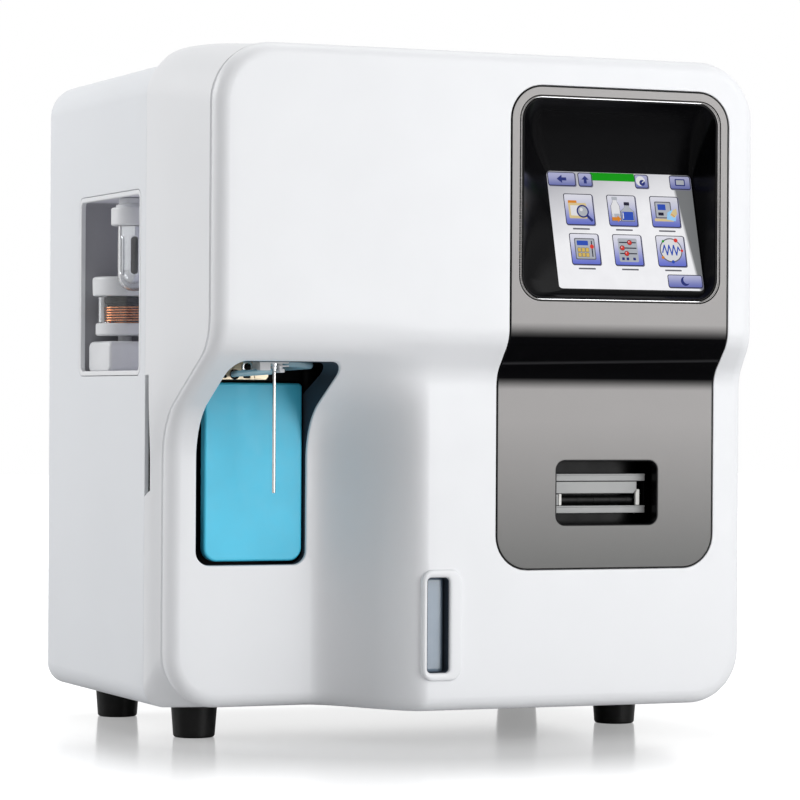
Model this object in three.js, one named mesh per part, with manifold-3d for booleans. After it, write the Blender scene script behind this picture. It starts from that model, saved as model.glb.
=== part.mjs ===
// Bench-top blood analyser with a side-hung front cover, built as separate pieces.
// Millimetres, +Z up. X runs to the right seen from the front and Y to the rear.
// The origin is on the bench under the middle of the machine.
import * as THREE from 'three';
import { mergeVertices } from 'three/addons/utils/BufferGeometryUtils.js';
import Module from 'manifold-3d';

const wasm = await Module();
wasm.setup();

// Clearances that every piece shares
const gap = 0.3;
const slip = 0.4;
const overrun = 6;
const sheet = 2;

// Whole machine
const machine = { width: 420, depth: 355, crest: 485.5 };
const shell = { wall: 3, topDrop: 9.2, cornerRadius: 24, bottom: 23, bottomRadius: 16, rearRecess: 8 };
const seam = { depth: 127.5, gap: 0.6 };
const foot = { topRadius: 16.5, bottomRadius: 14.5, sideInset: 44, frontInset: 18, rearInset: 36.5 };

// Front cover: fascia outline, its two folds and the blend between them
const fascia = { sideInset: 6.3, topDrop: 5, bottom: 24, topRadius: 42, bottomRadius: 38 };
const fasciaForm = { edge: 10, wall: 4.5, flare: 3, groove: 1.2, grooveWidth: 3.2, backWall: 3 };
const crest = { rise: 8.4, sideSwell: 0.9 };
const bayFace = { setForward: 32, lipTop: 84.5 };
const leftFold = { top: 295.4, depth: seam.depth - bayFace.setForward, angleDeg: 60.8, convex: 31, concave: 46 };
const rightFold = { top: 290, depth: 21.5, angleDeg: 41.7, convex: 21, concave: 21 };
const blend = { start: 105.7, width: 60 };
const bay = { left: 27.1, width: 82, bottom: 123.5, top: 265.5, radius: 10 };
const lip = { thickness: 2.4, depth: 9, straight: 119.5, topDepth: seam.depth - bayFace.lipTop };
const grip = { bottom: 171, height: 85, depth: 6.8, width: 12 };

// Control panel, screen and status lamp on the front cover
const panel = { left: 12.2, right: 181.8, bottom: 121.3, top: 458.5, radius: 24, thickness: 2.2 };
const pocket = { inset: 8.7, side: 2.8, top: 450.4, bottom: 310.5, radius: 16, depth: 41, rim: 1.6 };
const screen = { x: 110.2, z: 359.2, y: 18.5, width: 112, height: 84, tiltDeg: 15.4, radius: 3.5 };
const glass = { border: 2, thickness: 4 };
const board = { border: 3, thickness: 5 };
const lamp = { pastBlend: 6.1, z: 84, width: 16.4, height: 66, frameWidth: 29.5, frameHeight: 77, proud: 2.5 };
const lampForm = { radius: 3, frameShift: 2.9, frameRadius: 8, sleeve: 1.4, depth: 16, lensDepth: 9.5, lens: 3 };

// Hinges at the right edge of the front cover and the magnetic catch at the left edge
const hinge = { inset: 4, setForward: 3.7, barrel: 3.6, pin: 1.5, leaf: 2, half: 15, lowZ: 110, belowCrest: 95.5 };
const hingeLeaf = { reach: 24, foot: 14, notch: 1 };
const catchSize = { z: 130, height: 18, width: 14, inset: 2, magnet: 3, plate: 2 };

// Chassis sheet metal
const tray = { thickness: 2, rim: 12, front: 4 };
const frame = { setBack: 4, thickness: 2.5 };
const rear = { thickness: 1.5, slots: 7, slotWidth: 90, slotHeight: 4, slotPitch: 12, slotX: 110, slotZ: 60 };

// Side window with the air dryer and the pressure regulator
const niche = { front: 14, length: 137, bottom: 258, height: 127, depth: 66, wall: 2, radius: 5 };
const trap = { x: 20, y: 71, neck: 11.5, neckHeight: 7.2, cap: 17, capHeight: 13.5, bowl: 12.3, wall: 1.5 };
const trapForm = { bowlHeight: 46.7, core: 4.6, coreHeight: 34 };
const regulator = { inset: 5, front: 82, width: 56, length: 50, height: 23, edge: 5 };
const jar = { x: 26, y: 110, stem: 5, stemHeight: 4, base: 21.5, baseHeight: 9, post: 12, radius: 20 };
const jarForm = { height: 19.2, wall: 1.5, lid: 24, lidHeight: 14.2 };
const coil = { wire: 1.2, pitch: 2.2, turns: 6, radius: 15.4 };

// Sampling probe and its lift
const probeFrame = { left: 33, width: 68, back: 3, reach: 82, arm: 3, bottom: 271.5, top: 458, apron: 18 };
const probeApron = { width: 28, thickness: 2.5, drop: 18, setBack: 36 };
const rail = { radius: 3, spacing: 44, y: 39 };
const carriage = { bottom: 298, height: 16, width: 58, front: 48, back: 30, armWidth: 12, armHeight: 8 };
const lift = { stroke: 85, x: 118, y: 12, rod: 2.5, barrel: 7.5, wall: 3.4, bottom: 168, height: 112, arm: 8 };
const needle = { x: 70, y: 73.7, radius: 1.2, tip: 175, hub: 4, hubHeight: 10 };
const cup = { left: 12, right: 9, depth: 16, height: 8.5, collar: 5, collarHeight: 5 };
const hose = { radius: 2.1, leftRun: 17, rightRun: 10, bend: 6 };

// Start plate behind the probe and its switch
const plate = { left: 7.2, right: 1.8, bottomGap: 2.6, height: 125, thickness: 8, front: 28, travel: 3.5 };
const plateCorner = 9.5;
const plateGuide = { radius: 3, length: 15, low: 32, high: 92 };
const plateMount = { width: 44, height: 96, bottomLift: 14 };
const microSwitch = { width: 6, height: 20, lift: 54, plunger: 1.5, plungerLength: 3, side: 4 };

// Receipt printer behind the panel window
const slotHole = { left: 58, right: 138, bottom: 152, top: 198, radius: 7 };
const printer = { left: 54, right: 135, bottom: 146, wall: 2.5, rearGap: 10.2, height: 54, setBack: 35.7 };
const printerFace = { bottom: 160.2, top: 188.2, thickness: 13, chamfer: 5 };
const paperSlot = { left: 64, right: 122.6, bottom: 165.8, top: 174.4, depth: 8 };
const roller = { radius: 4.6, shaft: 2, length: 60, setBack: 8 };
const paper = { room: 32, core: 6.4, length: 57, behind: 6, under: 7 };
const shelf = { thickness: 2.5, flange: 26, margin: 4 };

// Fluid system, electronics, fan and rear connections
const valve = { x: 100, z: 190, flange: 24, radius: 17, stator: 9, rotor: 8, motor: 15, motorLength: 34 };
const detector = { x: 55, z: 250, width: 96, height: 110, depth: 58 };
const mixer = { x: 60, z: 300, radius: 16, height: 46, wall: 2, boss: 12, drain: 4 };
const bank = { x: 105, z: 100, width: 92, height: 22, depth: 30, count: 4, coilRadius: 8, coilHeight: 14 };
const supply = { width: 120, length: 100, height: 62, sideGap: 18, rearGap: 24 };
const pump = { width: 86, length: 72, height: 58, head: 20, headHeight: 22, sideGap: 18, rearGap: 40 };
const mainBoard = { thickness: 2, length: 150, height: 230, bottom: 130, front: 40, post: 3, standoff: 9 };
const fan = { x: 95, z: 330, size: 80, thickness: 22, bore: 36, hub: 15, blades: 7, blade: 2, pin: 3 };
const inlet = { x: 120, z: 92, width: 58, height: 46, depth: 26, flange: 5, rocker: 20, dishDeg: 9, leanDeg: 6 };
const ports = { x: 100, z: 100, width: 84, height: 30, depth: 8, count: 4, radius: 4, bore: 2, length: 3.5 };

// Numbers of sides on round and swept forms
const round = 24;
const small = 12;
const cornerSteps = 4;
const coilSteps = 8;
const coilSides = 5;
const hoseSteps = 24;

// Places worked out from the sizes above
const half = machine.width / 2;
const frontY = -machine.depth / 2;
const rearY = machine.depth / 2;
const seamY = frontY + seam.depth;
const shellTop = machine.crest - shell.topDrop;
const innerHalf = half - shell.wall;
const frameFront = seamY + frame.setBack;
const frameBack = frameFront + frame.thickness;
const rearPanelFace = rearY - shell.rearRecess;
const rearPanelInner = rearPanelFace - rear.thickness;
const trayTop = shell.bottom + tray.thickness;
const lowerY = frontY + rightFold.depth;
const bayPlaneY = frontY + leftFold.depth;

// Finishes
const finish = (color, roughness, metalness = 0) => new THREE.MeshStandardMaterial({ color, roughness, metalness });
const finishes = {
  coverWhite: finish(0xe9ebee, 0.42),
  sideWhite: finish(0xe2e4e8, 0.45),
  panelGrey: finish(0x9a9a98, 0.3, 0.55),
  gloss: finish(0x0b0b0d, 0.22),
  glass: finish(0xc9c9e2, 0.12),
  boardGreen: finish(0x2b5a3c, 0.6),
  lens: finish(0x8fa5b5, 0.25),
  steel: finish(0xb9bcc0, 0.4, 0.9),
  zinc: finish(0xc8a878, 0.38, 0.85),
  needle: finish(0xd8dadc, 0.2, 1),
  cyan: finish(0x4fc3e0, 0.5),
  rubber: finish(0x141414, 0.85),
  niche: finish(0xa4a7b2, 0.6),
  milk: finish(0xe6e7ea, 0.45),
  clear: finish(0xdfe7ea, 0.05),
  copper: finish(0xb5673a, 0.3, 0.95),
  blackPlastic: finish(0x1b1b1e, 0.6),
  darkGrey: finish(0x4a4d52, 0.55),
  printerGrey: finish(0x8d8f90, 0.5, 0.2),
  paper: finish(0xf2f1ec, 0.85),
  tube: finish(0x9fb8c4, 0.2),
  brass: finish(0xc59a4a, 0.35, 0.9),
};

// Solids

function toSolid(geometry) {
  const bare = geometry.index ? geometry.clone() : geometry;
  bare.deleteAttribute('normal');
  bare.deleteAttribute('uv');
  const merged = mergeVertices(bare, 1e-4);
  return new wasm.Manifold(new wasm.Mesh({
    numProp: 3,
    vertProperties: new Float32Array(merged.attributes.position.array),
    triVerts: new Uint32Array(merged.index.array),
  }));
}

function toGeometry(solid) {
  const mesh = solid.getMesh();
  const geometry = new THREE.BufferGeometry();
  geometry.setAttribute('position', new THREE.BufferAttribute(new Float32Array(mesh.vertProperties), 3));
  geometry.setIndex(new THREE.BufferAttribute(new Uint32Array(mesh.triVerts), 1));
  geometry.computeVertexNormals();
  return geometry;
}

const from = (start, length) => [start, start + length];
const around = (middle, size) => [middle - size / 2, middle + size / 2];

function block(x, y, z) {
  const geometry = new THREE.BoxGeometry(x[1] - x[0], y[1] - y[0], z[1] - z[0]);
  geometry.translate((x[0] + x[1]) / 2, (y[0] + y[1]) / 2, (z[0] + z[1]) / 2);
  return toSolid(geometry);
}

function roundedShape(a, b, radius) {
  const r = Math.min(radius, (a[1] - a[0]) / 2, (b[1] - b[0]) / 2);
  const shape = new THREE.Shape();
  shape.moveTo(a[0] + r, b[0]);
  shape.lineTo(a[1] - r, b[0]);
  shape.absarc(a[1] - r, b[0] + r, r, -Math.PI / 2, 0);
  shape.lineTo(a[1], b[1] - r);
  shape.absarc(a[1] - r, b[1] - r, r, 0, Math.PI / 2);
  shape.lineTo(a[0] + r, b[1]);
  shape.absarc(a[0] + r, b[1] - r, r, Math.PI / 2, Math.PI);
  shape.lineTo(a[0], b[0] + r);
  shape.absarc(a[0] + r, b[0] + r, r, Math.PI, Math.PI * 1.5);
  return shape;
}

const axisX = new THREE.Vector3(1, 0, 0);
const axisY = new THREE.Vector3(0, 1, 0);
const axisZ = new THREE.Vector3(0, 0, 1);

// A shape drawn in X and Z, thick along Y; one drawn in Y and Z, thick along X; one in X and Y, thick along Z
function slabY(shape, y, steps = cornerSteps) {
  const geometry = new THREE.ExtrudeGeometry(shape, { depth: y[1] - y[0], bevelEnabled: false, curveSegments: steps });
  geometry.applyMatrix4(new THREE.Matrix4().makeBasis(axisX, axisZ, axisY.clone().negate()));
  geometry.translate(0, y[1], 0);
  return toSolid(geometry);
}

function slabX(shape, x, steps = cornerSteps) {
  const geometry = new THREE.ExtrudeGeometry(shape, { depth: x[1] - x[0], bevelEnabled: false, curveSegments: steps });
  geometry.applyMatrix4(new THREE.Matrix4().makeBasis(axisY, axisZ, axisX));
  geometry.translate(x[0], 0, 0);
  return toSolid(geometry);
}

function slabZ(shape, z, steps = cornerSteps) {
  const geometry = new THREE.ExtrudeGeometry(shape, { depth: z[1] - z[0], bevelEnabled: false, curveSegments: steps });
  geometry.translate(0, 0, z[0]);
  return toSolid(geometry);
}

function rodX(y, z, radius, x, sides = small) {
  const geometry = new THREE.CylinderGeometry(radius, radius, x[1] - x[0], sides);
  geometry.rotateZ(-Math.PI / 2);
  geometry.translate((x[0] + x[1]) / 2, y, z);
  return toSolid(geometry);
}

function rodY(x, z, radius, y, sides = small) {
  const geometry = new THREE.CylinderGeometry(radius, radius, y[1] - y[0], sides);
  geometry.translate(0, (y[0] + y[1]) / 2, 0);
  geometry.translate(x, 0, z);
  return toSolid(geometry);
}

function rodZ(x, y, radius, z, sides = small) {
  const geometry = new THREE.CylinderGeometry(radius, radius, z[1] - z[0], sides);
  geometry.rotateX(Math.PI / 2);
  geometry.translate(x, y, (z[0] + z[1]) / 2);
  return toSolid(geometry);
}

// A turned piece: radius and height pairs from the axis out and back to it
function turned(points, x, y, sides = round) {
  const geometry = new THREE.LatheGeometry(points.map(([r, z]) => new THREE.Vector2(r, z)), sides);
  geometry.rotateX(Math.PI / 2);
  geometry.translate(x, y, 0);
  return toSolid(geometry);
}

// Folded front surface

function foldDepth(z, fold) {
  const angle = THREE.MathUtils.degToRad(fold.angleDeg);
  const drop = 1 - Math.cos(angle);
  const fit = Math.min(1, fold.depth / ((fold.convex + fold.concave) * drop));
  const convex = fold.convex * fit;
  const concave = fold.concave * fit;
  const s = fold.top - z;
  const sConvex = convex * Math.sin(angle);
  const run = (fold.depth - (convex + concave) * drop) / Math.tan(angle);
  const sEnd = sConvex + run + concave * Math.sin(angle);
  if (s <= 0) return 0;
  if (s < sConvex) return convex - Math.sqrt(convex * convex - s * s);
  if (s < sConvex + run) return convex * drop + (s - sConvex) * Math.tan(angle);
  if (s < sEnd) return fold.depth - concave + Math.sqrt(concave * concave - (sEnd - s) ** 2);
  return fold.depth;
}

// Heights where the fold bends, from its top down
function foldHeights(fold, arcSteps) {
  const angle = THREE.MathUtils.degToRad(fold.angleDeg);
  const drop = 1 - Math.cos(angle);
  const fit = Math.min(1, fold.depth / ((fold.convex + fold.concave) * drop));
  const sConvex = fold.convex * fit * Math.sin(angle);
  const run = (fold.depth - (fold.convex + fold.concave) * fit * drop) / Math.tan(angle);
  const sConcave = fold.concave * fit * Math.sin(angle);
  const heights = [];
  for (let i = 0; i <= arcSteps; i += 1) heights.push(fold.top - (sConvex * i) / arcSteps);
  for (let i = 0; i <= arcSteps; i += 1) heights.push(fold.top - sConvex - run - (sConcave * i) / arcSteps);
  return heights;
}

const fasciaHalf = half - fascia.sideInset;
const blendStart = -fasciaHalf + blend.start;

function faceY(x, z) {
  const t = THREE.MathUtils.clamp((x - blendStart) / blend.width, 0, 1);
  const share = t * t * (3 - 2 * t);
  return frontY + foldDepth(z, leftFold) * (1 - share) + foldDepth(z, rightFold) * share;
}

function outline(halfWidth, bottom, top, bottomRadius, topRadius) {
  return { half: halfWidth, bottom, top, bottomRadius, topRadius };
}

// How far inside the outline a point lies, measured square to the nearest edge
function edgeDistance(x, z, o) {
  const upper = z > (o.bottom + o.top) / 2;
  const radius = upper ? o.topRadius : o.bottomRadius;
  const up = upper ? z - (o.top - radius) : o.bottom + radius - z;
  const out = Math.abs(x) - (o.half - radius);
  if (up > 0 && out > 0) return Math.max(0, radius - Math.hypot(up, out));
  return Math.max(0, Math.min(radius - up, o.half - Math.abs(x)));
}

function outlineHeight(x, o, upper) {
  const radius = upper ? o.topRadius : o.bottomRadius;
  const out = Math.max(0, Math.abs(x) - (o.half - radius));
  const rise = radius - Math.sqrt(Math.max(0, radius * radius - out * out));
  return upper ? o.top - rise : o.bottom + rise;
}

// The point of outline s that faces a point on the edge of outline o, with its share of upward facing
function facing(x, z, o, s) {
  const side = Math.sign(x) || 1;
  const upper = z > (o.bottom + o.top) / 2;
  const radius = upper ? o.topRadius : o.bottomRadius;
  const other = upper ? s.topRadius : s.bottomRadius;
  const sign = upper ? 1 : -1;
  const edge = upper ? o.top : o.bottom;
  const otherEdge = upper ? s.top : s.bottom;
  const up = radius - sign * (edge - z);
  const out = Math.abs(x) - (o.half - radius);
  if (out >= 0 && up >= 0) {
    const angle = Math.atan2(up, out);
    return {
      x: side * (s.half - other + other * Math.cos(angle)),
      z: otherEdge - sign * other * (1 - Math.sin(angle)),
      up: sign * Math.sin(angle),
      out: side * Math.cos(angle),
    };
  }
  if (out < 0) {
    return { x: x * (s.half - other) / (o.half - radius), z: otherEdge, up: sign, out: 0 };
  }
  const share = (z - o.bottom - o.bottomRadius) / (o.top - o.topRadius - o.bottom - o.bottomRadius);
  const low = s.bottom + s.bottomRadius;
  return { x: side * s.half, z: low + share * (s.top - s.topRadius - low), up: 0, out: side };
}

const fasciaOutline = outline(fasciaHalf, fascia.bottom, machine.crest - fascia.topDrop,
  fascia.bottomRadius, fascia.topRadius);
const seamOutline = outline(half, shell.bottom, shellTop, shell.bottomRadius, shell.cornerRadius);

function shrink(o, wall) {
  return outline(o.half - wall, o.bottom + wall, o.top - wall,
    Math.max(o.bottomRadius - wall, wall), Math.max(o.topRadius - wall, wall));
}

// Shares of the way from the fascia edge back to the seam, with the swell of the housing at each
const outerBands = { shares: [0.2, 0.45, 0.7, 0.86, 0.95, 1], swellShares: [0.25, 0.68, 0.95, 1, 0.88, 0] };
const innerBands = { shares: [0.45, 0.86, 1], swellShares: [0.68, 1, 0] };
const edgeShares = [0, 0.13, 0.5, 1];
const cornerShares = [0.42, 0.7, 1];

function faceColumns(o, edge) {
  const corner = Math.max(o.topRadius, o.bottomRadius);
  const insets = [...edgeShares.map((s) => s * edge), ...cornerShares.map((s) => edge + s * (corner - edge))];
  const steps = 6;
  const inner = [];
  for (let i = 0; i <= steps; i += 1) inner.push(blendStart + (blend.width * i) / steps);
  const low = insets.map((d) => -o.half + d);
  const high = insets.map((d) => o.half - d).reverse();
  const middle = inner.filter((x) => x > low.at(-1) + edge / 2 && x < high[0] - edge / 2);
  return [...low, ...middle, ...high];
}

function faceRows(o, edge) {
  const offsets = (radius) => [...edgeShares.map((s) => s * edge),
    ...cornerShares.map((s) => edge + s * (radius - edge))];
  const bends = [...foldHeights(leftFold, 3), ...foldHeights(rightFold, 2)].sort((a, b) => a - b);
  const rows = [];
  offsets(o.bottomRadius).forEach((d) => rows.push((x) => outlineHeight(x, o, false) + d));
  const spread = bends.filter((z, i) => i === 0 || z - bends[i - 1] > edge / 4);
  spread.forEach((z) => rows.push(() => z));
  offsets(o.topRadius).reverse().forEach((d) => rows.push((x) => outlineHeight(x, o, true) - d));
  return rows;
}

// The closed form of the front cover: front grid, bands back to the seam and a flat rear
function coverForm(o, s, edge, lift, bands, groove, rearExtra) {
  const columns = faceColumns(o, edge);
  const rows = faceRows(o, edge);
  const points = [];
  const faces = [];
  const nc = columns.length;
  const flareAt = (x, z) => (x > 0 ? (fasciaForm.flare * foldDepth(z, rightFold) / rightFold.depth) * x / o.half : 0);
  rows.forEach((row) => columns.forEach((x) => {
    const z = row(x);
    const d = Math.min(edge, edgeDistance(x, z, o));
    const back = edge - Math.sqrt(edge * edge - (edge - d) ** 2);
    points.push([x + flareAt(x, z), faceY(x, z) + lift + back, z]);
  }));
  for (let k = 0; k < rows.length - 1; k += 1) {
    for (let j = 0; j < nc - 1; j += 1) {
      const a = k * nc + j;
      faces.push([a, a + 1, a + nc + 1], [a, a + nc + 1, a + nc]);
    }
  }
  const loop = [];
  for (let j = 0; j < nc; j += 1) loop.push([j, 0]);
  for (let k = 1; k < rows.length; k += 1) loop.push([nc - 1, k]);
  for (let j = nc - 2; j >= 0; j -= 1) loop.push([j, rows.length - 1]);
  for (let k = rows.length - 2; k > 0; k -= 1) loop.push([0, k]);
  let ring = loop.map(([j, k]) => k * nc + j);
  const edges = loop.map(([j, k]) => {
    const x = columns[j];
    const z = rows[k](x);
    const to = facing(x, z, o, s);
    return { x: x + flareAt(x, z), z, y: faceY(x, z) + lift + edge, to };
  });
  const addRing = (place) => {
    const next = edges.map((e) => points.push(place(e)) - 1);
    next.forEach((r1, i) => {
      const j = (i + 1) % next.length;
      faces.push([ring[i], r1, next[j]], [ring[i], next[j], ring[j]]);
    });
    ring = next;
  };
  if (groove > 0) {
    addRing((e) => [e.x - groove * e.to.out, e.y + fasciaForm.grooveWidth / 2, e.z - groove * e.to.up]);
    addRing((e) => [e.x, e.y + fasciaForm.grooveWidth, e.z]);
  }
  bands.shares.forEach((v, i) => addRing((e) => {
    const upSwell = crest.rise * Math.max(0, e.to.up) ** 1.5;
    const swell = bands.swellShares[i];
    const x = e.x + (e.to.x - e.x) * v + crest.sideSwell * swell * v * (1 - v) * 4 * e.to.out;
    const start = groove > 0 ? e.y + fasciaForm.grooveWidth : e.y;
    const end = v === 1 ? seamY + rearExtra : seamY;
    return [x, start + (end - start) * v, e.z + (e.to.z - e.z) * v + upSwell * swell];
  }));
  const centre = points.push([0, seamY + rearExtra, (o.top + o.bottom) / 2]) - 1;
  ring.forEach((p, i) => faces.push([centre, ring[(i + 1) % ring.length], p]));
  const geometry = new THREE.BufferGeometry();
  geometry.setAttribute('position', new THREE.Float32BufferAttribute(points.flat(), 3));
  geometry.setIndex(faces.flat());
  return toSolid(geometry);
}

const coverOuter = coverForm(fasciaOutline, seamOutline, fasciaForm.edge, 0, outerBands, fasciaForm.groove, 0);
const coverInner = coverForm(shrink(fasciaOutline, fasciaForm.wall), shrink(seamOutline, fasciaForm.backWall),
  Math.max(fasciaForm.edge - fasciaForm.wall, fasciaForm.wall), fasciaForm.wall, innerBands, 0, overrun);

// A sheet that follows the right-hand fold, between two depths behind the front surface
function foldSheet(x, z, front, back) {
  const bends = foldHeights(rightFold, 4).filter((h) => h > z[0] && h < z[1]).sort((a, b) => a - b);
  const heights = [z[0], ...bends, z[1]];
  const shape = new THREE.Shape();
  heights.forEach((h, i) => {
    const y = frontY + foldDepth(h, rightFold) + front;
    if (i === 0) shape.moveTo(y, h);
    else shape.lineTo(y, h);
  });
  heights.reverse().forEach((h) => shape.lineTo(frontY + foldDepth(h, rightFold) + back, h));
  return slabX(shape, x);
}

const panelX = [panel.left, panel.right];
const panelZ = [panel.bottom, panel.top];
const pocketX = [panel.left + pocket.inset, panel.right - pocket.inset + pocket.side - overrun / 2];
const pocketZ = [pocket.bottom, pocket.top];
const grow = (range, by) => [range[0] - by, range[1] + by];
const throughFront = [frontY - overrun, seamY];
const bayX = from(-half + bay.left, bay.width);
const bayZ = [bay.bottom, bay.top];
const lampMiddle = blendStart + blend.width + lamp.pastBlend;
const lampX = around(lampMiddle, lamp.width);
const lampZ = around(lamp.z, lamp.height);

// Hinge axis of the front cover
const pivot = { x: half - hinge.inset, y: seamY - hinge.setForward };
const highHinge = machine.crest - hinge.belowCrest;
const hingeHeights = [hinge.lowZ, highHinge];

function frontCover() {
  const opening = slabY(roundedShape(bayX, bayZ, bay.radius), throughFront);
  let cover = coverOuter.subtract(coverInner).add(bayLip()).subtract(opening);
  const seat = slabY(roundedShape(grow(panelX, gap), grow(panelZ, gap), panel.radius + gap), throughFront)
    .intersect(foldSheet(grow(panelX, gap), grow(panelZ, overrun), -overrun, panel.thickness + gap));
  cover = cover.subtract(seat);
  cover = cover.subtract(slabY(roundedShape(grow(pocketX, gap), grow(pocketZ, gap), pocket.radius + gap), throughFront));
  cover = cover.subtract(slabY(printerHole(gap), throughFront));
  const sleeve = lampForm.sleeve + gap;
  cover = cover.subtract(slabY(roundedShape(grow(lampX, sleeve), grow(lampZ, sleeve),
    lampForm.radius + sleeve), throughFront));
  cover = cover.subtract(block(from(-half - overrun, grip.width + overrun), [seamY - grip.depth, seamY + overrun],
    from(grip.bottom, grip.height)));
  return toGeometry(rolledEdge(cover));
}

// The lip round the probe opening, cut back along a slope towards its top
function bayLip() {
  const z = grow(bayZ, lip.thickness);
  const back = bayPlaneY + lip.depth;
  const side = new THREE.Shape();
  side.moveTo(frontY, z[0]);
  side.lineTo(back, z[0]);
  side.lineTo(back, bay.bottom + lip.straight);
  side.lineTo(frontY + lip.topDepth, z[1]);
  side.lineTo(frontY, z[1]);
  const ring = roundedShape(grow(bayX, lip.thickness), z, bay.radius + lip.thickness);
  return slabY(ring, [frontY, back]).intersect(slabX(side, grow(bayX, lip.thickness + gap))).intersect(coverOuter);
}

// The right rear edge is rolled round the hinge axis, and notched at each hinge
function rolledEdge(cover) {
  const reach = hinge.setForward - (hinge.setForward + seam.gap - gap - hinge.inset) + overrun;
  const tall = [fascia.bottom - overrun, machine.crest + overrun];
  const corner = block([pivot.x, half + overrun], [pivot.y, pivot.y + reach], tall);
  const roll = rodZ(pivot.x, pivot.y, hinge.inset, tall, round);
  let rolled = cover.subtract(corner.subtract(roll));
  hingeHeights.forEach((z) => {
    const notchX = [pivot.x - hinge.barrel - hingeLeaf.notch, half + overrun];
    const notchY = [pivot.y - hinge.barrel - hingeLeaf.notch, seamY + overrun];
    rolled = rolled.subtract(block(notchX, notchY, grow([z - hinge.half, z + hinge.half], hingeLeaf.notch)));
  });
  return rolled;
}

function printerHole(by) {
  return roundedShape(grow([slotHole.left, slotHole.right], by), grow([slotHole.bottom, slotHole.top], by),
    slotHole.radius + by);
}

function controlPanel() {
  const whole = foldSheet(panelX, panelZ, 0, panel.thickness)
    .intersect(slabY(roundedShape(panelX, panelZ, panel.radius), throughFront));
  const pocketHole = roundedShape(grow(pocketX, gap), grow(pocketZ, gap), pocket.radius + gap);
  return toGeometry(whole.subtract(slabY(pocketHole, throughFront)).subtract(slabY(printerHole(0), throughFront)));
}

// Screen pocket, screen and display board: the screen leans back about its own middle
const tilt = THREE.MathUtils.degToRad(screen.tiltDeg);
const screenCentre = new THREE.Vector3(screen.x, frontY + screen.y, screen.z);
const screenTurn = new THREE.Matrix4().makeRotationX(-tilt).setPosition(screenCentre);

function leaning(solid) {
  const geometry = toGeometry(solid);
  geometry.applyMatrix4(screenTurn);
  return toSolid(geometry);
}

// A closed funnel between the pocket mouth and the tilted screen opening
function funnel() {
  const mouthShape = roundedShape(grow(pocketX, -pocket.rim), grow(pocketZ, -pocket.rim), pocket.radius - pocket.rim);
  const mouth = mouthShape.getPoints(cornerSteps).map((p) => new THREE.Vector3(p.x, frontY, p.y));
  const frontMouth = mouth.map((p) => new THREE.Vector3(p.x, frontY - overrun, p.z));
  const floorShape = roundedShape(around(0, screen.width), around(0, screen.height), screen.radius);
  const floor = floorShape.getPoints(cornerSteps).map((p) => new THREE.Vector3(p.x, 0, p.y).applyMatrix4(screenTurn));
  const rings = [frontMouth, mouth, floor];
  const count = mouth.length - 1;
  const points = rings.flatMap((ring) => ring.slice(0, count)).flatMap((p) => [p.x, p.y, p.z]);
  const faces = [];
  for (let r = 0; r < rings.length - 1; r += 1) {
    for (let i = 0; i < count; i += 1) {
      const j = (i + 1) % count;
      faces.push(r * count + i, (r + 1) * count + i, (r + 1) * count + j);
      faces.push(r * count + i, (r + 1) * count + j, r * count + j);
    }
  }
  const last = (rings.length - 1) * count;
  for (let i = 1; i < count - 1; i += 1) {
    faces.push(0, i, i + 1);
    faces.push(last, last + i + 1, last + i);
  }
  const geometry = new THREE.BufferGeometry();
  geometry.setAttribute('position', new THREE.Float32BufferAttribute(points, 3));
  geometry.setIndex(faces);
  return toSolid(geometry);
}

function screenBezel() {
  const body = slabY(roundedShape(pocketX, pocketZ, pocket.radius), from(frontY, pocket.depth));
  const seatX = around(0, screen.width + 2 * (glass.border + gap));
  const seatZ = around(0, screen.height + 2 * (glass.border + gap));
  const seat = leaning(block(seatX, [-gap, pocket.depth * 2], seatZ));
  const window = leaning(slabY(roundedShape(around(0, screen.width), around(0, screen.height), screen.radius),
    [-glass.border, glass.border]));
  return toGeometry(body.subtract(funnel()).subtract(window).subtract(seat));
}

function touchScreen() {
  const x = around(0, screen.width + 2 * glass.border);
  const z = around(0, screen.height + 2 * glass.border);
  return toGeometry(leaning(block(x, from(0, glass.thickness), z)));
}

function displayBoard() {
  const x = around(0, screen.width + 2 * glass.border - board.border);
  const z = around(0, screen.height + 2 * glass.border - board.border);
  return toGeometry(leaning(block(x, from(glass.thickness + gap, board.thickness), z)));
}

function lampFrame() {
  const flangeY = [lowerY - lamp.proud, lowerY - gap];
  const flange = slabY(roundedShape(around(lampMiddle + lampForm.frameShift, lamp.frameWidth), around(lamp.z, lamp.frameHeight),
    lampForm.frameRadius), flangeY);
  const sleeve = slabY(roundedShape(grow(lampX, lampForm.sleeve), grow(lampZ, lampForm.sleeve),
    lampForm.radius + lampForm.sleeve), from(lowerY - lamp.proud, lampForm.depth));
  const hole = slabY(roundedShape(lampX, lampZ, lampForm.radius), throughFront);
  return toGeometry(flange.add(sleeve).subtract(hole));
}

function lampLens() {
  return toGeometry(slabY(roundedShape(grow(lampX, -gap), grow(lampZ, -gap), lampForm.radius),
    from(lowerY - lamp.proud + lampForm.lensDepth, lampForm.lens)));
}

// Hinges and catch

function hingeFixed(z) {
  const low = [z - hinge.half, z - gap / 2];
  const barrel = rodZ(pivot.x, pivot.y, hinge.barrel, low, round);
  const pin = rodZ(pivot.x, pivot.y, hinge.pin, [z - hinge.half, z + hinge.half], small);
  const leafX = from(pivot.x - hinge.barrel, hinge.leaf);
  const leaf = block(leafX, [pivot.y, frameFront - gap], low);
  const footX = [leafX[0] - hingeLeaf.foot, leafX[1]];
  const base = block(footX, [frameFront - gap - hinge.leaf, frameFront - gap], low);
  return toGeometry(barrel.add(pin).add(leaf).add(base));
}

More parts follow.
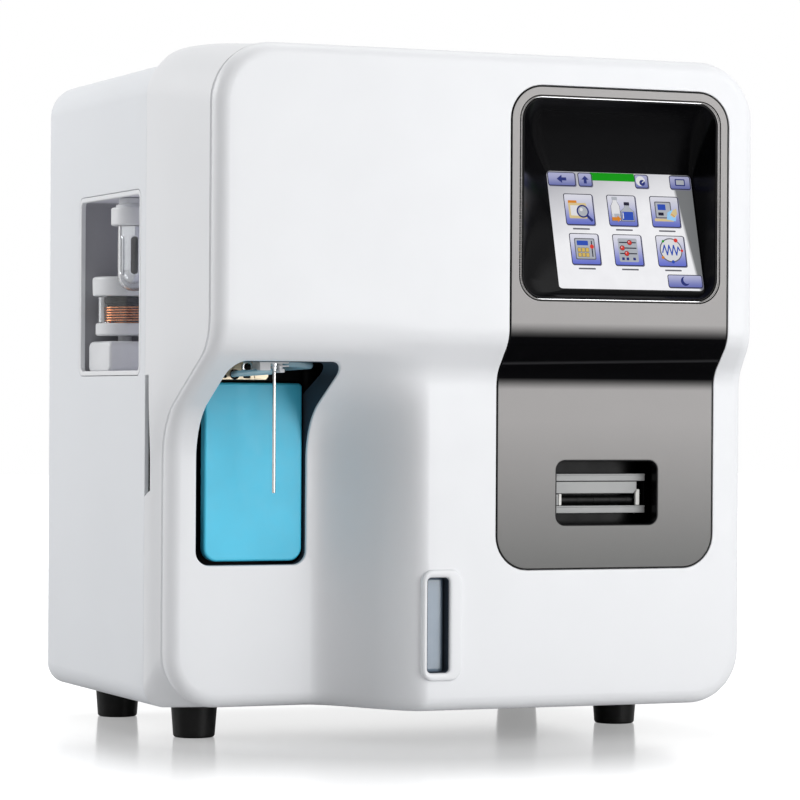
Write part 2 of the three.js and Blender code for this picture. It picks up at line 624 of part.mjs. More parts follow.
function hingeMoving(z) {
  const high = [z + gap / 2, z + hinge.half];
  const barrel = rodZ(pivot.x, pivot.y, hinge.barrel, high, round);
  const bore = rodZ(pivot.x, pivot.y, hinge.pin + gap, grow(high, overrun), small);
  const leaf = block([pivot.x - hinge.barrel, half], [pivot.y - hingeLeaf.reach, pivot.y], high);
  return toGeometry(leaf.intersect(coverInner.translate([-gap, 0, 0])).add(barrel).subtract(bore));
}

function catchPlate() {
  const x = [-half, -innerHalf + catchSize.width];
  const y = [seamY - catchSize.magnet - gap - catchSize.plate, seamY - catchSize.magnet - gap];
  const solid = block(x, y, from(catchSize.z, catchSize.height));
  return toGeometry(solid.intersect(coverInner.translate([gap, 0, 0])));
}

function catchMagnet() {
  const x = [-innerHalf + catchSize.inset, -innerHalf + catchSize.width];
  return toGeometry(block(x, [seamY - catchSize.magnet, frameFront - gap], from(catchSize.z, catchSize.height)));
}

// Covers and sheet metal of the chassis

// The bent sheet in section: up one side, over the top and down the other, with both lower edges curled in
function wrapShape() {
  const shape = new THREE.Shape();
  const top = shellTop - shell.cornerRadius;
  const low = shell.bottom + shell.bottomRadius;
  const outX = half - shell.cornerRadius;
  const lowX = half - shell.bottomRadius;
  const right = Math.PI / 2;
  shape.moveTo(lowX, shell.bottom);
  shape.absarc(lowX, low, shell.bottomRadius, -right, 0);
  shape.absarc(outX, top, shell.cornerRadius, 0, right);
  shape.absarc(-outX, top, shell.cornerRadius, right, Math.PI);
  shape.absarc(-lowX, low, shell.bottomRadius, Math.PI, right * 3);
  shape.absarc(-lowX, low, shell.bottomRadius - shell.wall, right * 3, Math.PI, true);
  shape.absarc(-outX, top, innerRadius, Math.PI, right, true);
  shape.absarc(outX, top, innerRadius, right, 0, true);
  shape.absarc(lowX, low, shell.bottomRadius - shell.wall, 0, -right, true);
  return shape;
}

// A flat sheet that fills the inside of the wrap, short of it on all sides
function insideShape(clear) {
  const top = shellTop - shell.wall - clear;
  const low = shell.bottom + shell.wall + clear;
  const side = innerHalf - clear;
  const upper = innerRadius - clear;
  const lower = shell.bottomRadius - shell.wall - clear;
  const shape = new THREE.Shape();
  shape.moveTo(-side + lower, low);
  shape.absarc(side - lower, low + lower, lower, -Math.PI / 2, 0);
  shape.absarc(side - upper, top - upper, upper, 0, Math.PI / 2);
  shape.absarc(-side + upper, top - upper, upper, Math.PI / 2, Math.PI);
  shape.absarc(-side + lower, low + lower, lower, Math.PI, Math.PI * 1.5);
  return shape;
}

const innerRadius = shell.cornerRadius - shell.wall;
const trayHalf = half - shell.bottomRadius - gap;
const nicheY = from(seamY + niche.front, niche.length);
const nicheZ = from(niche.bottom, niche.height);
const nicheX = [-half, -half + niche.depth];

function wrapCover() {
  const cover = slabY(wrapShape(), [seamY + seam.gap, rearY], cornerSteps * 2);
  const by = niche.wall + gap;
  const window = slabX(roundedShape(grow(nicheY, by), grow(nicheZ, by), niche.radius + by),
    [-half - overrun, -innerHalf + overrun]);
  return toGeometry(cover.subtract(window));
}

function windowLiner() {
  const outer = slabX(roundedShape(grow(nicheY, niche.wall), grow(nicheZ, niche.wall), niche.radius + niche.wall),
    [nicheX[0], nicheX[1] + niche.wall]);
  const inner = slabX(roundedShape(nicheY, nicheZ, niche.radius), [nicheX[0] - overrun, nicheX[1]]);
  return toGeometry(outer.subtract(inner));
}

function chassisTray() {
  const x = [-trayHalf, trayHalf];
  const y = [seamY + tray.front, rearPanelInner - gap];
  const outer = block(x, y, from(shell.bottom, tray.thickness + tray.rim));
  const inside = from(trayTop, tray.rim + overrun);
  const inner = block(grow(x, -tray.thickness), [y[0], y[1] - tray.thickness], inside);
  return toGeometry(outer.subtract(inner).subtract(block(grow(x, overrun), [y[0] - overrun, frameBack + gap], inside)));
}

function frontFrame() {
  const through = [frameFront - overrun, frameBack + overrun];
  let plateSolid = slabY(insideShape(gap * 2), [frameFront, frameBack], cornerSteps * 2)
    .add(block([-trayHalf, trayHalf], [frameFront, frameBack], from(trayTop + gap, shell.bottomRadius)));
  [[valve.x, valve.z, valve.radius], [mixer.x, mixer.z + mixer.boss, mixer.drain]].forEach(([x, z, radius]) => {
    plateSolid = plateSolid.subtract(rodY(x, z, radius / 2, through));
  });
  return toGeometry(plateSolid);
}

// Openings of the rear panel
const fanX = around(-fan.x, fan.size);
const inletX = around(inlet.x, inlet.width);
const inletZ = around(inlet.z, inlet.height);
const portsX = around(-ports.x, ports.width);

function rearPanel() {
  let holes = rodY(-fan.x, fan.z, fan.bore, [rearPanelInner - overrun, rearPanelFace + overrun], round);
  for (let i = 0; i < rear.slots; i += 1) {
    const z = from(rear.slotZ + machine.crest / 2 + i * rear.slotPitch, rear.slotHeight);
    holes = holes.add(block(around(rear.slotX, rear.slotWidth), [rearPanelInner - overrun, rearPanelFace + overrun], z));
  }
  holes = holes.add(block(grow(inletX, gap), [rearPanelInner - overrun, rearPanelFace + overrun], grow(inletZ, gap)));
  return toGeometry(slabY(insideShape(gap), [rearPanelInner, rearPanelFace], cornerSteps * 2).subtract(holes));
}

function footPiece() {
  const top = shell.bottom - gap;
  const points = [[0, 0], [foot.bottomRadius, 0], [foot.topRadius, top], [0, top]];
  return toGeometry(turned(points, 0, 0));
}

// Air dryer and regulator in the side window

const trapX = -half + trap.x;
const trapY = seamY + trap.y + niche.front;
const capBottom = nicheZ[1] - trap.neckHeight - trap.capHeight;

function trapCap() {
  const top = nicheZ[1] - gap;
  const shoulder = nicheZ[1] - trap.neckHeight;
  const points = [[0, capBottom], [trap.cap, capBottom], [trap.cap, shoulder], [trap.neck, shoulder],
    [trap.neck, top], [0, top]];
  return toGeometry(turned(points, trapX, trapY));
}

function trapBowl() {
  const top = capBottom - gap;
  const low = top - trapForm.bowlHeight;
  const dome = (r, base) => [...Array(4).keys()].map((i) => {
    const angle = (Math.PI / 2) * (i / 4);
    return [r * Math.sin(angle), base + r - r * Math.cos(angle)];
  });
  const inner = trap.bowl - trap.wall;
  const points = [...dome(trap.bowl, low), [trap.bowl, low + trap.bowl], [trap.bowl, top], [inner, top],
    [inner, low + trap.bowl], ...dome(inner, low + trap.wall).reverse()];
  return toGeometry(turned(points, trapX, trapY));
}

function trapCore() {
  const top = capBottom - gap;
  const tip = trapForm.core / 2;
  const low = top - trapForm.coreHeight;
  const points = [[0, low], [tip, low], [trapForm.core, low + tip], [trapForm.core, top - tip],
    [tip, top], [0, top]];
  return toGeometry(turned(points, trapX, trapY, small));
}

const jarX = -half + jar.x;
const jarY = seamY + niche.front + jar.y;
const blockTop = nicheZ[0] + gap + regulator.height;
const baseBottom = blockTop + gap + jar.stemHeight;
const baseTop = baseBottom + jar.baseHeight;
const jarTop = baseTop + gap + jarForm.height;

function regulatorBlock() {
  const y = from(seamY + niche.front + regulator.front, regulator.length);
  const z = from(nicheZ[0] + gap, regulator.height);
  return toGeometry(slabX(roundedShape(y, z, regulator.edge), from(-half + regulator.inset, regulator.width)));
}

function jarBase() {
  const points = [[0, blockTop + gap], [jar.stem, blockTop + gap], [jar.stem, baseBottom], [jar.base, baseBottom],
    [jar.base, baseTop], [jar.post, baseTop], [jar.post, jarTop], [0, jarTop]];
  return toGeometry(turned(points, jarX, jarY));
}

function jarWall() {
  const inner = jar.radius - jarForm.wall;
  const points = [[inner, baseTop + gap], [jar.radius, baseTop + gap], [jar.radius, jarTop], [inner, jarTop],
    [inner, baseTop + gap]];
  return toGeometry(turned(points, jarX, jarY));
}

function jarLid() {
  const low = jarTop + gap;
  const points = [[0, low], [jarForm.lid, low], [jarForm.lid, low + jarForm.lidHeight], [0, low + jarForm.lidHeight]];
  return toGeometry(turned(points, jarX, jarY));
}

// The wound element: one unbroken wire, standing on the base and ending under the lid
function woundCoil() {
  const start = baseTop + gap;
  const r = coil.wire / 2;
  const centres = [];
  const count = coil.turns * coilSteps;
  const rise = coil.pitch * coil.turns;
  const low = start + coil.wire * 2;
  centres.push(new THREE.Vector3(coil.radius, 0, start));
  centres.push(new THREE.Vector3(coil.radius, 0, start + coil.wire));
  for (let i = 1; i < count; i += 1) {
    const angle = (i / coilSteps) * Math.PI * 2;
    centres.push(new THREE.Vector3(coil.radius * Math.cos(angle), coil.radius * Math.sin(angle), low + (rise * i) / count));
  }
  centres.push(new THREE.Vector3(coil.radius, 0, low + rise + coil.wire));
  centres.push(new THREE.Vector3(coil.radius, 0, low + rise + coil.wire * 2));
  reportLeastGap(centres);
  return sweep(centres, r);
}

function reportLeastGap(centres) {
  let least = Infinity;
  centres.forEach((p, i) => centres.forEach((q, j) => {
    if (j - i > coilSteps / 2) least = Math.min(least, p.distanceTo(q));
  }));
  console.log(`wound element: least gap to itself ${(least - coil.wire).toFixed(2)} mm`);
}

function sweep(centres, r) {
  const points = [];
  const faces = [];
  centres.forEach((p, i) => {
    const before = centres[Math.max(0, i - 1)];
    const after = centres[Math.min(centres.length - 1, i + 1)];
    const ahead = after.clone().sub(before).normalize();
    const end = i < 2 || i > centres.length - 3;
    const forward = end ? axisZ.clone() : ahead;
    const outward = new THREE.Vector3(p.x, p.y, 0).normalize();
    const side = outward.clone().addScaledVector(forward, -outward.dot(forward)).normalize();
    const other = forward.clone().cross(side);
    for (let k = 0; k < coilSides; k += 1) {
      const angle = (k / coilSides) * Math.PI * 2;
      const q = p.clone().addScaledVector(side, r * Math.cos(angle)).addScaledVector(other, r * Math.sin(angle));
      points.push(q.x + jarX, q.y + jarY, q.z);
    }
  });
  for (let i = 0; i < centres.length - 1; i += 1) {
    for (let k = 0; k < coilSides; k += 1) {
      const a = i * coilSides + k;
      const b = i * coilSides + ((k + 1) % coilSides);
      faces.push(a, b, b + coilSides, a, b + coilSides, a + coilSides);
    }
  }
  const last = (centres.length - 1) * coilSides;
  for (let k = 1; k < coilSides - 1; k += 1) faces.push(0, k + 1, k, last, last + k, last + k + 1);
  const geometry = new THREE.BufferGeometry();
  geometry.setAttribute('position', new THREE.Float32BufferAttribute(points, 3));
  geometry.setIndex(faces);
  return toGeometry(toSolid(geometry));
}

// Probe, lift and rinse cup

const frameX = from(-half + probeFrame.left, probeFrame.width);
const probeX = -half + needle.x;
const probeY = frameFront - gap - needle.y;
const railY = frameFront - gap - rail.y;
const railXs = [-1, 1].map((side) => (frameX[0] + frameX[1]) / 2 + (side * rail.spacing) / 2);
const liftX = -half + lift.x;
const liftY = frameFront - gap - lift.y;

const cupTop = probeFrame.bottom - gap;
const cupZ = [cupTop - cup.height, cupTop];
const leftHoseX = probeX - cup.collar - gap;
const leftHoseZ = cupZ[0] - cup.collarHeight / 2;

function probeBracket() {
  const back = [frameFront - gap - probeFrame.back, frameFront - gap];
  const reach = [frameFront - gap - probeFrame.reach, frameFront - gap];
  const low = from(probeFrame.bottom, probeFrame.arm);
  const high = [probeFrame.top - probeFrame.arm, probeFrame.top];
  let solid = block(frameX, back, [low[0], high[1]]).add(block(frameX, reach, low));
  solid = solid.add(block(frameX, [railY - rail.radius * 3, back[1]], high));
  const apronY = from(reach[0] + probeApron.setBack, probeApron.thickness);
  solid = solid.add(block(from(frameX[0], probeApron.width), apronY, [low[0] - probeApron.drop, low[1]]));
  railXs.forEach((x) => {
    solid = solid.add(rodZ(x, railY, rail.radius, [low[0], high[1]], small));
  });
  solid = solid.subtract(rodY(leftHoseX - hose.leftRun - hose.bend, leftHoseZ, hose.radius + slip, reach));
  return toGeometry(solid.subtract(rodZ(probeX, probeY, needle.radius * 2, grow(low, overrun))));
}

const carriageZ = from(carriage.bottom, carriage.height);
const armZ = from(carriage.bottom, carriage.armHeight);

function needleCarriage() {
  const middle = (railXs[0] + railXs[1]) / 2;
  let solid = block(around(middle, carriage.width), [frameFront - gap - carriage.front, frameFront - gap - carriage.back],
    carriageZ);
  const armY = [probeY - carriage.armWidth / 2, frameFront - gap - carriage.front];
  solid = solid.add(block(around(probeX, carriage.armWidth), armY, armZ));
  const sideX = [middle, liftX + lift.rod * 2];
  const backY = [liftY - lift.arm / 2, liftY + lift.arm / 2];
  solid = solid.add(block(sideX, backY, armZ));
  const bridgeX = from(middle + carriage.width / 2 - lift.arm, lift.arm);
  solid = solid.add(block(bridgeX, [frameFront - gap - carriage.back - lift.arm, backY[1]], armZ));
  railXs.forEach((x) => {
    solid = solid.subtract(rodZ(x, railY, rail.radius + slip, grow(carriageZ, overrun), small));
  });
  solid = solid.subtract(rodZ(probeX, probeY, needle.radius + gap, grow(armZ, overrun)));
  const rod = rodZ(liftX, liftY, lift.rod, [lift.bottom + lift.wall * 2, armZ[1]], small);
  return toGeometry(solid.add(rod));
}

function liftCylinder() {
  const z = from(lift.bottom, lift.height);
  const barrel = rodZ(liftX, liftY, lift.barrel, z, round);
  const base = block(around(liftX, lift.barrel * 2), [liftY, frameFront - gap], from(lift.bottom, lift.arm));
  const bore = rodZ(liftX, liftY, lift.rod + slip, [lift.bottom + lift.wall, z[1] + overrun], small);
  return toGeometry(barrel.add(base).subtract(bore));
}

function probeNeedle() {
  const hub = armZ[1] + gap;
  const points = [[0, needle.tip], [needle.radius, needle.tip], [needle.radius, hub], [needle.hub, hub],
    [needle.hub, hub + needle.hubHeight], [0, hub + needle.hubHeight]];
  return toGeometry(turned(points, probeX, probeY, small));
}

function rinseCup() {
  const solid = block([probeX - cup.left, probeX + cup.right], around(probeY, cup.depth), cupZ);
  const collar = rodZ(probeX, probeY, cup.collar, [cupZ[0] - cup.collarHeight, cupZ[1]], round);
  const bore = rodZ(probeX, probeY, needle.radius + slip, grow(cupZ, overrun * 2));
  return toGeometry(solid.add(collar).subtract(bore));
}

// A hose that leaves the cup sideways and turns back into the machine
function rinseHose(side, startX, run) {
  const z = side < 0 ? leftHoseZ : (cupZ[0] + cupZ[1]) / 2;
  const path = new THREE.CurvePath();
  const a = new THREE.Vector3(startX, probeY, z);
  const b = new THREE.Vector3(startX + side * run, probeY, z);
  const corner = new THREE.Vector3(b.x + side * hose.bend, probeY, z);
  const c = new THREE.Vector3(corner.x, probeY + hose.bend, z);
  const d = new THREE.Vector3(corner.x, frameFront - gap, z);
  path.add(new THREE.LineCurve3(a, b));
  path.add(new THREE.QuadraticBezierCurve3(b, corner, c));
  path.add(new THREE.LineCurve3(c, d));
  const section = new THREE.Shape();
  section.absarc(0, 0, hose.radius, 0, Math.PI * 2);
  const settings = { steps: hoseSteps, extrudePath: path, curveSegments: small / 2, bevelEnabled: false };
  const geometry = new THREE.ExtrudeGeometry(section, settings);
  return toGeometry(toSolid(geometry));
}

// Start plate, its guide block and its switch

const plateX = [bayX[0] + plate.left, bayX[1] - plate.right];
const plateZ = from(bay.bottom + plate.bottomGap, plate.height);
const plateY = from(seamY - plate.front, plate.thickness);
const guideX = (bayX[0] + bayX[1]) / 2;
const guideZs = [plateZ[0] + plateGuide.low, plateZ[0] + plateGuide.high];
const mountY = [plateY[1] + plate.travel + gap, frameFront - gap];

function startPlate() {
  let solid = slabY(roundedShape(plateX, plateZ, plateCorner), plateY);
  guideZs.forEach((z) => {
    solid = solid.add(rodY(guideX, z, plateGuide.radius, [plateY[0] + plate.thickness / 2, plateY[1] + plateGuide.length]));
  });
  return toGeometry(solid);
}

function startPlateMount() {
  const z = from(plateZ[0] + plateMount.bottomLift, plateMount.height);
  let solid = block(around(guideX, plateMount.width), mountY, z);
  guideZs.forEach((gz) => {
    solid = solid.subtract(rodY(guideX, gz, plateGuide.radius + slip, [mountY[0] - overrun, frameBack]));
  });
  return toGeometry(solid);
}

function startSwitch() {
  const x = from(guideX + plateMount.width / 2 + gap, microSwitch.width);
  const z = from(plateZ[0] + microSwitch.lift, microSwitch.height);
  const body = block(x, [mountY[0] + microSwitch.plungerLength, mountY[1]], z);
  const plunger = rodY((x[0] + x[1]) / 2, (z[0] + z[1]) / 2, microSwitch.plunger, [mountY[0], mountY[1]]);
  return toGeometry(body.add(plunger));
}

// Printer

const printerX = [printer.left, printer.right];
const faceFront = frontY + printer.setBack;
const bodyFront = faceFront + printerFace.thickness + gap;
const printerLength = frameFront - gap - printer.rearGap - bodyFront;
const bodyY = from(bodyFront, printerLength);
const bodyZ = from(printer.bottom, printer.height);
const printerMiddle = (printer.left + printer.right) / 2;
const rollerY = bodyFront + printer.wall + roller.setBack;
const rollerZ = bodyZ[1] - roller.radius * 2;
const paperRadius = (printerLength - paper.room) / 2;
const paperY = bodyFront + printerLength - paperRadius - paper.behind;
const paperZ = printer.bottom + paperRadius + paper.under;

function printerBody() {
  const outer = block(printerX, bodyY, bodyZ);
  const inner = block(grow(printerX, -printer.wall), grow(bodyY, -printer.wall), [bodyZ[0] + printer.wall, bodyZ[1] + overrun]);
  const shaft = rodX(rollerY, rollerZ, roller.shaft + slip, grow(printerX, overrun));
  return toGeometry(outer.subtract(inner).subtract(shaft));
}

function printerFacePlate() {
  const z = [printerFace.bottom, printerFace.top];
  const shape = new THREE.Shape();
  const back = faceFront + printerFace.thickness;
  shape.moveTo(faceFront, z[0]);
  shape.lineTo(back, z[0]);
  shape.lineTo(back, z[1]);
  shape.lineTo(faceFront + printerFace.chamfer, z[1]);
  shape.lineTo(faceFront, z[1] - printerFace.chamfer);
  const mouth = block([paperSlot.left, paperSlot.right], [faceFront - overrun, faceFront + paperSlot.depth],
    [paperSlot.bottom, paperSlot.top]);
  return toGeometry(slabX(shape, printerX).subtract(mouth));
}

function platenRoller() {
  const barrel = rodX(rollerY, rollerZ, roller.radius, around(printerMiddle, roller.length), round);
  return toGeometry(barrel.add(rodX(rollerY, rollerZ, roller.shaft, printerX)));
}

function paperRoll() {
  const length = around(printerMiddle, paper.length);
  const roll = rodX(paperY, paperZ, paperRadius, length, round);
  return toGeometry(roll.subtract(rodX(paperY, paperZ, paper.core, grow(length, overrun), round)));
}

function paperSpindle() {
  const reach = grow(printerX, -printer.wall - gap);
  return toGeometry(rodX(paperY, paperZ, paper.core - slip, reach, round));
}

function printerShelf() {
  const top = printer.bottom - gap;
  const x = grow(printerX, shelf.margin);
  const deck = block(x, [faceFront, frameFront - gap], [top - shelf.thickness, top]);
  const flange = block(x, [frameFront - gap - shelf.thickness, frameFront - gap], [top - shelf.flange, top]);
  return toGeometry(deck.add(flange));
}

// Fluid system behind the front frame

const behind = frameBack + gap;

function valveStator() {
  const body = rodY(valve.x, valve.z, valve.radius, from(behind, valve.stator), round);
  return toGeometry(body.add(block(around(valve.x, valve.flange * 2), from(behind, valve.stator / 2),
    around(valve.z, valve.flange))));
}

function valveRotor() {
  const start = behind + valve.stator + gap;
  const disc = rodY(valve.x, valve.z, valve.radius, from(start, valve.rotor), round);
  const lug = block(around(valve.x, valve.rotor), from(start, valve.rotor), from(valve.z, valve.radius + valve.rotor / 2));
  return toGeometry(disc.add(lug));
}

function valveMotor() {
  const start = behind + valve.stator + valve.rotor + gap * 2;
  return toGeometry(rodY(valve.x, valve.z, valve.motor, from(start, valve.motorLength), round));
}

function detectorBlock() {
  const box = block(around(-detector.x, detector.width), from(behind, detector.depth), around(detector.z, detector.height));
  const bossY = from(behind + detector.depth / 2, detector.depth / 2 + sheet * 2);
  return toGeometry(box.add(rodY(-detector.x, detector.z, detector.width / 5, bossY, round)));
}

function mixingChamber() {
  const middle = behind + mixer.boss + mixer.radius;
  const base = mixer.z;
  const inner = mixer.radius - mixer.wall;
  const points = [[0, base], [mixer.drain, base], [mixer.radius, base + mixer.boss], [mixer.radius, base + mixer.height],
    [inner, base + mixer.height], [inner, base + mixer.boss], [0, base + mixer.wall * 2]];
  const cupSolid = turned(points, mixer.x, middle);
  const arm = block(around(mixer.x, mixer.boss), [behind, middle - inner], from(base + mixer.boss, mixer.boss));
  return toGeometry(cupSolid.add(arm));
}

function solenoidBank() {
  const x = around(-bank.x, bank.width);
  const y = from(behind, bank.depth);
  let solid = block(x, y, around(bank.z, bank.height));
  for (let i = 0; i < bank.count; i += 1) {
    const cx = x[0] + ((i + 0.5) * bank.width) / bank.count;
    const top = bank.z + bank.height / 2;
    solid = solid.add(rodZ(cx, (y[0] + y[1]) / 2, bank.coilRadius, [bank.z, top + bank.coilHeight], small));
  }
  return toGeometry(solid);
}

const traySeat = trayTop + gap;
const trayInside = trayHalf - tray.thickness;

function powerSupply() {
  const x = [trayInside - supply.sideGap - supply.width, trayInside - supply.sideGap];
  const y = [rearPanelInner - inlet.depth - supply.rearGap - supply.length, rearPanelInner - inlet.depth - supply.rearGap];
  return toGeometry(block(x, y, from(traySeat, supply.height)));
}

function airPump() {
  const x = from(-trayInside + pump.sideGap, pump.width);
  const y = [rearPanelInner - pump.rearGap - pump.length, rearPanelInner - pump.rearGap];
  const head = rodZ((x[0] + x[1]) / 2, (y[0] + y[1]) / 2, pump.head, [traySeat, traySeat + pump.height + pump.headHeight], round);
  return toGeometry(block(x, y, from(traySeat, pump.height)).add(head));
}

function mainBoardPiece() {
  const outer = innerHalf - gap;
  const x = [outer - mainBoard.standoff - mainBoard.thickness, outer - mainBoard.standoff];
  const y = from(frameBack + mainBoard.front, mainBoard.length);
  const z = from(mainBoard.bottom, mainBoard.height);
  let solid = block(x, y, z);
  const inset = mainBoard.post * 2;
  [y[0] + inset, y[1] - inset].forEach((py) => [z[0] + inset, z[1] - inset].forEach((pz) => {
    solid = solid.add(rodX(py, pz, mainBoard.post, [x[0], outer], small));
  }));
  return toGeometry(solid);
}

// Rear panel pieces

const fanBack = rearPanelInner - gap;
const fanY = [fanBack - fan.thickness, fanBack];

function fanFrame() {
  const frameSolid = block(fanX, fanY, around(fan.z, fan.size));
  const bore = rodY(-fan.x, fan.z, fan.bore, grow(fanY, overrun), round);
  const spokeY = from(fanY[0], fan.blade);
  const spokes = block(around(-fan.x, fan.bore * 2 + fan.blade), spokeY, around(fan.z, fan.blade * 2));
  const upright = block(around(-fan.x, fan.blade * 2), spokeY, around(fan.z, fan.bore * 2 + fan.blade));
  const pin = rodY(-fan.x, fan.z, fan.pin, [fanY[0], fanY[1] - fan.blade], small);
  return toGeometry(frameSolid.subtract(bore).add(spokes).add(upright).add(pin));
}

function fanImpeller() {
  const y = [fanY[0] + fan.blade * 2, fanY[1] - fan.blade];
  let solid = rodY(0, 0, fan.hub, y, round);
  for (let i = 0; i < fan.blades; i += 1) {
    const geometry = new THREE.BoxGeometry(fan.blade, (y[1] - y[0]) * 0.8, fan.bore - fan.blade - fan.hub / 2);
    geometry.rotateZ(Math.PI / 7);
    geometry.translate(0, 0, (fan.bore - fan.blade + fan.hub / 2) / 2);
    geometry.rotateY((i / fan.blades) * Math.PI * 2);
    geometry.translate(0, (y[0] + y[1]) / 2, 0);
    solid = solid.add(toSolid(geometry));
  }
  solid = solid.intersect(rodY(0, 0, fan.bore - fan.blade, y, round));
  const placed = toGeometry(solid.subtract(rodY(0, 0, fan.pin + slip, grow(y, overrun), small)));
  placed.translate(-fan.x, 0, fan.z);
  return placed;
}

const rockerX = [inletX[0] + inlet.flange, inletX[0] + inlet.flange + inlet.rocker];
const rockerAxis = { y: rearPanelFace - inlet.flange / 2, z: inlet.z };

function powerInlet() {
  const body = block(inletX, [rearPanelInner - inlet.depth, rearPanelFace], inletZ);
  const rim = block(grow(inletX, inlet.flange / 2), [rearPanelFace + gap, rearPanelFace + inlet.flange / 2],
    grow(inletZ, inlet.flange / 2));
  const neck = block(inletX, [rearPanelFace, rearPanelFace + inlet.flange / 2], inletZ);
  const socketX = [rockerX[1] + inlet.flange, inletX[1] - inlet.flange / 2];
  const socket = block(socketX, [rearPanelFace - inlet.depth / 2, rearPanelFace + overrun], grow(inletZ, -inlet.flange));
  const well = block(grow(rockerX, gap), [rearPanelFace - inlet.depth / 2, rearPanelFace + overrun],
    grow(inletZ, -inlet.flange));
  const socketMiddle = (socketX[0] + socketX[1]) / 2;
  let solid = body.add(rim).add(neck).subtract(socket).subtract(well);
  [-1, 0, 1].forEach((i) => {
    const pinZ = around(inlet.z + i * inlet.flange * 1.4, inlet.flange / 2);
    solid = solid.add(block(around(socketMiddle + (i === 0 ? inlet.flange / 2 : 0), inlet.flange / 4 + sheet / 2),
      [rearPanelInner - inlet.depth / 2 - sheet, rearPanelFace - inlet.flange / 2], pinZ));
  });
  return toGeometry(solid);
}

function powerRocker() {
  const tall = inlet.height / 2 - inlet.flange - slip * 2;
  const dish = Math.tan(THREE.MathUtils.degToRad(inlet.dishDeg));
  const faceY0 = rockerAxis.y + inlet.flange / 2;
  const shape = new THREE.Shape();
  shape.moveTo(rockerAxis.y - inlet.flange / 2, inlet.z - tall * 0.6);
  shape.lineTo(faceY0, inlet.z - tall * 0.9);
  shape.lineTo(faceY0 - dish * inlet.flange, inlet.z);
  shape.lineTo(faceY0, inlet.z + tall * 0.9);
  shape.lineTo(rockerAxis.y - inlet.flange / 2, inlet.z + tall * 0.6);
  const geometry = toGeometry(slabX(shape, rockerX));
  geometry.translate(0, -rockerAxis.y, -rockerAxis.z);
  geometry.rotateX(-THREE.MathUtils.degToRad(inlet.leanDeg));
  geometry.translate(0, rockerAxis.y, rockerAxis.z);
  return geometry;
}

function reagentPorts() {
  const y = [rearPanelFace + gap, rearPanelFace + gap + ports.depth / 2];
  let solid = block(portsX, y, around(ports.z, ports.height));
  for (let i = 0; i < ports.count; i += 1) {
    const cx = portsX[0] + ((i + 0.5) * ports.width) / ports.count;
    const stub = rodY(cx, ports.z, ports.radius, [y[0], y[1] + ports.length], small);
    solid = solid.add(stub).subtract(rodY(cx, ports.z, ports.bore, [y[0] + sheet / 2, y[1] + ports.length + overrun], small));
  }
  return toGeometry(solid);
}

// Assembly

const analyser = new THREE.Group();

function add(name, geometry, material, place = [0, 0, 0]) {
  const mesh = new THREE.Mesh(geometry, material);
  mesh.name = name;
  mesh.position.set(...place);
  analyser.add(mesh);
}

const feet = [['front_left', -1, -1], ['front_right', 1, -1], ['rear_left', -1, 1], ['rear_right', 1, 1]];
feet.forEach(([name, sideX, sideY]) => {
  const y = sideY < 0 ? seamY + foot.frontInset : rearY - foot.rearInset;
  add(`foot_${name}`, footPiece(), finishes.rubber, [sideX * (half - foot.sideInset), y, 0]);
});

add('base_tray', chassisTray(), finishes.steel);
add('wrap_cover', wrapCover(), finishes.sideWhite);
add('rear_panel', rearPanel(), finishes.steel);
add('front_frame', frontFrame(), finishes.steel);
add('window_liner', windowLiner(), finishes.niche);
add('trap_cap', trapCap(), finishes.milk);
add('trap_bowl', trapBowl(), finishes.clear);
add('trap_core', trapCore(), finishes.blackPlastic);
add('regulator_block', regulatorBlock(), finishes.milk);
add('filter_base', jarBase(), finishes.milk);
add('filter_jar', jarWall(), finishes.clear);
add('filter_coil', woundCoil(), finishes.copper);
add('filter_lid', jarLid(), finishes.milk);

add('front_cover', frontCover(), finishes.coverWhite);
add('control_panel', controlPanel(), finishes.panelGrey);
add('screen_bezel', screenBezel(), finishes.gloss);
add('touch_screen', touchScreen(), finishes.glass);
add('display_board', displayBoard(), finishes.boardGreen);
add('status_lamp_frame', lampFrame(), finishes.coverWhite);
add('status_lamp_lens', lampLens(), finishes.lens);
add('hinge_leaf_lower', hingeMoving(hinge.lowZ), finishes.steel);
add('hinge_leaf_upper', hingeMoving(highHinge), finishes.steel);
add('catch_plate', catchPlate(), finishes.steel);
add('hinge_pin_lower', hingeFixed(hinge.lowZ), finishes.steel);
add('hinge_pin_upper', hingeFixed(highHinge), finishes.steel);
add('catch_magnet', catchMagnet(), finishes.blackPlastic);

add('probe_bracket', probeBracket(), finishes.zinc);
add('lift_cylinder', liftCylinder(), finishes.steel);
add('needle_carriage', needleCarriage(), finishes.darkGrey);
add('needle', probeNeedle(), finishes.needle);
add('rinse_cup', rinseCup(), finishes.milk);
add('rinse_hose_left', rinseHose(-1, leftHoseX, hose.leftRun), finishes.tube);
add('rinse_hose_right', rinseHose(1, probeX + cup.right + gap, hose.rightRun), finishes.tube);
add('start_plate', startPlate(), finishes.cyan);
add('start_plate_mount', startPlateMount(), finishes.darkGrey);
add('start_switch', startSwitch(), finishes.blackPlastic);

add('printer_shelf', printerShelf(), finishes.steel);
add('printer_body', printerBody(), finishes.blackPlastic);
add('printer_faceplate', printerFacePlate(), finishes.printerGrey);
add('platen_roller', platenRoller(), finishes.rubber);
add('paper_spindle', paperSpindle(), finishes.darkGrey);
add('paper_roll', paperRoll(), finishes.paper);

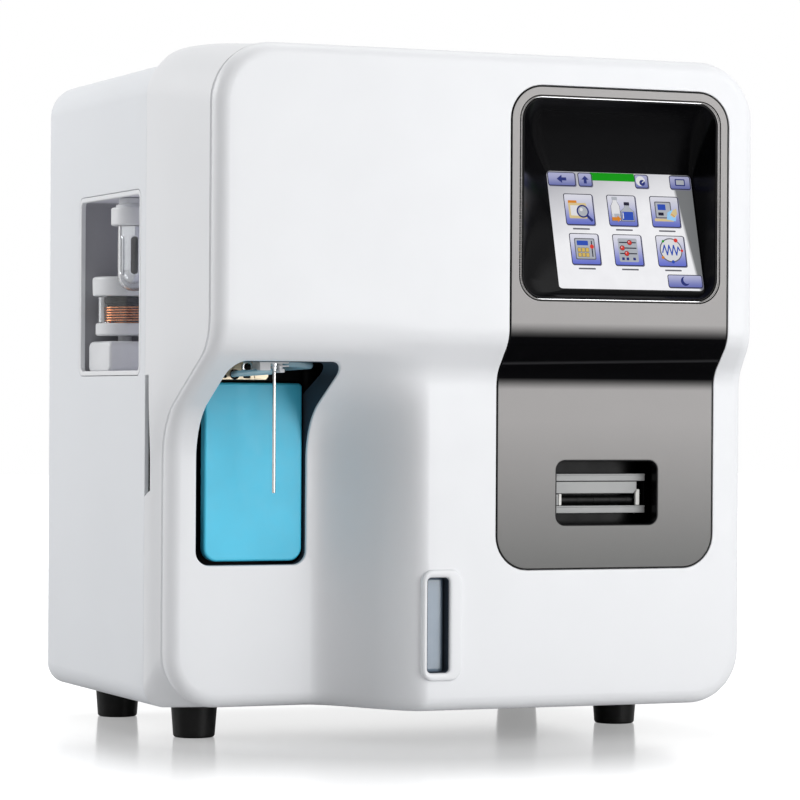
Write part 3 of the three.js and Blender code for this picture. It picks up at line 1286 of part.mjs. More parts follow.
add('valve_stator', valveStator(), finishes.milk);
add('valve_rotor', valveRotor(), finishes.brass);
add('valve_motor', valveMotor(), finishes.darkGrey);
add('detector_block', detectorBlock(), finishes.steel);
add('mixing_chamber', mixingChamber(), finishes.clear);
add('solenoid_bank', solenoidBank(), finishes.darkGrey);
add('main_board', mainBoardPiece(), finishes.boardGreen);
add('power_supply', powerSupply(), finishes.steel);
add('air_pump', airPump(), finishes.darkGrey);
add('fan_frame', fanFrame(), finishes.blackPlastic);
add('fan_impeller', fanImpeller(), finishes.blackPlastic);
add('power_inlet', powerInlet(), finishes.blackPlastic);
add('power_rocker', powerRocker(), finishes.blackPlastic);
add('reagent_ports', reagentPorts(), finishes.milk);

export default analyser;
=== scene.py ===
"""Looks of a bench-top blood analyser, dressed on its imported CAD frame.

Sizes in the classes are millimetres, in the frame's own directions: X runs to the right seen from the front,
Y to the rear and Z up. A piece is shaped in millimetres and scaled to metres when it is finished.
"""

from __future__ import annotations

import logging
import math
from dataclasses import dataclass
from enum import Enum
from typing import Callable, Iterable, Sequence

import bmesh
import bpy
from mathutils import Matrix, Vector
from mathutils.geometry import delaunay_2d_cdt

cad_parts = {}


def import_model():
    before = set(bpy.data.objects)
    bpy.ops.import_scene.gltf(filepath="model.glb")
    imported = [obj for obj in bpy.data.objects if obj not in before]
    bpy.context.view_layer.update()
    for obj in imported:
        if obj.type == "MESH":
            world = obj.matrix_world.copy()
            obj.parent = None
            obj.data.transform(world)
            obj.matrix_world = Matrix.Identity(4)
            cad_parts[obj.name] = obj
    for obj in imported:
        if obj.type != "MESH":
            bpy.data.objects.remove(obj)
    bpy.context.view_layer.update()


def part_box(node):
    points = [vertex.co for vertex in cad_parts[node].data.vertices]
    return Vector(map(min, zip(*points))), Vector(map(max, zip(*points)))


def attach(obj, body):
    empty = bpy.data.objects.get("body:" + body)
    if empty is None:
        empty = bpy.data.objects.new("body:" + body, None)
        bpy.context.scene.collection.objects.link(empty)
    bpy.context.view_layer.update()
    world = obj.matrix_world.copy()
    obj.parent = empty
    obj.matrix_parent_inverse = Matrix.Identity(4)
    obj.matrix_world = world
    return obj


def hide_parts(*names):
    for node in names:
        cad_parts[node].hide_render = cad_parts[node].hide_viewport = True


LOG = logging.getLogger("analyser")
MM = 0.001
Pair = tuple[float, float]
Colour = tuple[float, float, float]


class Axis(Enum):
    """The three directions of the frame."""

    X = 0
    Y = 1
    Z = 2


# Finishes


class Nodes:
    """Lays the nodes of one material."""

    def __init__(self, name: str) -> None:
        """Starts a material that holds a Principled shader only.

        Args:
            name: The name of the material.
        """
        self.material = bpy.data.materials.new(name)
        self.material.use_nodes = True
        self.tree = self.material.node_tree
        self.shader = self.tree.nodes["Principled BSDF"]
        self.place = self.tree.nodes.new("ShaderNodeTexCoord").outputs["Object"]

    def add(self, kind: str, **settings: object) -> bpy.types.Node:
        """Adds a node and sets its properties.

        Args:
            kind: Blender's name for the kind of node.
            settings: Its properties and their values.

        Returns:
            The node.
        """
        node = self.tree.nodes.new(kind)
        for key, value in settings.items():
            setattr(node, key, value)
        return node

    def join(self, start: bpy.types.NodeSocket, end: bpy.types.NodeSocket) -> None:
        """Links one socket to another."""
        self.tree.links.new(start, end)

    def set(self, socket: str, value: object) -> None:
        """Sets a constant on the shader's own socket."""
        self.shader.inputs[socket].default_value = value

    def feed(self, socket: str, start: bpy.types.NodeSocket) -> None:
        """Links a socket of the shader."""
        self.join(start, self.shader.inputs[socket])

    def where(self, stretch: Colour = (1.0, 1.0, 1.0), shift: Colour = (0.0, 0.0, 0.0),
              turn: Colour = (0.0, 0.0, 0.0)) -> bpy.types.NodeSocket:
        """Gives Object coordinates moved, turned and stretched.

        Args:
            stretch: Factors along X, Y and Z.
            shift: Move in metres.
            turn: Turn in radians.

        Returns:
            The output socket of a Mapping node.
        """
        node = self.add("ShaderNodeMapping")
        node.inputs["Location"].default_value = shift
        node.inputs["Rotation"].default_value = turn
        node.inputs["Scale"].default_value = stretch
        self.join(self.place, node.inputs["Vector"])
        return node.outputs["Vector"]

    def noise(self, size: float, detail: float = 2.0, stretch: Colour = (1.0, 1.0, 1.0),
              rough: float = 0.5) -> bpy.types.NodeSocket:
        """Gives a noise whose grains are about one size.

        Args:
            size: Grain size in millimetres.
            detail: Layers of finer noise.
            stretch: Factors along X, Y and Z.
            rough: Share of each finer layer.

        Returns:
            The noise's value socket.
        """
        node = self.add("ShaderNodeTexNoise")
        node.inputs["Scale"].default_value = 1.0 / (size * MM)
        node.inputs["Detail"].default_value = detail
        node.inputs["Roughness"].default_value = rough
        self.join(self.where(stretch), node.inputs["Vector"])
        return node.outputs["Fac"]

    def ramp(self, fac: bpy.types.NodeSocket, stops: Sequence[tuple[float, Colour]],
             ease: bool = False) -> bpy.types.NodeSocket:
        """Turns a value into colours.

        Args:
            fac: The value, from 0 to 1.
            stops: Places and their colours, in rising order.
            ease: True for a smooth passage between the stops.

        Returns:
            The colour socket.
        """
        node = self.add("ShaderNodeValToRGB")
        ramp = node.color_ramp
        ramp.interpolation = "EASE" if ease else "LINEAR"
        for index, (place, colour) in enumerate(stops):
            stop = ramp.elements[index] if index < 2 else ramp.elements.new(place)
            stop.position = place
            stop.color = (*colour, 1.0)
        self.join(fac, node.inputs["Fac"])
        return node.outputs["Color"]

    def blend(self, fac: bpy.types.NodeSocket, first: object, second: object,
              mode: str = "MIX") -> bpy.types.NodeSocket:
        """Mixes two colours, each a socket or a constant.

        Args:
            fac: The share of the second one, or of the blend.
            first: A colour or a socket.
            second: A colour or a socket.
            mode: The blend mode.

        Returns:
            The mixed colour.
        """
        node = self.add("ShaderNodeMix", data_type="RGBA", blend_type=mode)
        for socket, value in ((node.inputs[6], first), (node.inputs[7], second)):
            if isinstance(value, bpy.types.NodeSocket):
                self.join(value, socket)
            else:
                socket.default_value = (*value, 1.0)
        self.join(fac, node.inputs[0])
        return node.outputs[2]

    def spread(self, value: bpy.types.NodeSocket, low: float, high: float, start: float = 0.3,
               end: float = 0.7) -> bpy.types.NodeSocket:
        """Maps a value from one range to another, and keeps it inside.

        Args:
            value: The value.
            low: What the start becomes.
            high: What the end becomes.
            start: The start of its range.
            end: The end of its range.

        Returns:
            The mapped value.
        """
        node = self.add("ShaderNodeMapRange", clamp=True)
        for index, number in enumerate((start, end, low, high)):
            node.inputs[index + 1].default_value = number
        self.join(value, node.inputs[0])
        return node.outputs[0]

    def math(self, operation: str, first: bpy.types.NodeSocket, second: object = 0.5) -> bpy.types.NodeSocket:
        """Works out one value from two.

        Args:
            operation: The operation.
            first: The first value.
            second: The second value, a socket or a number.

        Returns:
            The result.
        """
        node = self.add("ShaderNodeMath", operation=operation)
        self.join(first, node.inputs[0])
        if isinstance(second, bpy.types.NodeSocket):
            self.join(second, node.inputs[1])
        else:
            node.inputs[1].default_value = second
        return node.outputs[0]

    def coordinate(self, axis: Axis) -> bpy.types.NodeSocket:
        """Gives one Object coordinate in metres.

        Args:
            axis: The axis it runs along.

        Returns:
            The value's socket.
        """
        node = self.add("ShaderNodeSeparateXYZ")
        self.join(self.place, node.inputs[0])
        return node.outputs[axis.value]

    def between(self, axis: Axis, ends: Pair, low: float = 0.0, high: float = 1.0) -> bpy.types.NodeSocket:
        """Gives a value that passes from low to high between two places on an axis, in millimetres."""
        return self.spread(self.coordinate(axis), low, high, ends[0] * MM, ends[1] * MM)

    def relief(self, height: bpy.types.NodeSocket, depth: float, strength: float = 1.0) -> None:
        """Bumps the surface, over any bump that is there.

        Args:
            height: The height pattern, from 0 to 1.
            depth: Full depth in millimetres.
            strength: Share of the bump.
        """
        node = self.add("ShaderNodeBump")
        node.inputs["Distance"].default_value = depth * MM
        node.inputs["Strength"].default_value = strength
        self.join(height, node.inputs["Height"])
        socket = self.shader.inputs["Normal"]
        if socket.is_linked:
            self.join(socket.links[0].from_socket, node.inputs["Normal"])
        self.join(node.outputs["Normal"], socket)


def shaded(colour: Colour, factor: float) -> Colour:
    """Gives a colour made lighter or darker by a factor."""
    return tuple(min(1.0, max(0.0, part * factor)) for part in colour)


@dataclass(frozen=True)
class Finish:
    """A moulded or painted surface with mottled colour, uneven gloss and fine grain."""

    name: str
    colour: Colour
    rough: float = 0.45
    metallic: float = 0.0
    tint: float = 0.02
    patch: float = 70.0
    grain: float = 0.7
    depth: float = 0.02
    coat: float = 0.0
    coat_rough: float = 0.08
    gloss: float = 0.5

    def material(self) -> bpy.types.Material:
        """Makes the material, or finds the one made before.

        Returns:
            The material of this finish.
        """
        name = "finish_" + self.name
        known = bpy.data.materials.get(name)
        if known:
            return known
        nodes = Nodes(name)
        nodes.set("Metallic", self.metallic)
        nodes.set("Coat Weight", self.coat)
        nodes.set("Coat Roughness", self.coat_rough)
        nodes.set("Specular IOR Level", self.gloss)
        self.dress(nodes)
        nodes.material.diffuse_color = (*self.colour, 1.0)
        return nodes.material

    def mottle(self, nodes: Nodes) -> bpy.types.NodeSocket:
        """Gives the colour in soft patches, a little darker and lighter."""
        dark, light = shaded(self.colour, 1 - self.tint), shaded(self.colour, 1 + self.tint)
        return nodes.ramp(nodes.noise(self.patch, 3.0), ((0.3, dark), (0.7, light)))

    def mould(self, nodes: Nodes) -> None:
        """Lays the uneven gloss and the fine grain of a moulding.

        Args:
            nodes: The nodes of the material.
        """
        smear = nodes.noise(self.patch / 4, 4.0)
        nodes.feed("Roughness", nodes.spread(smear, self.rough - 0.04, self.rough + 0.05))
        nodes.relief(nodes.noise(self.grain, 1.0), self.depth, 0.35)

    def dress(self, nodes: Nodes) -> None:
        """Lays the colour, gloss and grain of a moulded surface."""
        nodes.feed("Base Color", self.mottle(nodes))
        self.mould(nodes)


@dataclass(frozen=True)
class Brushed(Finish):
    """Rolled, drawn or ground metal with fine lines along one axis."""

    along: Axis = Axis.X
    metallic: float = 0.9
    line: float = 0.25

    def dress(self, nodes: Nodes) -> None:
        """Lays lines, smears and a faint waviness.

        Args:
            nodes: The nodes of the material.
        """
        stretch = tuple(0.02 if axis is self.along else 1.0 for axis in Axis)
        lines = nodes.noise(self.line, 3.0, stretch)
        cloud = nodes.noise(self.patch, 2.0)
        base = nodes.ramp(cloud, ((0.3, shaded(self.colour, 1 - self.tint * 2)), (0.7, self.colour)))
        streak = nodes.ramp(lines, ((0.3, (0.86, 0.86, 0.86)), (0.7, (1.0, 1.0, 1.0))))
        share = nodes.spread(cloud, 0.6, 1.0)
        nodes.feed("Base Color", nodes.blend(share, base, streak, "MULTIPLY"))
        nodes.feed("Roughness", nodes.spread(lines, self.rough - 0.06, self.rough + 0.1))
        nodes.relief(lines, self.depth * 0.4, 0.3)
        nodes.relief(nodes.noise(self.patch / 2, 1.0), 0.15, 0.2)


@dataclass(frozen=True)
class Clear(Finish):
    """Clear or milky plastic that lets light through."""

    passes: float = 1.0
    index: float = 1.47

    def dress(self, nodes: Nodes) -> None:
        """Lays a faint tint, finger smears and moulding waves.

        Args:
            nodes: The nodes of the material.
        """
        nodes.set("Transmission Weight", self.passes)
        nodes.set("IOR", self.index)
        cloud = nodes.noise(self.patch / 3, 3.0)
        nodes.feed("Base Color",
                   nodes.ramp(cloud, ((0.3, shaded(self.colour, 1 - self.tint)), (0.7, self.colour))))
        nodes.feed("Roughness", nodes.spread(cloud, self.rough * 0.6, self.rough * 1.6))
        nodes.relief(nodes.noise(9.0, 1.0), 0.05, 0.15)


@dataclass(frozen=True)
class PanelPaint(Finish):
    """Warm metallic paint whose flake shows, with painted shade that darkens it towards the bottom and a
    painted dark reflection band, crossed by a painted highlight line, down the fold.
    """

    reflection_band: Colour = (0.0015, 0.0015, 0.002)
    reflection_top: Pair = (283.5, 293.8)
    reflection_low: Pair = (247.5, 255.5)
    low: Colour = (0.118, 0.118, 0.116)
    shade_span: Pair = (125.0, 460.0)
    highlight_low: Pair = (264.0, 265.0)
    highlight_high: Pair = (265.2, 266.6)
    highlight_slope: float = -0.02

    def dress(self, nodes: Nodes) -> None:
        """Lays flake, painted shade that darkens it towards the bottom, and the painted dark reflection band
        with its soft ends and a painted highlight line.

        Args:
            nodes: The nodes of the material.
        """
        flake = nodes.noise(0.22, 2.0)
        height = nodes.coordinate(Axis.Z)
        # Painted shade: the paint grows darker towards the bottom.
        tone = nodes.ramp(nodes.between(Axis.Z, self.shade_span),
                          ((0.0, self.low), (0.30, shaded(self.colour, 0.92)), (1.0, self.colour)))
        spark = nodes.ramp(flake, ((0.35, (0.93, 0.93, 0.93)), (0.65, (1.0, 1.0, 1.0))))
        share = nodes.spread(nodes.noise(30.0, 2.0), 0.7, 1.0)
        metal = nodes.blend(share, tone, spark, "MULTIPLY")
        # Painted dark reflection down the fold, with soft ends.
        reflection_band = nodes.math("MULTIPLY", nodes.between(Axis.Z, self.reflection_top, 1.0, 0.0),
                          nodes.between(Axis.Z, self.reflection_low))
        # A painted highlight line runs across the dark reflection band.
        rise = nodes.math("ADD", height, nodes.math("MULTIPLY", nodes.coordinate(Axis.X), self.highlight_slope))
        (start, full), (last, end) = self.highlight_low, self.highlight_high
        line = nodes.math("MULTIPLY", nodes.spread(rise, 0.0, 1.0, start * MM, full * MM),
                          nodes.spread(rise, 1.0, 0.0, last * MM, end * MM))
        dark = nodes.blend(nodes.math("MULTIPLY", line, 0.6), self.reflection_band, (0.045, 0.045, 0.048))
        nodes.feed("Base Color", nodes.blend(reflection_band, metal, dark))
        nodes.feed("Metallic", nodes.spread(reflection_band, self.metallic, 0.0, 0.0, 1.0))
        nodes.feed("Roughness", nodes.spread(reflection_band, self.rough, 0.3, 0.0, 1.0))
        nodes.relief(flake, 0.01, 0.25)


@dataclass(frozen=True)
class Laminate(Finish):
    """A circuit board that faces along an axis: lacquer over thin tracks, with bright pads."""

    across: Axis = Axis.Y

    def dress(self, nodes: Nodes) -> None:
        """Lays tracks from a brick pattern and pads from cells.

        Args:
            nodes: The nodes of the material.
        """
        turn = (math.pi / 2, 0.0, 0.0) if self.across is Axis.Y else (0.0, math.pi / 2, 0.0)
        brick = nodes.add("ShaderNodeTexBrick", offset=0.37, squash=1.6)
        brick.inputs["Scale"].default_value = 120.0
        brick.inputs["Mortar Size"].default_value = 0.03
        brick.inputs["Color1"].default_value = (0.0, 0.0, 0.0, 1.0)
        brick.inputs["Color2"].default_value = (0.15, 0.15, 0.15, 1.0)
        brick.inputs["Mortar"].default_value = (1.0, 1.0, 1.0, 1.0)
        nodes.join(nodes.where(turn=turn), brick.inputs["Vector"])
        cells = nodes.add("ShaderNodeTexVoronoi")
        cells.inputs["Scale"].default_value = 190.0
        nodes.join(nodes.place, cells.inputs["Vector"])
        pads = nodes.spread(cells.outputs["Distance"], 1.0, 0.0, 0.14, 0.18)
        lacquer = nodes.blend(brick.outputs["Color"], self.colour, shaded(self.colour, 1.8))
        nodes.feed("Base Color", nodes.blend(pads, lacquer, (0.72, 0.55, 0.25)))
        nodes.feed("Metallic", pads)
        nodes.feed("Roughness", nodes.spread(nodes.noise(4.0, 2.0), 0.28, 0.42))
        nodes.relief(brick.outputs["Color"], 0.05, 0.4)


@dataclass(frozen=True)
class Lit(Finish):
    """A lit patch of the display: even colour with the fine grid of its dots and a soft shade downwards."""

    glow: float = 0.35
    gloss: float = 0.06
    deep: Colour = (0.5, 0.5, 0.7)
    low: float = 317.0
    high: float = 401.0

    def light(self, nodes: Nodes, shade: bpy.types.NodeSocket) -> None:
        """Lights the surface in a colour, under glass with faint smears and dots.

        Args:
            nodes: The nodes of the material.
            shade: The colour.
        """
        dim = nodes.spread(nodes.noise(12.0), 0.74, 0.80)
        nodes.feed("Base Color", nodes.blend(dim, shade, (0.0, 0.0, 0.0)))
        nodes.feed("Emission Color", shade)
        nodes.set("Emission Strength", self.glow)
        smear = nodes.noise(12.0, 3.0)
        nodes.feed("Roughness", nodes.spread(smear, self.rough - 0.03, self.rough + 0.04))
        nodes.relief(nodes.noise(0.3, 0.0), 0.003, 0.1)

    def dress(self, nodes: Nodes) -> None:
        """Lays the shade from top to bottom and lights it."""
        rise = nodes.between(Axis.Z, (self.low, self.high))
        self.light(nodes, nodes.ramp(rise, ((0.0, self.deep), (1.0, self.colour)), True))


@dataclass(frozen=True)
class Backdrop(Lit):
    """The background of the display: lavender at the top left, with a painted grey reflection of the pocket's
    wall down the right side.
    """

    upper: Colour = (0.26, 0.26, 0.29)
    wall_reflection: Colour = (0.15, 0.155, 0.16)
    across: Pair = (54.2, 166.2)

    def dress(self, nodes: Nodes) -> None:
        """Lays the two tones and the slanting edge of the painted reflection.

        Args:
            nodes: The nodes of the material.
        """
        x = nodes.between(Axis.X, self.across)
        z = nodes.between(Axis.Z, (self.low, self.high))
        corner = nodes.math("SUBTRACT", z, nodes.math("MULTIPLY", x, 0.5))
        wash = nodes.blend(nodes.spread(corner, 0.0, 1.0, 0.35, 1.05), self.colour, self.upper)
        # Painted reflection of the pocket's dark wall, with a slanting edge down the right side.
        reflection_edge = nodes.math("ADD", x, nodes.math("MULTIPLY", z, 0.117))
        self.light(nodes, nodes.blend(nodes.spread(reflection_edge, 0.0, 1.0, 0.972, 0.992), wash, self.wall_reflection))


@dataclass(frozen=True)
class Smoked(Finish):
    """A smoked lens over a row of lamps: paler in the middle, with painted shade down its right edge."""

    across: Pair = (-40.1, -23.7)
    dark: Colour = (0.018, 0.024, 0.032)

    def dress(self, nodes: Nodes) -> None:
        """Lays the passage of tone across the lens, with painted shade at its right edge, and its fine ribs.

        Args:
            nodes: The nodes of the material.
        """
        place = nodes.between(Axis.X, self.across)
        edge, middle = shaded(self.colour, 0.8), shaded(self.colour, 1.1)
        # Painted shade darkens the lens at its right edge.
        tone = nodes.ramp(place,
                          ((0.0, edge), (0.3, self.colour), (0.7, middle), (0.84, edge), (0.93, self.dark)))
        cloud = nodes.ramp(nodes.noise(self.patch, 2.0), ((0.3, (0.93, 0.93, 0.93)), (0.7, (1.0, 1.0, 1.0))))
        share = nodes.spread(place, 0.6, 1.0, 0.0, 1.0)
        nodes.feed("Base Color", nodes.blend(share, tone, cloud, "MULTIPLY"))
        nodes.feed("Roughness", nodes.spread(nodes.noise(8.0, 2.0), self.rough - 0.04, self.rough + 0.05))
        nodes.relief(nodes.noise(1.2, 0.0, (1.0, 1.0, 0.05)), self.depth, 0.4)


@dataclass(frozen=True)
class Niche(Finish):
    """Moulded grey with painted shade on the end wall."""

    wall: Pair = (97.5, 99.5)
    dim: float = 0.4

    def dress(self, nodes: Nodes) -> None:
        """Lays the moulded surface, with painted shade on the end wall.

        Args:
            nodes: The nodes of the material.
        """
        # Painted shade on the end wall of the recess.
        end = nodes.between(Axis.Y, self.wall)
        nodes.feed("Base Color", nodes.blend(end, self.mottle(nodes), shaded(self.colour, self.dim)))
        self.mould(nodes)


@dataclass(frozen=True)
class Wound(Finish):
    """Drawn wire with dark oxide in the grooves and a bright line where it was pulled."""

    metallic: float = 1.0

    def dress(self, nodes: Nodes) -> None:
        """Lays oxide patches and drawing lines.

        Args:
            nodes: The nodes of the material.
        """
        patches = nodes.noise(2.5, 4.0)
        dark, bright = shaded(self.colour, 0.55), shaded(self.colour, 1.25)
        nodes.feed("Base Color", nodes.ramp(patches, ((0.32, dark), (0.5, self.colour), (0.72, bright))))
        nodes.feed("Roughness", nodes.spread(patches, self.rough + 0.12, self.rough - 0.06))
        nodes.relief(nodes.noise(0.2, 2.0), 0.01, 0.3)


class Palette:
    """Every finish of the machine, by the part that wears it."""

    COVER = Finish("cover_plastic", (0.80, 0.81, 0.83), 0.40, tint=0.012, patch=120.0, grain=0.55, depth=0.03)
    SIDE = Finish("side_paint", (0.77, 0.79, 0.82), 0.46, tint=0.014, patch=150.0, grain=0.9, depth=0.05)
    PANEL = PanelPaint("panel_paint", (0.250, 0.243, 0.240), 0.46, 0.5, gloss=0.02)
    GLOSS = Finish("gloss_black", (0.0025, 0.0025, 0.003), 0.22, grain=6.0, depth=0.03, patch=40.0,
                   gloss=0.06)
    TRIM = Brushed("bright_trim", (0.72, 0.73, 0.75), 0.22, depth=0.01)
    BLACK = Finish("black_plastic", (0.006, 0.006, 0.007), 0.42, grain=0.5, depth=0.03, tint=0.08, gloss=0.1)
    RUBBER = Finish("foot_rubber", (0.006, 0.006, 0.006), 0.42, grain=0.9, depth=0.04, tint=0.15, patch=12.0,
                    gloss=0.15)
    LENS = Smoked("lamp_lens", (0.20, 0.265, 0.34), 0.22, patch=25.0, depth=0.04, coat=0.15)
    NICHE = Niche("niche_grey", (0.86, 0.86, 0.93), 0.62, patch=50.0, grain=0.8, depth=0.05, tint=0.04)
    MILK = Finish("milk_plastic", (0.72, 0.73, 0.75), 0.36, patch=18.0, grain=0.5, depth=0.02, tint=0.03)
    CLEAR = Clear("clear_plastic", (0.93, 0.95, 0.97), 0.04)
    GLASS = Clear("bowl_glass", (0.90, 0.91, 0.93), 0.05, passes=0.96)
    TUBE = Clear("hose_plastic", (0.42, 0.66, 0.78), 0.14, passes=0.4, tint=0.06)
    COPPER = Wound("copper_wire", (0.86, 0.31, 0.12), 0.22)
    CHROME = Brushed("bright_chrome", (0.86, 0.87, 0.88), 0.10, along=Axis.Z, depth=0.005, metallic=1.0)
    ZINC = Brushed("yellow_zinc", (0.78, 0.66, 0.48), 0.32, metallic=0.5, along=Axis.X, depth=0.02, tint=0.06,
                   patch=22.0)
    STEEL = Brushed("sheet_steel", (0.56, 0.57, 0.58), 0.34, along=Axis.X, depth=0.02, patch=45.0)
    REAR = Finish("rear_paint", (0.56, 0.57, 0.59), 0.5, 0.1, grain=0.8, depth=0.06, patch=60.0, tint=0.03)
    NEEDLE = Brushed("needle_steel", (0.66, 0.645, 0.63), 0.22, along=Axis.Z, depth=0.004, metallic=1.0)
    SHADE = Finish("bay_shade", (0.035, 0.045, 0.06), 0.6, gloss=0.1)
    CYAN = Finish("cyan_plastic", (0.065, 0.56, 0.80), 0.42, patch=30.0, grain=0.6, depth=0.02, tint=0.04)
    PRINTER = Finish("printer_grey", (0.33, 0.335, 0.335), 0.38, grain=0.5, depth=0.02, patch=22.0, tint=0.03)
    PAPER = Finish("paper_white", (0.84, 0.83, 0.80), 0.85, grain=0.3, depth=0.03, patch=8.0, tint=0.03)
    DARK = Finish("dark_alloy", (0.10, 0.105, 0.11), 0.42, 0.4, grain=0.4, depth=0.03, patch=25.0, tint=0.06)
    ALLOY = Brushed("milled_alloy", (0.66, 0.67, 0.69), 0.28, along=Axis.Z, depth=0.015, patch=30.0)
    BRASS = Brushed("valve_brass", (0.78, 0.58, 0.26), 0.25, along=Axis.Z, depth=0.01)
    BOARD_UPRIGHT = Laminate("board_lacquer_side", (0.02, 0.12, 0.05), 0.35, across=Axis.X)
    BOARD_FACE = Laminate("board_lacquer_face", (0.02, 0.12, 0.05), 0.35, across=Axis.Y)


def ink(name: str, colour: Colour, deep: Colour | None = None, low: float = 317.0,
        high: float = 401.0) -> Lit:
    """Gives a lit colour of the display, even or shaded between two heights."""
    return Lit("ink_" + name, colour, 0.5, glow=0.85, deep=deep or shaded(colour, 0.93), low=low, high=high)


class Ink:
    """The colours of the display."""

    BASE = Backdrop("ink_base", (0.69, 0.69, 0.71), 0.5, glow=1.0)
    EDGE = ink("edge", (0.012, 0.012, 0.03))
    SHADE = ink("shade", (0.16, 0.16, 0.24))
    BUTTON = ink("button", (0.36, 0.37, 0.55), (0.09, 0.11, 0.34), 389.0, 400.0)
    LOW_BUTTON = ink("low_button", (0.42, 0.43, 0.60), (0.12, 0.14, 0.40), 320.0, 330.5)
    TILE_HIGH = ink("tile_high", (0.62, 0.62, 0.68), (0.09, 0.12, 0.48), 361.0, 386.0)
    TILE_LOW = ink("tile_low", (0.66, 0.66, 0.72), (0.10, 0.13, 0.52), 333.5, 358.5)
    WHITE = ink("white", (0.66, 0.66, 0.68))
    GREY = ink("grey", (0.12, 0.12, 0.14))
    PALE = ink("pale", (0.38, 0.40, 0.44))
    NAVY = ink("navy", (0.02, 0.03, 0.16))
    BLUE = ink("blue", (0.025, 0.07, 0.40))
    SKY = ink("sky", (0.28, 0.55, 0.82))
    RED = ink("red", (0.62, 0.04, 0.03))
    ORANGE = ink("orange", (0.60, 0.20, 0.02))
    YELLOW = ink("yellow", (0.60, 0.42, 0.10))
    CREAM = ink("cream", (0.60, 0.48, 0.25))
    GREEN = ink("green", (0.002, 0.27, 0.003))


# Lines and shapes in a plane


@dataclass(frozen=True)
class Line:
    """A closed line in a plane, run anticlockwise, with the outward direction at each point."""

    points: tuple[Pair, ...]
    outward: tuple[Pair, ...]

    def grown(self, by: float) -> list[Pair]:
        """Gives the line moved outwards everywhere by one distance."""
        return [(p[0] + n[0] * by, p[1] + n[1] * by) for p, n in zip(self.points, self.outward)]


def rounded(across: Pair, up: Pair, radius: float, steps: int = 8, across_stops: Sequence[float] = (),
            up_stops: Sequence[float] = (), top_radius: float | None = None) -> Line:
    """Draws a rectangle with round corners.

    Args:
        across: Its span in the first direction.
        up: Its span in the second direction.
        radius: Radius of its corners.
        steps: Parts in each corner.
        across_stops: Places where the level sides get a point.
        up_stops: Places where the upright sides get a point.
        top_radius: Radius of the two upper corners, or None for the same.

    Returns:
        The line.
    """
    high = radius if top_radius is None else top_radius
    corners = ((across[1] - radius, up[0] + radius, radius, -90.0),
               (across[1] - high, up[1] - high, high, 0.0),
               (across[0] + high, up[1] - high, high, 90.0),
               (across[0] + radius, up[0] + radius, radius, 180.0))
    sides = ((1, up_stops, False), (0, across_stops, True), (1, up_stops, True), (0, across_stops, False))
    points: list[Pair] = []
    outward: list[Pair] = []
    for index, (cx, cz, bend, start) in enumerate(corners):
        for step in range(steps + 1):
            angle = math.radians(start + 90.0 * step / steps)
            outward.append((math.cos(angle), math.sin(angle)))
            points.append((cx + bend * math.cos(angle), cz + bend * math.sin(angle)))
        nx, nz, nr, nstart = corners[(index + 1) % 4]
        turn = math.radians(nstart)
        end = (nx + nr * math.cos(turn), nz + nr * math.sin(turn))
        which, stops, falling = sides[index]
        last = points[-1]
        low, top = sorted((last[which], end[which]))
        inside = sorted((s for s in stops if low + 0.4 < s < top - 0.4), reverse=falling)
        for stop in inside:
            points.append((last[0], stop) if which == 1 else (stop, last[1]))
            outward.append(outward[-1])
    return Line(tuple(points), tuple(outward))


@dataclass(frozen=True)
class Opening:
    """A rectangle with round corners that is cut in a wall."""

    across: Pair
    up: Pair
    radius: float

    def line(self, steps: int, across_stops: Sequence[float] = (), up_stops: Sequence[float] = ()) -> Line:
        """Draws its outline."""
        return rounded(self.across, self.up, self.radius, steps, across_stops, up_stops)

    def clears(self, u: float, v: float, margin: float) -> bool:
        """Tells if a point lies outside it by a margin."""
        return not (self.across[0] - margin < u < self.across[1] + margin
                    and self.up[0] - margin < v < self.up[1] + margin)


PANEL_SEAT = Opening((12.2, 181.8), (121.3, 458.5), 24.0)
POCKET_HOLE = Opening((20.9, 172.9), (310.5, 450.4), 16.0)
PRINTER_HOLE = Opening((58.0, 138.0), (152.0, 198.0), 7.0)
BAY_HOLE = Opening((-182.9, -100.9), (123.5, 265.5), 10.0)
LAMP_HOLE = Opening((-41.8, -22.0), (49.3, 118.7), 4.7)
SIDE_HOLE = Opening((-38.3, 103.3), (255.7, 387.3), 7.3)


def quarter(steps: int) -> list[Pair]:
    """Lists the sines and cosines of a quarter turn in equal steps."""
    return [(math.sin(math.pi / 2 * k / steps), math.cos(math.pi / 2 * k / steps)) for k in range(steps + 1)]


def ring(centre: Pair, radius: float, steps: int = 48) -> Line:
    """Draws a circle.

    Args:
        centre: Its middle.
        radius: Its radius.
        steps: Number of points.

    Returns:
        The line.
    """
    angles = [2 * math.pi * k / steps for k in range(steps)]
    outward = tuple((math.cos(a), math.sin(a)) for a in angles)
    return Line(tuple((centre[0] + radius * u, centre[1] + radius * v) for u, v in outward), outward)


def stops(spans: Sequence[tuple[float, float, float]]) -> list[float]:
    """Lists places along spans.

    Args:
        spans: Start, end and pitch of each span.

    Returns:
        The places in rising order.
    """
    places: set[float] = set()
    for start, end, pitch in spans:
        count = max(1, round((end - start) / pitch))
        places.update(round(start + (end - start) * k / count, 4) for k in range(count + 1))
    return sorted(places)


def lift(axis: Axis, u: float, v: float, level: float) -> Vector:
    """Places a point of a plane: X takes (y, z), Y takes (x, z) and Z takes (x, y).

    Args:
        axis: The axis that stands on the plane.
        u: The first coordinate in the plane.
        v: The second coordinate in the plane.
        level: The place along the axis.

    Returns:
        The point in space.
    """
    if axis is Axis.X:
        return Vector((level, u, v))
    if axis is Axis.Y:
        return Vector((u, level, v))
    return Vector((u, v, level))


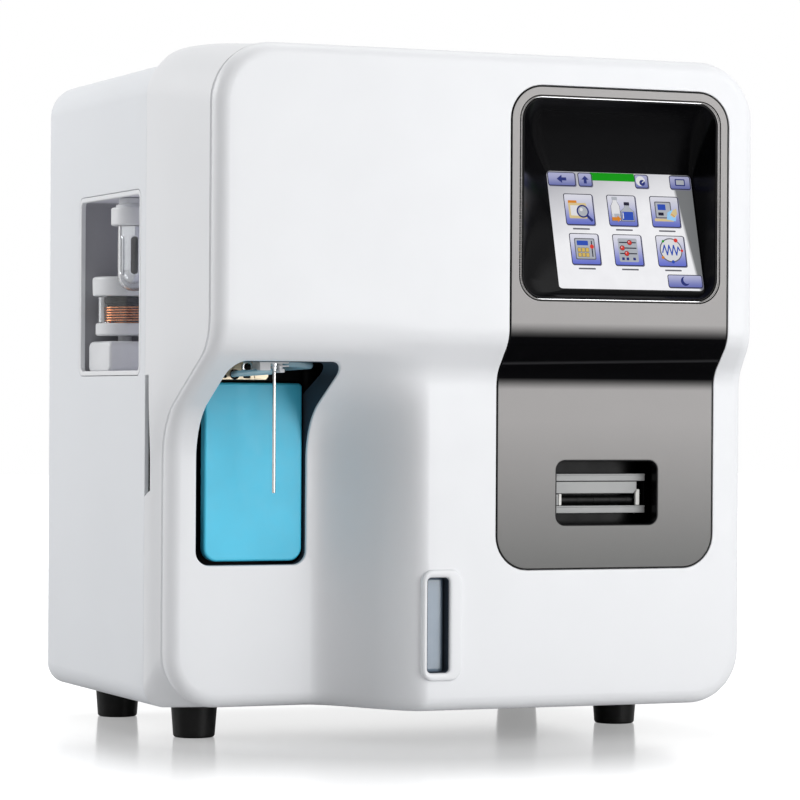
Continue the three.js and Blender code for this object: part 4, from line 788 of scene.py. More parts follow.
def along(axis: Axis) -> Matrix:
    """Turns a shape made along Z so that it lies along an axis.

    Args:
        axis: The axis.

    Returns:
        The turn.
    """
    if axis is Axis.X:
        return Matrix.Rotation(math.pi / 2, 4, "Y")
    if axis is Axis.Y:
        return Matrix.Rotation(-math.pi / 2, 4, "X")
    return Matrix.Identity(4)


def once(groups: Iterable[Iterable]) -> list:
    """Lists what several groups hold, each thing once and in a settled order."""
    return list(dict.fromkeys(item for group in groups for item in group))


# Shaping


class Work:
    """A piece under way, held as a bmesh in millimetres."""

    def __init__(self) -> None:
        """Starts an empty piece."""
        self.bm = bmesh.new()

    def _fresh(self, known: set) -> list:
        """Lists the vertices made since a set of them was taken."""
        return [v for v in self.bm.verts if v not in known]

    def _bevel(self, edges: list, offset: float, segments: int) -> None:
        """Rounds edges."""
        bmesh.ops.bevel(self.bm, geom=edges, offset=offset, offset_type="OFFSET", segments=segments,
                        profile=0.5, affect="EDGES", material=-1, clamp_overlap=True)

    def box(self, x: Pair, y: Pair, z: Pair, fillet: float = 0.0, segments: int = 2) -> Work:
        """Adds a block.

        Args:
            x: Its span along X.
            y: Its span along Y.
            z: Its span along Z.
            fillet: Radius of all its edges.
            segments: Parts in each fillet.

        Returns:
            The piece.
        """
        known = set(self.bm.verts)
        size = Vector((x[1] - x[0], y[1] - y[0], z[1] - z[0], 1.0))
        middle = Vector(((x[0] + x[1]) / 2, (y[0] + y[1]) / 2, (z[0] + z[1]) / 2))
        bmesh.ops.create_cube(self.bm, size=1.0, matrix=Matrix.Translation(middle) @ Matrix.Diagonal(size))
        if fillet > 0:
            self._bevel(once(v.link_edges for v in self._fresh(known)), fillet, segments)
        return self

    def plate(self, x: Pair, y: Pair, z: Pair, axis: Axis, corner: float, fillet: float = 0.0,
              corner_steps: int = 6, fillet_steps: int = 3) -> Work:
        """Adds a block that is rounded on its edges along an axis and filleted round both rims.

        Args:
            x: Its span along X.
            y: Its span along Y.
            z: Its span along Z.
            axis: The direction of its thickness.
            corner: Radius of its corners.
            fillet: Radius of its rims.
            corner_steps: Parts in each corner.
            fillet_steps: Parts in each fillet.

        Returns:
            The piece.
        """
        known = set(self.bm.verts)
        self.box(x, y, z)
        others = [k for k in range(3) if k != axis.value]
        edges = once(v.link_edges for v in self._fresh(known))
        upright = [e for e in edges if all(abs(e.verts[0].co[k] - e.verts[1].co[k]) < 1e-6 for k in others)]
        self._bevel(upright, corner, corner_steps)
        if fillet > 0:
            self.bm.normal_update()
            faces = once(v.link_faces for v in self._fresh(known))
            self._bevel(once(f.edges for f in faces if abs(f.normal[axis.value]) > 0.999), fillet,
                        fillet_steps)
        return self

    def rod(self, axis: Axis, centre: Pair, radius: float, span: Pair, fillet: float = 0.0, sides: int = 32,
            end_radius: float | None = None) -> Work:
        """Adds a round bar or a cone.

        Args:
            axis: Its direction.
            centre: Its place across that direction.
            radius: Radius at its start.
            span: Its ends along the axis.
            fillet: Radius of its rims.
            sides: Number of sides.
            end_radius: Radius at its end, or None for the same.

        Returns:
            The piece.
        """
        known = set(self.bm.verts)
        place = Matrix.Translation(lift(axis, centre[0], centre[1], (span[0] + span[1]) / 2)) @ along(axis)
        bmesh.ops.create_cone(self.bm, cap_ends=True, segments=sides, radius1=radius,
                              radius2=radius if end_radius is None else end_radius,
                              depth=span[1] - span[0], matrix=place)
        if fillet > 0:
            faces = once(v.link_faces for v in self._fresh(known))
            self._bevel(once(f.edges for f in faces if len(f.verts) > 4), fillet, 2)
        return self

    def turned(self, profile: Sequence[Pair], axis: Axis, centre: Pair, steps: int = 48) -> Work:
        """Adds a turned form.

        Args:
            profile: Radius and height pairs, from the axis out and back to it, or a closed line.
            axis: The axis of turning.
            centre: Its place across that axis.
            steps: Parts round the axis.

        Returns:
            The piece.
        """
        known = set(self.bm.verts)
        verts = [self.bm.verts.new((r, 0.0, h)) for r, h in profile]
        edges = [self.bm.edges.new(pair) for pair in zip(verts, verts[1:])]
        if profile[0][0] > 1e-6 and profile[0] != profile[-1]:
            edges.append(self.bm.edges.new((verts[-1], verts[0])))
        bmesh.ops.spin(self.bm, geom=verts + edges, cent=(0, 0, 0), axis=(0, 0, 1), dvec=(0, 0, 0),
                       angle=2 * math.pi, steps=steps, use_merge=True, use_duplicate=False)
        fresh = self._fresh(known)
        bmesh.ops.remove_doubles(self.bm, verts=fresh, dist=1e-4)
        fresh = self._fresh(known)
        place = Matrix.Translation(lift(axis, centre[0], centre[1], 0.0)) @ along(axis)
        bmesh.ops.transform(self.bm, matrix=place, verts=fresh)
        return self

    def sweep(self, path: Sequence[Vector], radius: float, sides: int = 12) -> Work:
        """Adds a tube with closed ends that follows a path.

        Args:
            path: Points of the path.
            radius: Radius of the tube.
            sides: Number of sides.

        Returns:
            The piece.
        """
        count = len(path)
        ahead = [(path[min(i + 1, count - 1)] - path[max(i - 1, 0)]).normalized() for i in range(count)]
        turn = Vector((0, 0, 1)).rotation_difference(ahead[0]).to_matrix().to_4x4()
        frame = Matrix.Translation(path[0]) @ turn
        made = bmesh.ops.create_circle(self.bm, cap_ends=False, radius=radius, segments=sides, matrix=frame)
        verts = made["verts"]
        edges = once(v.link_edges for v in verts)
        ends = [edges]
        for index in range(1, count):
            turn = ahead[index - 1].rotation_difference(ahead[index]).to_matrix().to_4x4() @ turn
            goal = Matrix.Translation(path[index]) @ turn
            made = bmesh.ops.extrude_edge_only(self.bm, edges=edges)["geom"]
            verts = [g for g in made if isinstance(g, bmesh.types.BMVert)]
            known = set(verts)
            edges = [g for g in made
                     if isinstance(g, bmesh.types.BMEdge) and all(v in known for v in g.verts)]
            bmesh.ops.transform(self.bm, matrix=goal @ frame.inverted(), verts=verts)
            frame = goal
        ends.append(edges)
        for edge_ring in ends:
            bmesh.ops.contextual_create(self.bm, geom=edge_ring)
        return self

    def pierced(self, axis: Axis, span: Pair, outer: Sequence[Pair], holes: Sequence[Sequence[Pair]] = (),
                fillet: float = 0.0) -> Work:
        """Adds a plate of any outline with holes.

        Args:
            axis: The direction of its thickness.
            span: Its two faces along the axis.
            outer: Its outline.
            holes: The outlines of its holes.
            fillet: Radius of its rims.

        Returns:
            The piece.
        """
        known = set(self.bm.verts)
        edges = []
        for outline in (outer, *holes):
            verts = [self.bm.verts.new(lift(axis, u, v, span[0])) for u, v in outline]
            edges += [self.bm.edges.new((a, b)) for a, b in zip(verts, verts[1:] + verts[:1])]
        normal = lift(axis, 0.0, 0.0, 1.0)
        made = bmesh.ops.triangle_fill(self.bm, use_beauty=True, use_dissolve=False, edges=edges,
                                       normal=normal)
        faces = [g for g in made["geom"] if isinstance(g, bmesh.types.BMFace)]
        grown = bmesh.ops.extrude_face_region(self.bm, geom=faces, use_keep_orig=True)["geom"]
        moved = [g for g in grown if isinstance(g, bmesh.types.BMVert)]
        bmesh.ops.translate(self.bm, vec=normal * (span[1] - span[0]), verts=moved)
        if fillet > 0:
            self.bm.normal_update()
            fresh = set(self._fresh(known))
            rims = [e for e in self.bm.edges if e.verts[0] in fresh and len(e.link_faces) == 2
                    and len([f for f in e.link_faces if abs(f.normal[axis.value]) > 0.9]) == 1]
            self._bevel(rims, fillet, 2)
        return self

    def loft(self, rings: Sequence[Sequence[Vector]], closed: bool = True, skip: set | None = None,
             ends: bool = False) -> Work:
        """Adds a skin through rings with equal counts.

        Args:
            rings: The rings, from the first to the last.
            closed: True if each ring closes on itself.
            skip: Pairs of ring and point index whose face is left out.
            ends: True if the first and the last ring are closed by a face.

        Returns:
            The piece.
        """
        rows = [[self.bm.verts.new(p) for p in line] for line in rings]
        count = len(rings[0])
        for r in range(len(rows) - 1):
            for i in range(count if closed else count - 1):
                if skip and (r, i) in skip:
                    continue
                j = (i + 1) % count
                corners = (rows[r][i], rows[r][j], rows[r + 1][j], rows[r + 1][i])
                self.bm.faces.new(corners)
        if ends:
            self.bm.faces.new(rows[0])
            self.bm.faces.new(rows[-1])
        return self

    def skin(self, outer: Sequence[Pair], holes: Sequence[Sequence[Pair]], inside: Sequence[Pair],
             place: Callable[[float, float], Vector]) -> Work:
        """Adds a skin over part of a plane, lifted to its surface.

        Args:
            outer: Its outline in the plane.
            holes: The outlines of its holes.
            inside: More points of the skin.
            place: Gives the place in space of a point of the plane.

        Returns:
            The piece.
        """
        flat = [Vector(p) for p in outer]
        links = [(i, (i + 1) % len(outer)) for i in range(len(outer))]
        hole_of: dict[int, int] = {}
        for number, hole in enumerate(holes):
            base = len(flat)
            flat += [Vector(p) for p in hole]
            links += [(base + i, base + (i + 1) % len(hole)) for i in range(len(hole))]
            hole_of |= {base + i: number for i in range(len(hole))}
        flat += [Vector(p) for p in inside]
        points, _, faces, origins, *_ = delaunay_2d_cdt(flat, links, [], 1, 1e-5)
        verts = [self.bm.verts.new(place(p[0], p[1])) for p in points]
        owner = [hole_of.get(origin[0], -1) if origin else -1 for origin in origins]
        for face in faces:
            owners = {owner[k] for k in face}
            if len(owners) > 1 or -1 in owners:
                self.bm.faces.new([verts[k] for k in face])
        return self

    def copied(self, node: str, edge: float = 0.0) -> Work:
        """Adds a merged copy of a CAD node with its sharp edges softened.

        Args:
            node: The name of the node.
            edge: Radius of its edges.

        Returns:
            The piece.
        """
        bm = self.bm
        bm.from_mesh(bpy.data.objects[node].data)
        bmesh.ops.scale(bm, vec=(1 / MM, 1 / MM, 1 / MM), verts=bm.verts)
        bmesh.ops.remove_doubles(bm, verts=bm.verts, dist=0.002)
        bmesh.ops.dissolve_limit(bm, angle_limit=math.radians(0.5), verts=bm.verts, edges=bm.edges)
        if edge > 0:
            sharp = [e for e in bm.edges
                     if len(e.link_faces) == 2 and e.calc_face_angle(0.0) > math.radians(40.0)]
            self._bevel(sharp, edge, 2)
        return self

    def hoop(self, axis: Axis, centre: Pair, radius: float, level: float, wire: float,
             steps: int = 40) -> Work:
        """Adds a wire ring.

        Args:
            axis: The axis of the ring.
            centre: Its place across that axis.
            radius: Radius of the ring.
            level: Its place along the axis.
            wire: Radius of the wire.
            steps: Parts round the ring.

        Returns:
            The piece.
        """
        return self.turned(ring((radius, level), wire, 8).points, axis, centre, steps)

    def move(self, matrix: Matrix) -> Work:
        """Moves the whole piece."""
        bmesh.ops.transform(self.bm, matrix=matrix, verts=self.bm.verts)
        return self

    def take(self, other: Work) -> None:
        """Adds all of another piece under way to this one.

        Args:
            other: The other piece, which is used up.
        """
        mesh = bpy.data.meshes.new("part")
        other.bm.to_mesh(mesh)
        other.bm.free()
        self.bm.from_mesh(mesh)
        bpy.data.meshes.remove(mesh)

    def close(self, distance: float = 0.002) -> Work:
        """Merges doubles and turns the faces outwards.

        Args:
            distance: How close two vertices are to be one.

        Returns:
            The piece.
        """
        bmesh.ops.remove_doubles(self.bm, verts=self.bm.verts, dist=distance)
        bmesh.ops.recalc_face_normals(self.bm, faces=self.bm.faces)
        return self

    def done(self, name: str, body: str, finish: Finish, slot: str, stands_for: Sequence[str] = (),
             sharp: float = 35.0, weighted: bool = True) -> bpy.types.Object:
        """Finishes the piece as an object of the scene.

        Args:
            name: Its name.
            body: The CAD body it rides on.
            finish: Its finish.
            slot: The record's slot for its finish; not used.
            stands_for: The CAD nodes it replaces.
            sharp: The angle in degrees from which an edge stays sharp.
            weighted: True if large faces keep their flat look next to fillets.

        Returns:
            The object.
        """
        self.close()
        bmesh.ops.scale(self.bm, vec=(MM, MM, MM), verts=self.bm.verts)
        mesh = bpy.data.meshes.new(name)
        self.bm.to_mesh(mesh)
        self.bm.free()
        mesh.shade_smooth()
        mesh.set_sharp_from_angle(angle=math.radians(sharp))
        mesh.materials.append(finish.material())
        piece = bpy.data.objects.new(name, mesh)
        bpy.context.scene.collection.objects.link(piece)
        if weighted:
            modifier = piece.modifiers.new("weighted", "WEIGHTED_NORMAL")
            modifier.keep_sharp = True
        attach(piece, body)
        if stands_for:
            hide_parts(*stands_for)
        LOG.info("%s: %d faces", name, len(mesh.polygons))
        return piece


def span(node: str, axis: Axis) -> Pair:
    """Gives a CAD node's span along an axis in millimetres."""
    low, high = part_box(node)
    return low[axis.value] / MM, high[axis.value] / MM


def inset(pair: Pair, by: float) -> Pair:
    """Gives a span made shorter at both ends."""
    return pair[0] + by, pair[1] - by


def level(axis: Axis, line: Line, by: float, at: float) -> list[Vector]:
    """Gives a line grown by a distance and lifted to one level."""
    return [lift(axis, u, v, at) for u, v in line.grown(by)]


def bent(corners: Sequence[Colour], radius: float, steps: int = 6) -> list[Vector]:
    """Gives a path through corners that are rounded off.

    Args:
        corners: The ends and the corners of the path.
        radius: How far from a corner its rounding starts.
        steps: Parts in each rounding.

    Returns:
        The points of the path.
    """
    points = [Vector(c) for c in corners]
    path = [points[0]]
    for before, corner, after in zip(points, points[1:], points[2:]):
        start = corner + (before - corner).normalized() * radius
        end = corner + (after - corner).normalized() * radius
        for k in range(steps + 1):
            share = k / steps
            path.append(start.lerp(corner, share).lerp(corner.lerp(end, share), share))
    path.append(points[-1])
    return path


def pan_screw(work: Work, axis: Axis, centre: Pair, face: float, radius: float, toward: float) -> None:
    """Adds a domed screw head with a cross recess on a face.

    Args:
        work: The piece it is added to.
        axis: The direction of the screw.
        centre: Its place across that direction.
        face: The level of the face it sits on.
        radius: Radius of the head.
        toward: 1 if the head stands out towards the rising axis, else -1.
    """
    height = radius * 0.62
    profile = [(0.0, 0.0), (radius, 0.0), (radius, height * 0.35), (radius * 0.86, height * 0.75),
               (radius * 0.55, height), (radius * 0.42, height), (radius * 0.16, height * 0.45),
               (0.0, height * 0.4)]
    work.turned([(r, face + toward * h) for r, h in profile], axis, centre, 20)


# Studio


@dataclass
class Studio:
    """Camera, lights and floor."""

    lens: float = 156.83
    eye: Colour = (-0.99264, -2.36668, 0.23964)
    heading: float = -22.85
    roll: float = 0.34
    ambient: float = 0.33
    key: float = 43.0
    fill: float = 12.0
    side: float = 34.0
    top: float = 15.0
    floor_glow: float = 0.30

    def camera(self) -> None:
        """Places the camera where the photograph was taken from."""
        data = bpy.data.cameras.new("camera")
        data.lens = self.lens
        data.sensor_width = 36.0
        data.clip_end = 50.0
        camera = bpy.data.objects.new("camera", data)
        bpy.context.scene.collection.objects.link(camera)
        turn = Matrix.Rotation(math.radians(self.heading), 4, "Z") @ Matrix.Rotation(math.pi / 2, 4, "X")
        roll = Matrix.Rotation(math.radians(self.roll), 4, "Z")
        camera.matrix_world = Matrix.Translation(self.eye) @ turn @ roll
        bpy.context.scene.camera = camera

    def lamp(self, name: str, place: Colour, aim: Colour, size: Pair, power: float,
             colour: Colour = (1.0, 1.0, 1.0)) -> None:
        """Adds a soft rectangular light.

        Args:
            name: Its name.
            place: Its place in metres.
            aim: The point it faces.
            size: Width and height in metres.
            power: Power in watts.
            colour: Its colour.
        """
        data = bpy.data.lights.new(name, "AREA")
        data.shape = "RECTANGLE"
        data.size, data.size_y = size
        data.energy = power
        data.color = colour
        light = bpy.data.objects.new(name, data)
        bpy.context.scene.collection.objects.link(light)
        light.location = place
        light.rotation_euler = (Vector(aim) - Vector(place)).to_track_quat("-Z", "Y").to_euler()

    @staticmethod
    def seen(tree: bpy.types.NodeTree, lighting: float, shown: float,
             mirrored: float = 0.0) -> bpy.types.Node:
        """Gives a node with one strength for what the studio is lit by and another for how it shows.

        Args:
            tree: The node tree it is added to.
            lighting: Strength as a source of light.
            shown: Strength seen directly.
            mirrored: How far a reflection takes the strength seen directly.

        Returns:
            The node, whose result is the strength.
        """
        path = tree.nodes.new("ShaderNodeLightPath")
        mirror = tree.nodes.new("ShaderNodeMath")
        mirror.operation = "MULTIPLY"
        mirror.inputs[1].default_value = mirrored
        tree.links.new(path.outputs["Is Glossy Ray"], mirror.inputs[0])
        either = tree.nodes.new("ShaderNodeMath")
        either.operation = "MAXIMUM"
        tree.links.new(path.outputs["Is Camera Ray"], either.inputs[0])
        tree.links.new(mirror.outputs[0], either.inputs[1])
        share = tree.nodes.new("ShaderNodeMapRange")
        share.inputs["To Min"].default_value = lighting
        share.inputs["To Max"].default_value = shown
        tree.links.new(either.outputs[0], share.inputs["Value"])
        return share

    def floor(self) -> None:
        """Lays a pale, faintly glossy floor whose glow, seen by the camera, is lower near the machine:
        painted shade round it.
        """
        work = bmesh.new()
        bmesh.ops.create_grid(work, x_segments=2, y_segments=2, size=8.0)
        mesh = bpy.data.meshes.new("floor")
        work.to_mesh(mesh)
        work.free()
        nodes = Nodes("floor_paint")
        cloud = nodes.noise(900.0, 2.0)
        nodes.feed("Base Color", nodes.ramp(cloud, ((0.3, (0.59, 0.59, 0.595)), (0.7, (0.61, 0.61, 0.615)))))
        nodes.feed("Roughness", nodes.spread(cloud, 0.12, 0.15))
        nodes.set("IOR", 1.9)
        nodes.set("Emission Color", (1.0, 1.0, 1.0, 1.0))
        reach = nodes.add("ShaderNodeVectorMath", operation="LENGTH")
        nodes.join(nodes.place, reach.inputs[0])
        strength = self.seen(nodes.tree, 0.0, self.floor_glow)
        # The camera-seen glow rises from floor_glow near the machine to 0.75 farther out: painted shade on
        # the floor round the machine.
        nodes.join(nodes.spread(reach.outputs["Value"], self.floor_glow, 0.75, 0.24, 0.52),
                   strength.inputs["To Max"])
        nodes.feed("Emission Strength", strength.outputs["Result"])
        mesh.materials.append(nodes.material)
        piece = bpy.data.objects.new("floor", mesh)
        bpy.context.scene.collection.objects.link(piece)

    def lights(self) -> None:
        """Sets a white studio, seen white by the camera and dimmer as a source of light."""
        bpy.context.scene.view_settings.view_transform = "Standard"
        world = bpy.data.worlds.new("studio")
        world.use_nodes = True
        tree = world.node_tree
        back = tree.nodes["Background"]
        back.inputs["Color"].default_value = (1.0, 1.0, 1.0, 1.0)
        tree.links.new(self.seen(tree, self.ambient, 1.0, 0.9).outputs["Result"], back.inputs["Strength"])
        bpy.context.scene.world = world
        self.lamp("key", (1.4, -2.25, 1.3), (0.0, 0.0, 0.25), (2.4, 1.8), self.key)
        self.lamp("fill", (1.1, -2.3, 0.16), (-0.05, 0.0, 0.2), (1.2, 0.5), self.fill)
        self.lamp("side", (-2.3, 1.2, 1.3), (-0.2, 0.05, 0.3), (1.2, 1.2), self.side)
        self.lamp("top", (0.1, 0.3, 2.4), (0.0, 0.0, 0.3), (1.8, 1.6), self.top)


# Front cover


@dataclass(frozen=True)
class Fold:
    """One fold of the fascia: where it starts, how deep it goes and how it bends."""

    top: float
    depth: float
    angle: float
    convex: float
    concave: float

    def back(self, z: float) -> float:
        """Gives how far the surface lies behind the front at a height.

        Args:
            z: The height.

        Returns:
            The distance behind the front.
        """
        angle = math.radians(self.angle)
        drop = 1 - math.cos(angle)
        fit = min(1.0, self.depth / ((self.convex + self.concave) * drop))
        convex, concave = self.convex * fit, self.concave * fit
        fall = self.top - z
        first = convex * math.sin(angle)
        run = (self.depth - (convex + concave) * drop) / math.tan(angle)
        end = first + run + concave * math.sin(angle)
        if fall <= 0:
            return 0.0
        if fall < first:
            return convex - math.sqrt(convex * convex - fall * fall)
        if fall < first + run:
            return convex * drop + (fall - first) * math.tan(angle)
        if fall < end:
            return self.depth - concave + math.sqrt(max(0.0, concave * concave - (end - fall) ** 2))
        return self.depth


@dataclass(frozen=True)
class Front:
    """The folded front surface and its outline, shared by the pieces that follow it."""

    y: float = -177.5
    seam: float = -50.0
    half: float = 203.7
    bottom: float = 24.0
    top: float = 480.5
    low_radius: float = 38.0
    top_radius: float = 42.0
    left: Fold = Fold(295.4, 95.5, 60.8, 31.0, 46.0)
    right: Fold = Fold(290.0, 21.5, 41.7, 21.0, 21.0)
    blend_start: float = -98.0
    blend_width: float = 60.0
    edge: float = 10.0
    flare: float = 3.0

    def face(self, x: float, z: float) -> float:
        """Gives the Y of the front surface at a point.

        Args:
            x: Its place across the front.
            z: Its height.

        Returns:
            The Y of the surface there.
        """
        t = min(1.0, max(0.0, (x - self.blend_start) / self.blend_width))
        share = t * t * (3 - 2 * t)
        return self.y + self.left.back(z) * (1 - share) + self.right.back(z) * share

    def laid(self, points: Sequence[Pair], sink: float = 0.0) -> list[Vector]:
        """Lays points on the front surface, or behind it by a distance."""
        return [Vector((x, self.face(x, z) + sink, z)) for x, z in points]

    def laid_wide(self, points: Sequence[Pair], sink: float) -> list[Vector]:
        """Lays points behind the front surface, with the flare of the right side."""
        return [Vector((self.wide(x, z), self.face(x, z) + sink, z)) for x, z in points]

    def wide(self, x: float, z: float) -> float:
        """Gives X with the flare of the right side below the fold.

        Args:
            x: Its place across the front.
            z: Its height.

        Returns:
            X with the flare added.
        """
        if x <= 0:
            return x
        return x + self.flare * self.right.back(z) / self.right.depth * x / self.half


FRONT = Front()
FOLD_STOPS = stops(((188.0, 300.0, 2.5),))
PANEL_ACROSS = stops(((0.0, 200.0, 12.0),))
PANEL_UP = [*stops(((120.0, 188.0, 12.0), (300.0, 458.0, 12.0))), *FOLD_STOPS]


@dataclass
class FrontCover:
    """The deep moulded cover that swings on the right-hand hinges."""

    wall: float = 4.5
    rear_wall: float = 3.0
    groove: float = 1.7
    groove_width: float = 4.2
    rise: float = 8.4
    side_swell: float = 0.9
    seam_half: float = 210.0
    seam_bottom: float = 23.0
    seam_top: float = 476.3
    seam_low_radius: float = 16.0
    seam_top_radius: float = 24.0
    hinge: Pair = (206.0, -53.7)
    roll: float = 4.0
    notch_y: float = -58.3
    notches: tuple[Pair, ...] = ((94.0, 126.0), (374.0, 406.0))
    grip: Pair = (171.0, 256.0)
    lip: float = 2.4
    lip_back: float = -73.0
    lip_bend: float = 243.0
    lip_top: Pair = (267.9, -134.5)
    seat: float = 2.5
    gap: float = 0.3
    swell_peak: float = 0.86

    def opposite(self, z: float) -> float:
        """Gives the height on the fascia's outline that faces a height on the seam's straight side.

        Args:
            z: The height on the seam.

        Returns:
            The height on the fascia's outline.
        """
        low, end = self.seam_bottom + self.seam_low_radius, self.seam_top - self.seam_top_radius
        start = FRONT.bottom + FRONT.low_radius
        return start + (z - low) / (end - low) * (FRONT.top - FRONT.top_radius - start)

    def outline(self) -> Line:
        """Draws the fascia's outline with points wherever the surface bends or an edge is notched.

        Returns:
            The outline.
        """
        up = [*stops(((40.0, 188.0, 10.0), (300.0, 476.0, 11.0))), *FOLD_STOPS]
        up += [self.opposite(z) for pair in (*self.notches, self.grip) for z in pair]
        across = [*stops(((-200.0, -98.0, 8.0), (-38.0, 200.0, 12.0), (-98.0, -38.0, 3.0)))]
        return rounded((-FRONT.half, FRONT.half), (FRONT.bottom, FRONT.top), FRONT.low_radius, 16, across,
                       sorted(set(up)), FRONT.top_radius)

    def seam_point(self, point: Pair, out: Pair) -> Pair:
        """Gives the point of the seam's outline that faces a point of the fascia's outline.

        Args:
            point: The point on the fascia's outline.
            out: Its outward direction.

        Returns:
            The point on the seam's outline.
        """
        x, z = point
        upper = z > (FRONT.bottom + FRONT.top) / 2
        radius = FRONT.top_radius if upper else FRONT.low_radius
        other = self.seam_top_radius if upper else self.seam_low_radius
        edge = self.seam_top if upper else self.seam_bottom
        sign = 1.0 if upper else -1.0
        if abs(out[0]) > 1e-6 and abs(out[1]) > 1e-6:
            side = math.copysign(1.0, x)
            return side * (self.seam_half - other) + other * out[0], edge - sign * other + other * out[1]
        if abs(out[1]) > 0.5:
            return x * (self.seam_half - other) / (FRONT.half - radius), edge
        low = FRONT.bottom + FRONT.low_radius
        share = (z - low) / (FRONT.top - FRONT.top_radius - low)
        start = self.seam_bottom + self.seam_low_radius
        end = self.seam_top - self.seam_top_radius
        return math.copysign(self.seam_half, x), start + share * (end - start)

    def swell(self, v: float) -> float:
        """Gives the share of the housing's swell at a share of the way back.

        Args:
            v: The share of the way back.

        Returns:
            The share of the swell, from 0 to 1.
        """
        if v <= self.swell_peak:
            return math.sin(min(1.0, v / self.swell_peak) * math.pi / 2) ** 1.35
        return math.sqrt(max(0.0, 1 - ((v - self.swell_peak) / (1 - self.swell_peak)) ** 3))

    def band_rings(self, line: Line, depth: Callable[[float], float], first: float) -> list[list[Vector]]:
        """Makes the rings of the housing from the fascia to the seam.

        Args:
            line: The fascia's outline.
            depth: Gives how far inside the outer surface a ring lies, by its share of the way back.
            first: How far behind the fascia's edge the first ring lies.

        Returns:
            The rings.
        """
        shares = (0.0, 0.06, 0.14, 0.24, 0.36, 0.5, 0.64, 0.76, 0.86, 0.94, 1.0)
        levels = (-56.8, -55.2, -53.7, -52.7, -51.8, -51.0, -50.4, FRONT.seam)
        rows: list[list[Vector]] = [[] for _ in range(len(shares) + len(levels))]
        for (x, z), out in zip(line.points, line.outward):
            start = FRONT.face(x, z) + FRONT.edge + first
            goal = self.seam_point((x, z), out)
            ys = [start + (self.notch_y - start) * w for w in shares] + list(levels)
            for row, y in zip(rows, ys):
                v = (y - start) / (FRONT.seam - start)
                swell = self.swell(v)
                wx, inner = FRONT.wide(x, z), depth(v)
                px = wx + (goal[0] - wx) * v + self.side_swell * swell * v * (1 - v) * 4 * out[0]
                pz = z + (goal[1] - z) * v + self.rise * max(0.0, out[1]) ** 1.5 * swell
                row.append(self.rolled(Vector((px - inner * out[0], y, pz - inner * out[1]))))
        return rows

    def rolled(self, point: Vector) -> Vector:
        """Pulls a point at the right rear edge in to the roll round the hinge axis.

        Args:
            point: The point.

        Returns:
            The point, moved if it lies at that edge.
        """
        dx, dy = point.x - self.hinge[0], point.y - self.hinge[1]
        reach = math.hypot(dx, dy)
        if dx > 0 and dy > 0 and reach > self.roll:
            return Vector((self.hinge[0] + dx * self.roll / reach, self.hinge[1] + dy * self.roll / reach,
                           point.z))
        return point

    def notched(self, line: Line) -> list[tuple[int, list[int]]]:
        """Finds the notches of the rear edge.

        Args:
            line: The fascia's outline.

        Returns:
            For each notch the ring from which it is open and the indices of its points.
        """
        zones = [(1.0, pair, 10) for pair in self.notches] + [(-1.0, self.grip, 11)]
        found = []
        for side, (low, high), first in zones:
            start, end = self.opposite(low) - 0.01, self.opposite(high) + 0.01
            found.append((first, [i for i, ((_, z), out) in enumerate(zip(line.points, line.outward))
                                  if out[0] * side > 0.99 and start <= z <= end]))
        return found

    @staticmethod
    def fillet(line: Line, radius: float, steps: int = 4, start: float = 0.0) -> list[list[Vector]]:
        """Makes the rings of a rounded edge that turns back from the front surface into a hole.

        Args:
            line: The hole's outline.
            radius: Radius of the edge.
            steps: Parts of the edge.
            start: How far outside the hole's outline the edge ends.

        Returns:
            The rings, from the surface into the hole.
        """
        return [FRONT.laid(line.grown(start + radius * (1 - out)), radius * (1 - ahead))
                for out, ahead in quarter(steps)]

    def grid(self, clear: Callable[[float, float], bool]) -> list[Pair]:
        """Lists points inside the fascia, close together where it bends.

        Args:
            clear: Tells if a point lies clear of the edges and openings.

        Returns:
            The points.
        """
        xs = stops(((-196.0, -98.0, 7.0), (-98.0, -38.0, 3.0), (-38.0, 196.0, 9.0)))
        zs = stops(((30.0, 188.0, 9.0), (188.0, 300.0, 2.5), (300.0, 474.0, 9.0)))
        return [(x, z) for z in zs for x in xs if clear(x, z)]

    def within(self, x: float, z: float, inset_by: float) -> bool:
        """Tells if a point lies inside the fascia's outline by a distance.

        Args:
            x: Its place across the front.
            z: Its height.
            inset_by: The distance.

        Returns:
            True if it lies inside.
        """
        upper = z > (FRONT.bottom + FRONT.top) / 2
        radius = FRONT.top_radius if upper else FRONT.low_radius
        up = z - (FRONT.top - radius) if upper else FRONT.bottom + radius - z
        out = abs(x) - (FRONT.half - radius)
        if up > 0 and out > 0:
            return math.hypot(up, out) < radius - inset_by
        return up < radius - inset_by and out < radius - inset_by

    def build(self) -> None:
        """Builds the cover: outer skin, panel seat, openings, inner skin and housing."""
        line = self.outline()
        panel = PANEL_SEAT.line(10, PANEL_ACROSS, PANEL_UP)
        bay = BAY_HOLE.line(10, stops(((-190.0, -98.0, 8.0),)),
                            [*stops(((120.0, 188.0, 10.0),)), *FOLD_STOPS])
        lamp = LAMP_HOLE.line(6, stops(((-42.0, -20.0, 3.0),)))
        pocket = POCKET_HOLE.line(10)
        printer = PRINTER_HOLE.line(8)
        work = Work()
        self.front_skin(work, line, panel, bay, lamp)
        self.seat_skin(work, panel, pocket, printer)
        self.inner_skin(work, line, bay, lamp, pocket, printer)
        self.housing(work, line)
        cover = work.done("cover_moulding", "front_door", Palette.COVER, "cover_white", ("front_cover",),
                          32.0)
        cover.modifiers["weighted"].weight = 60

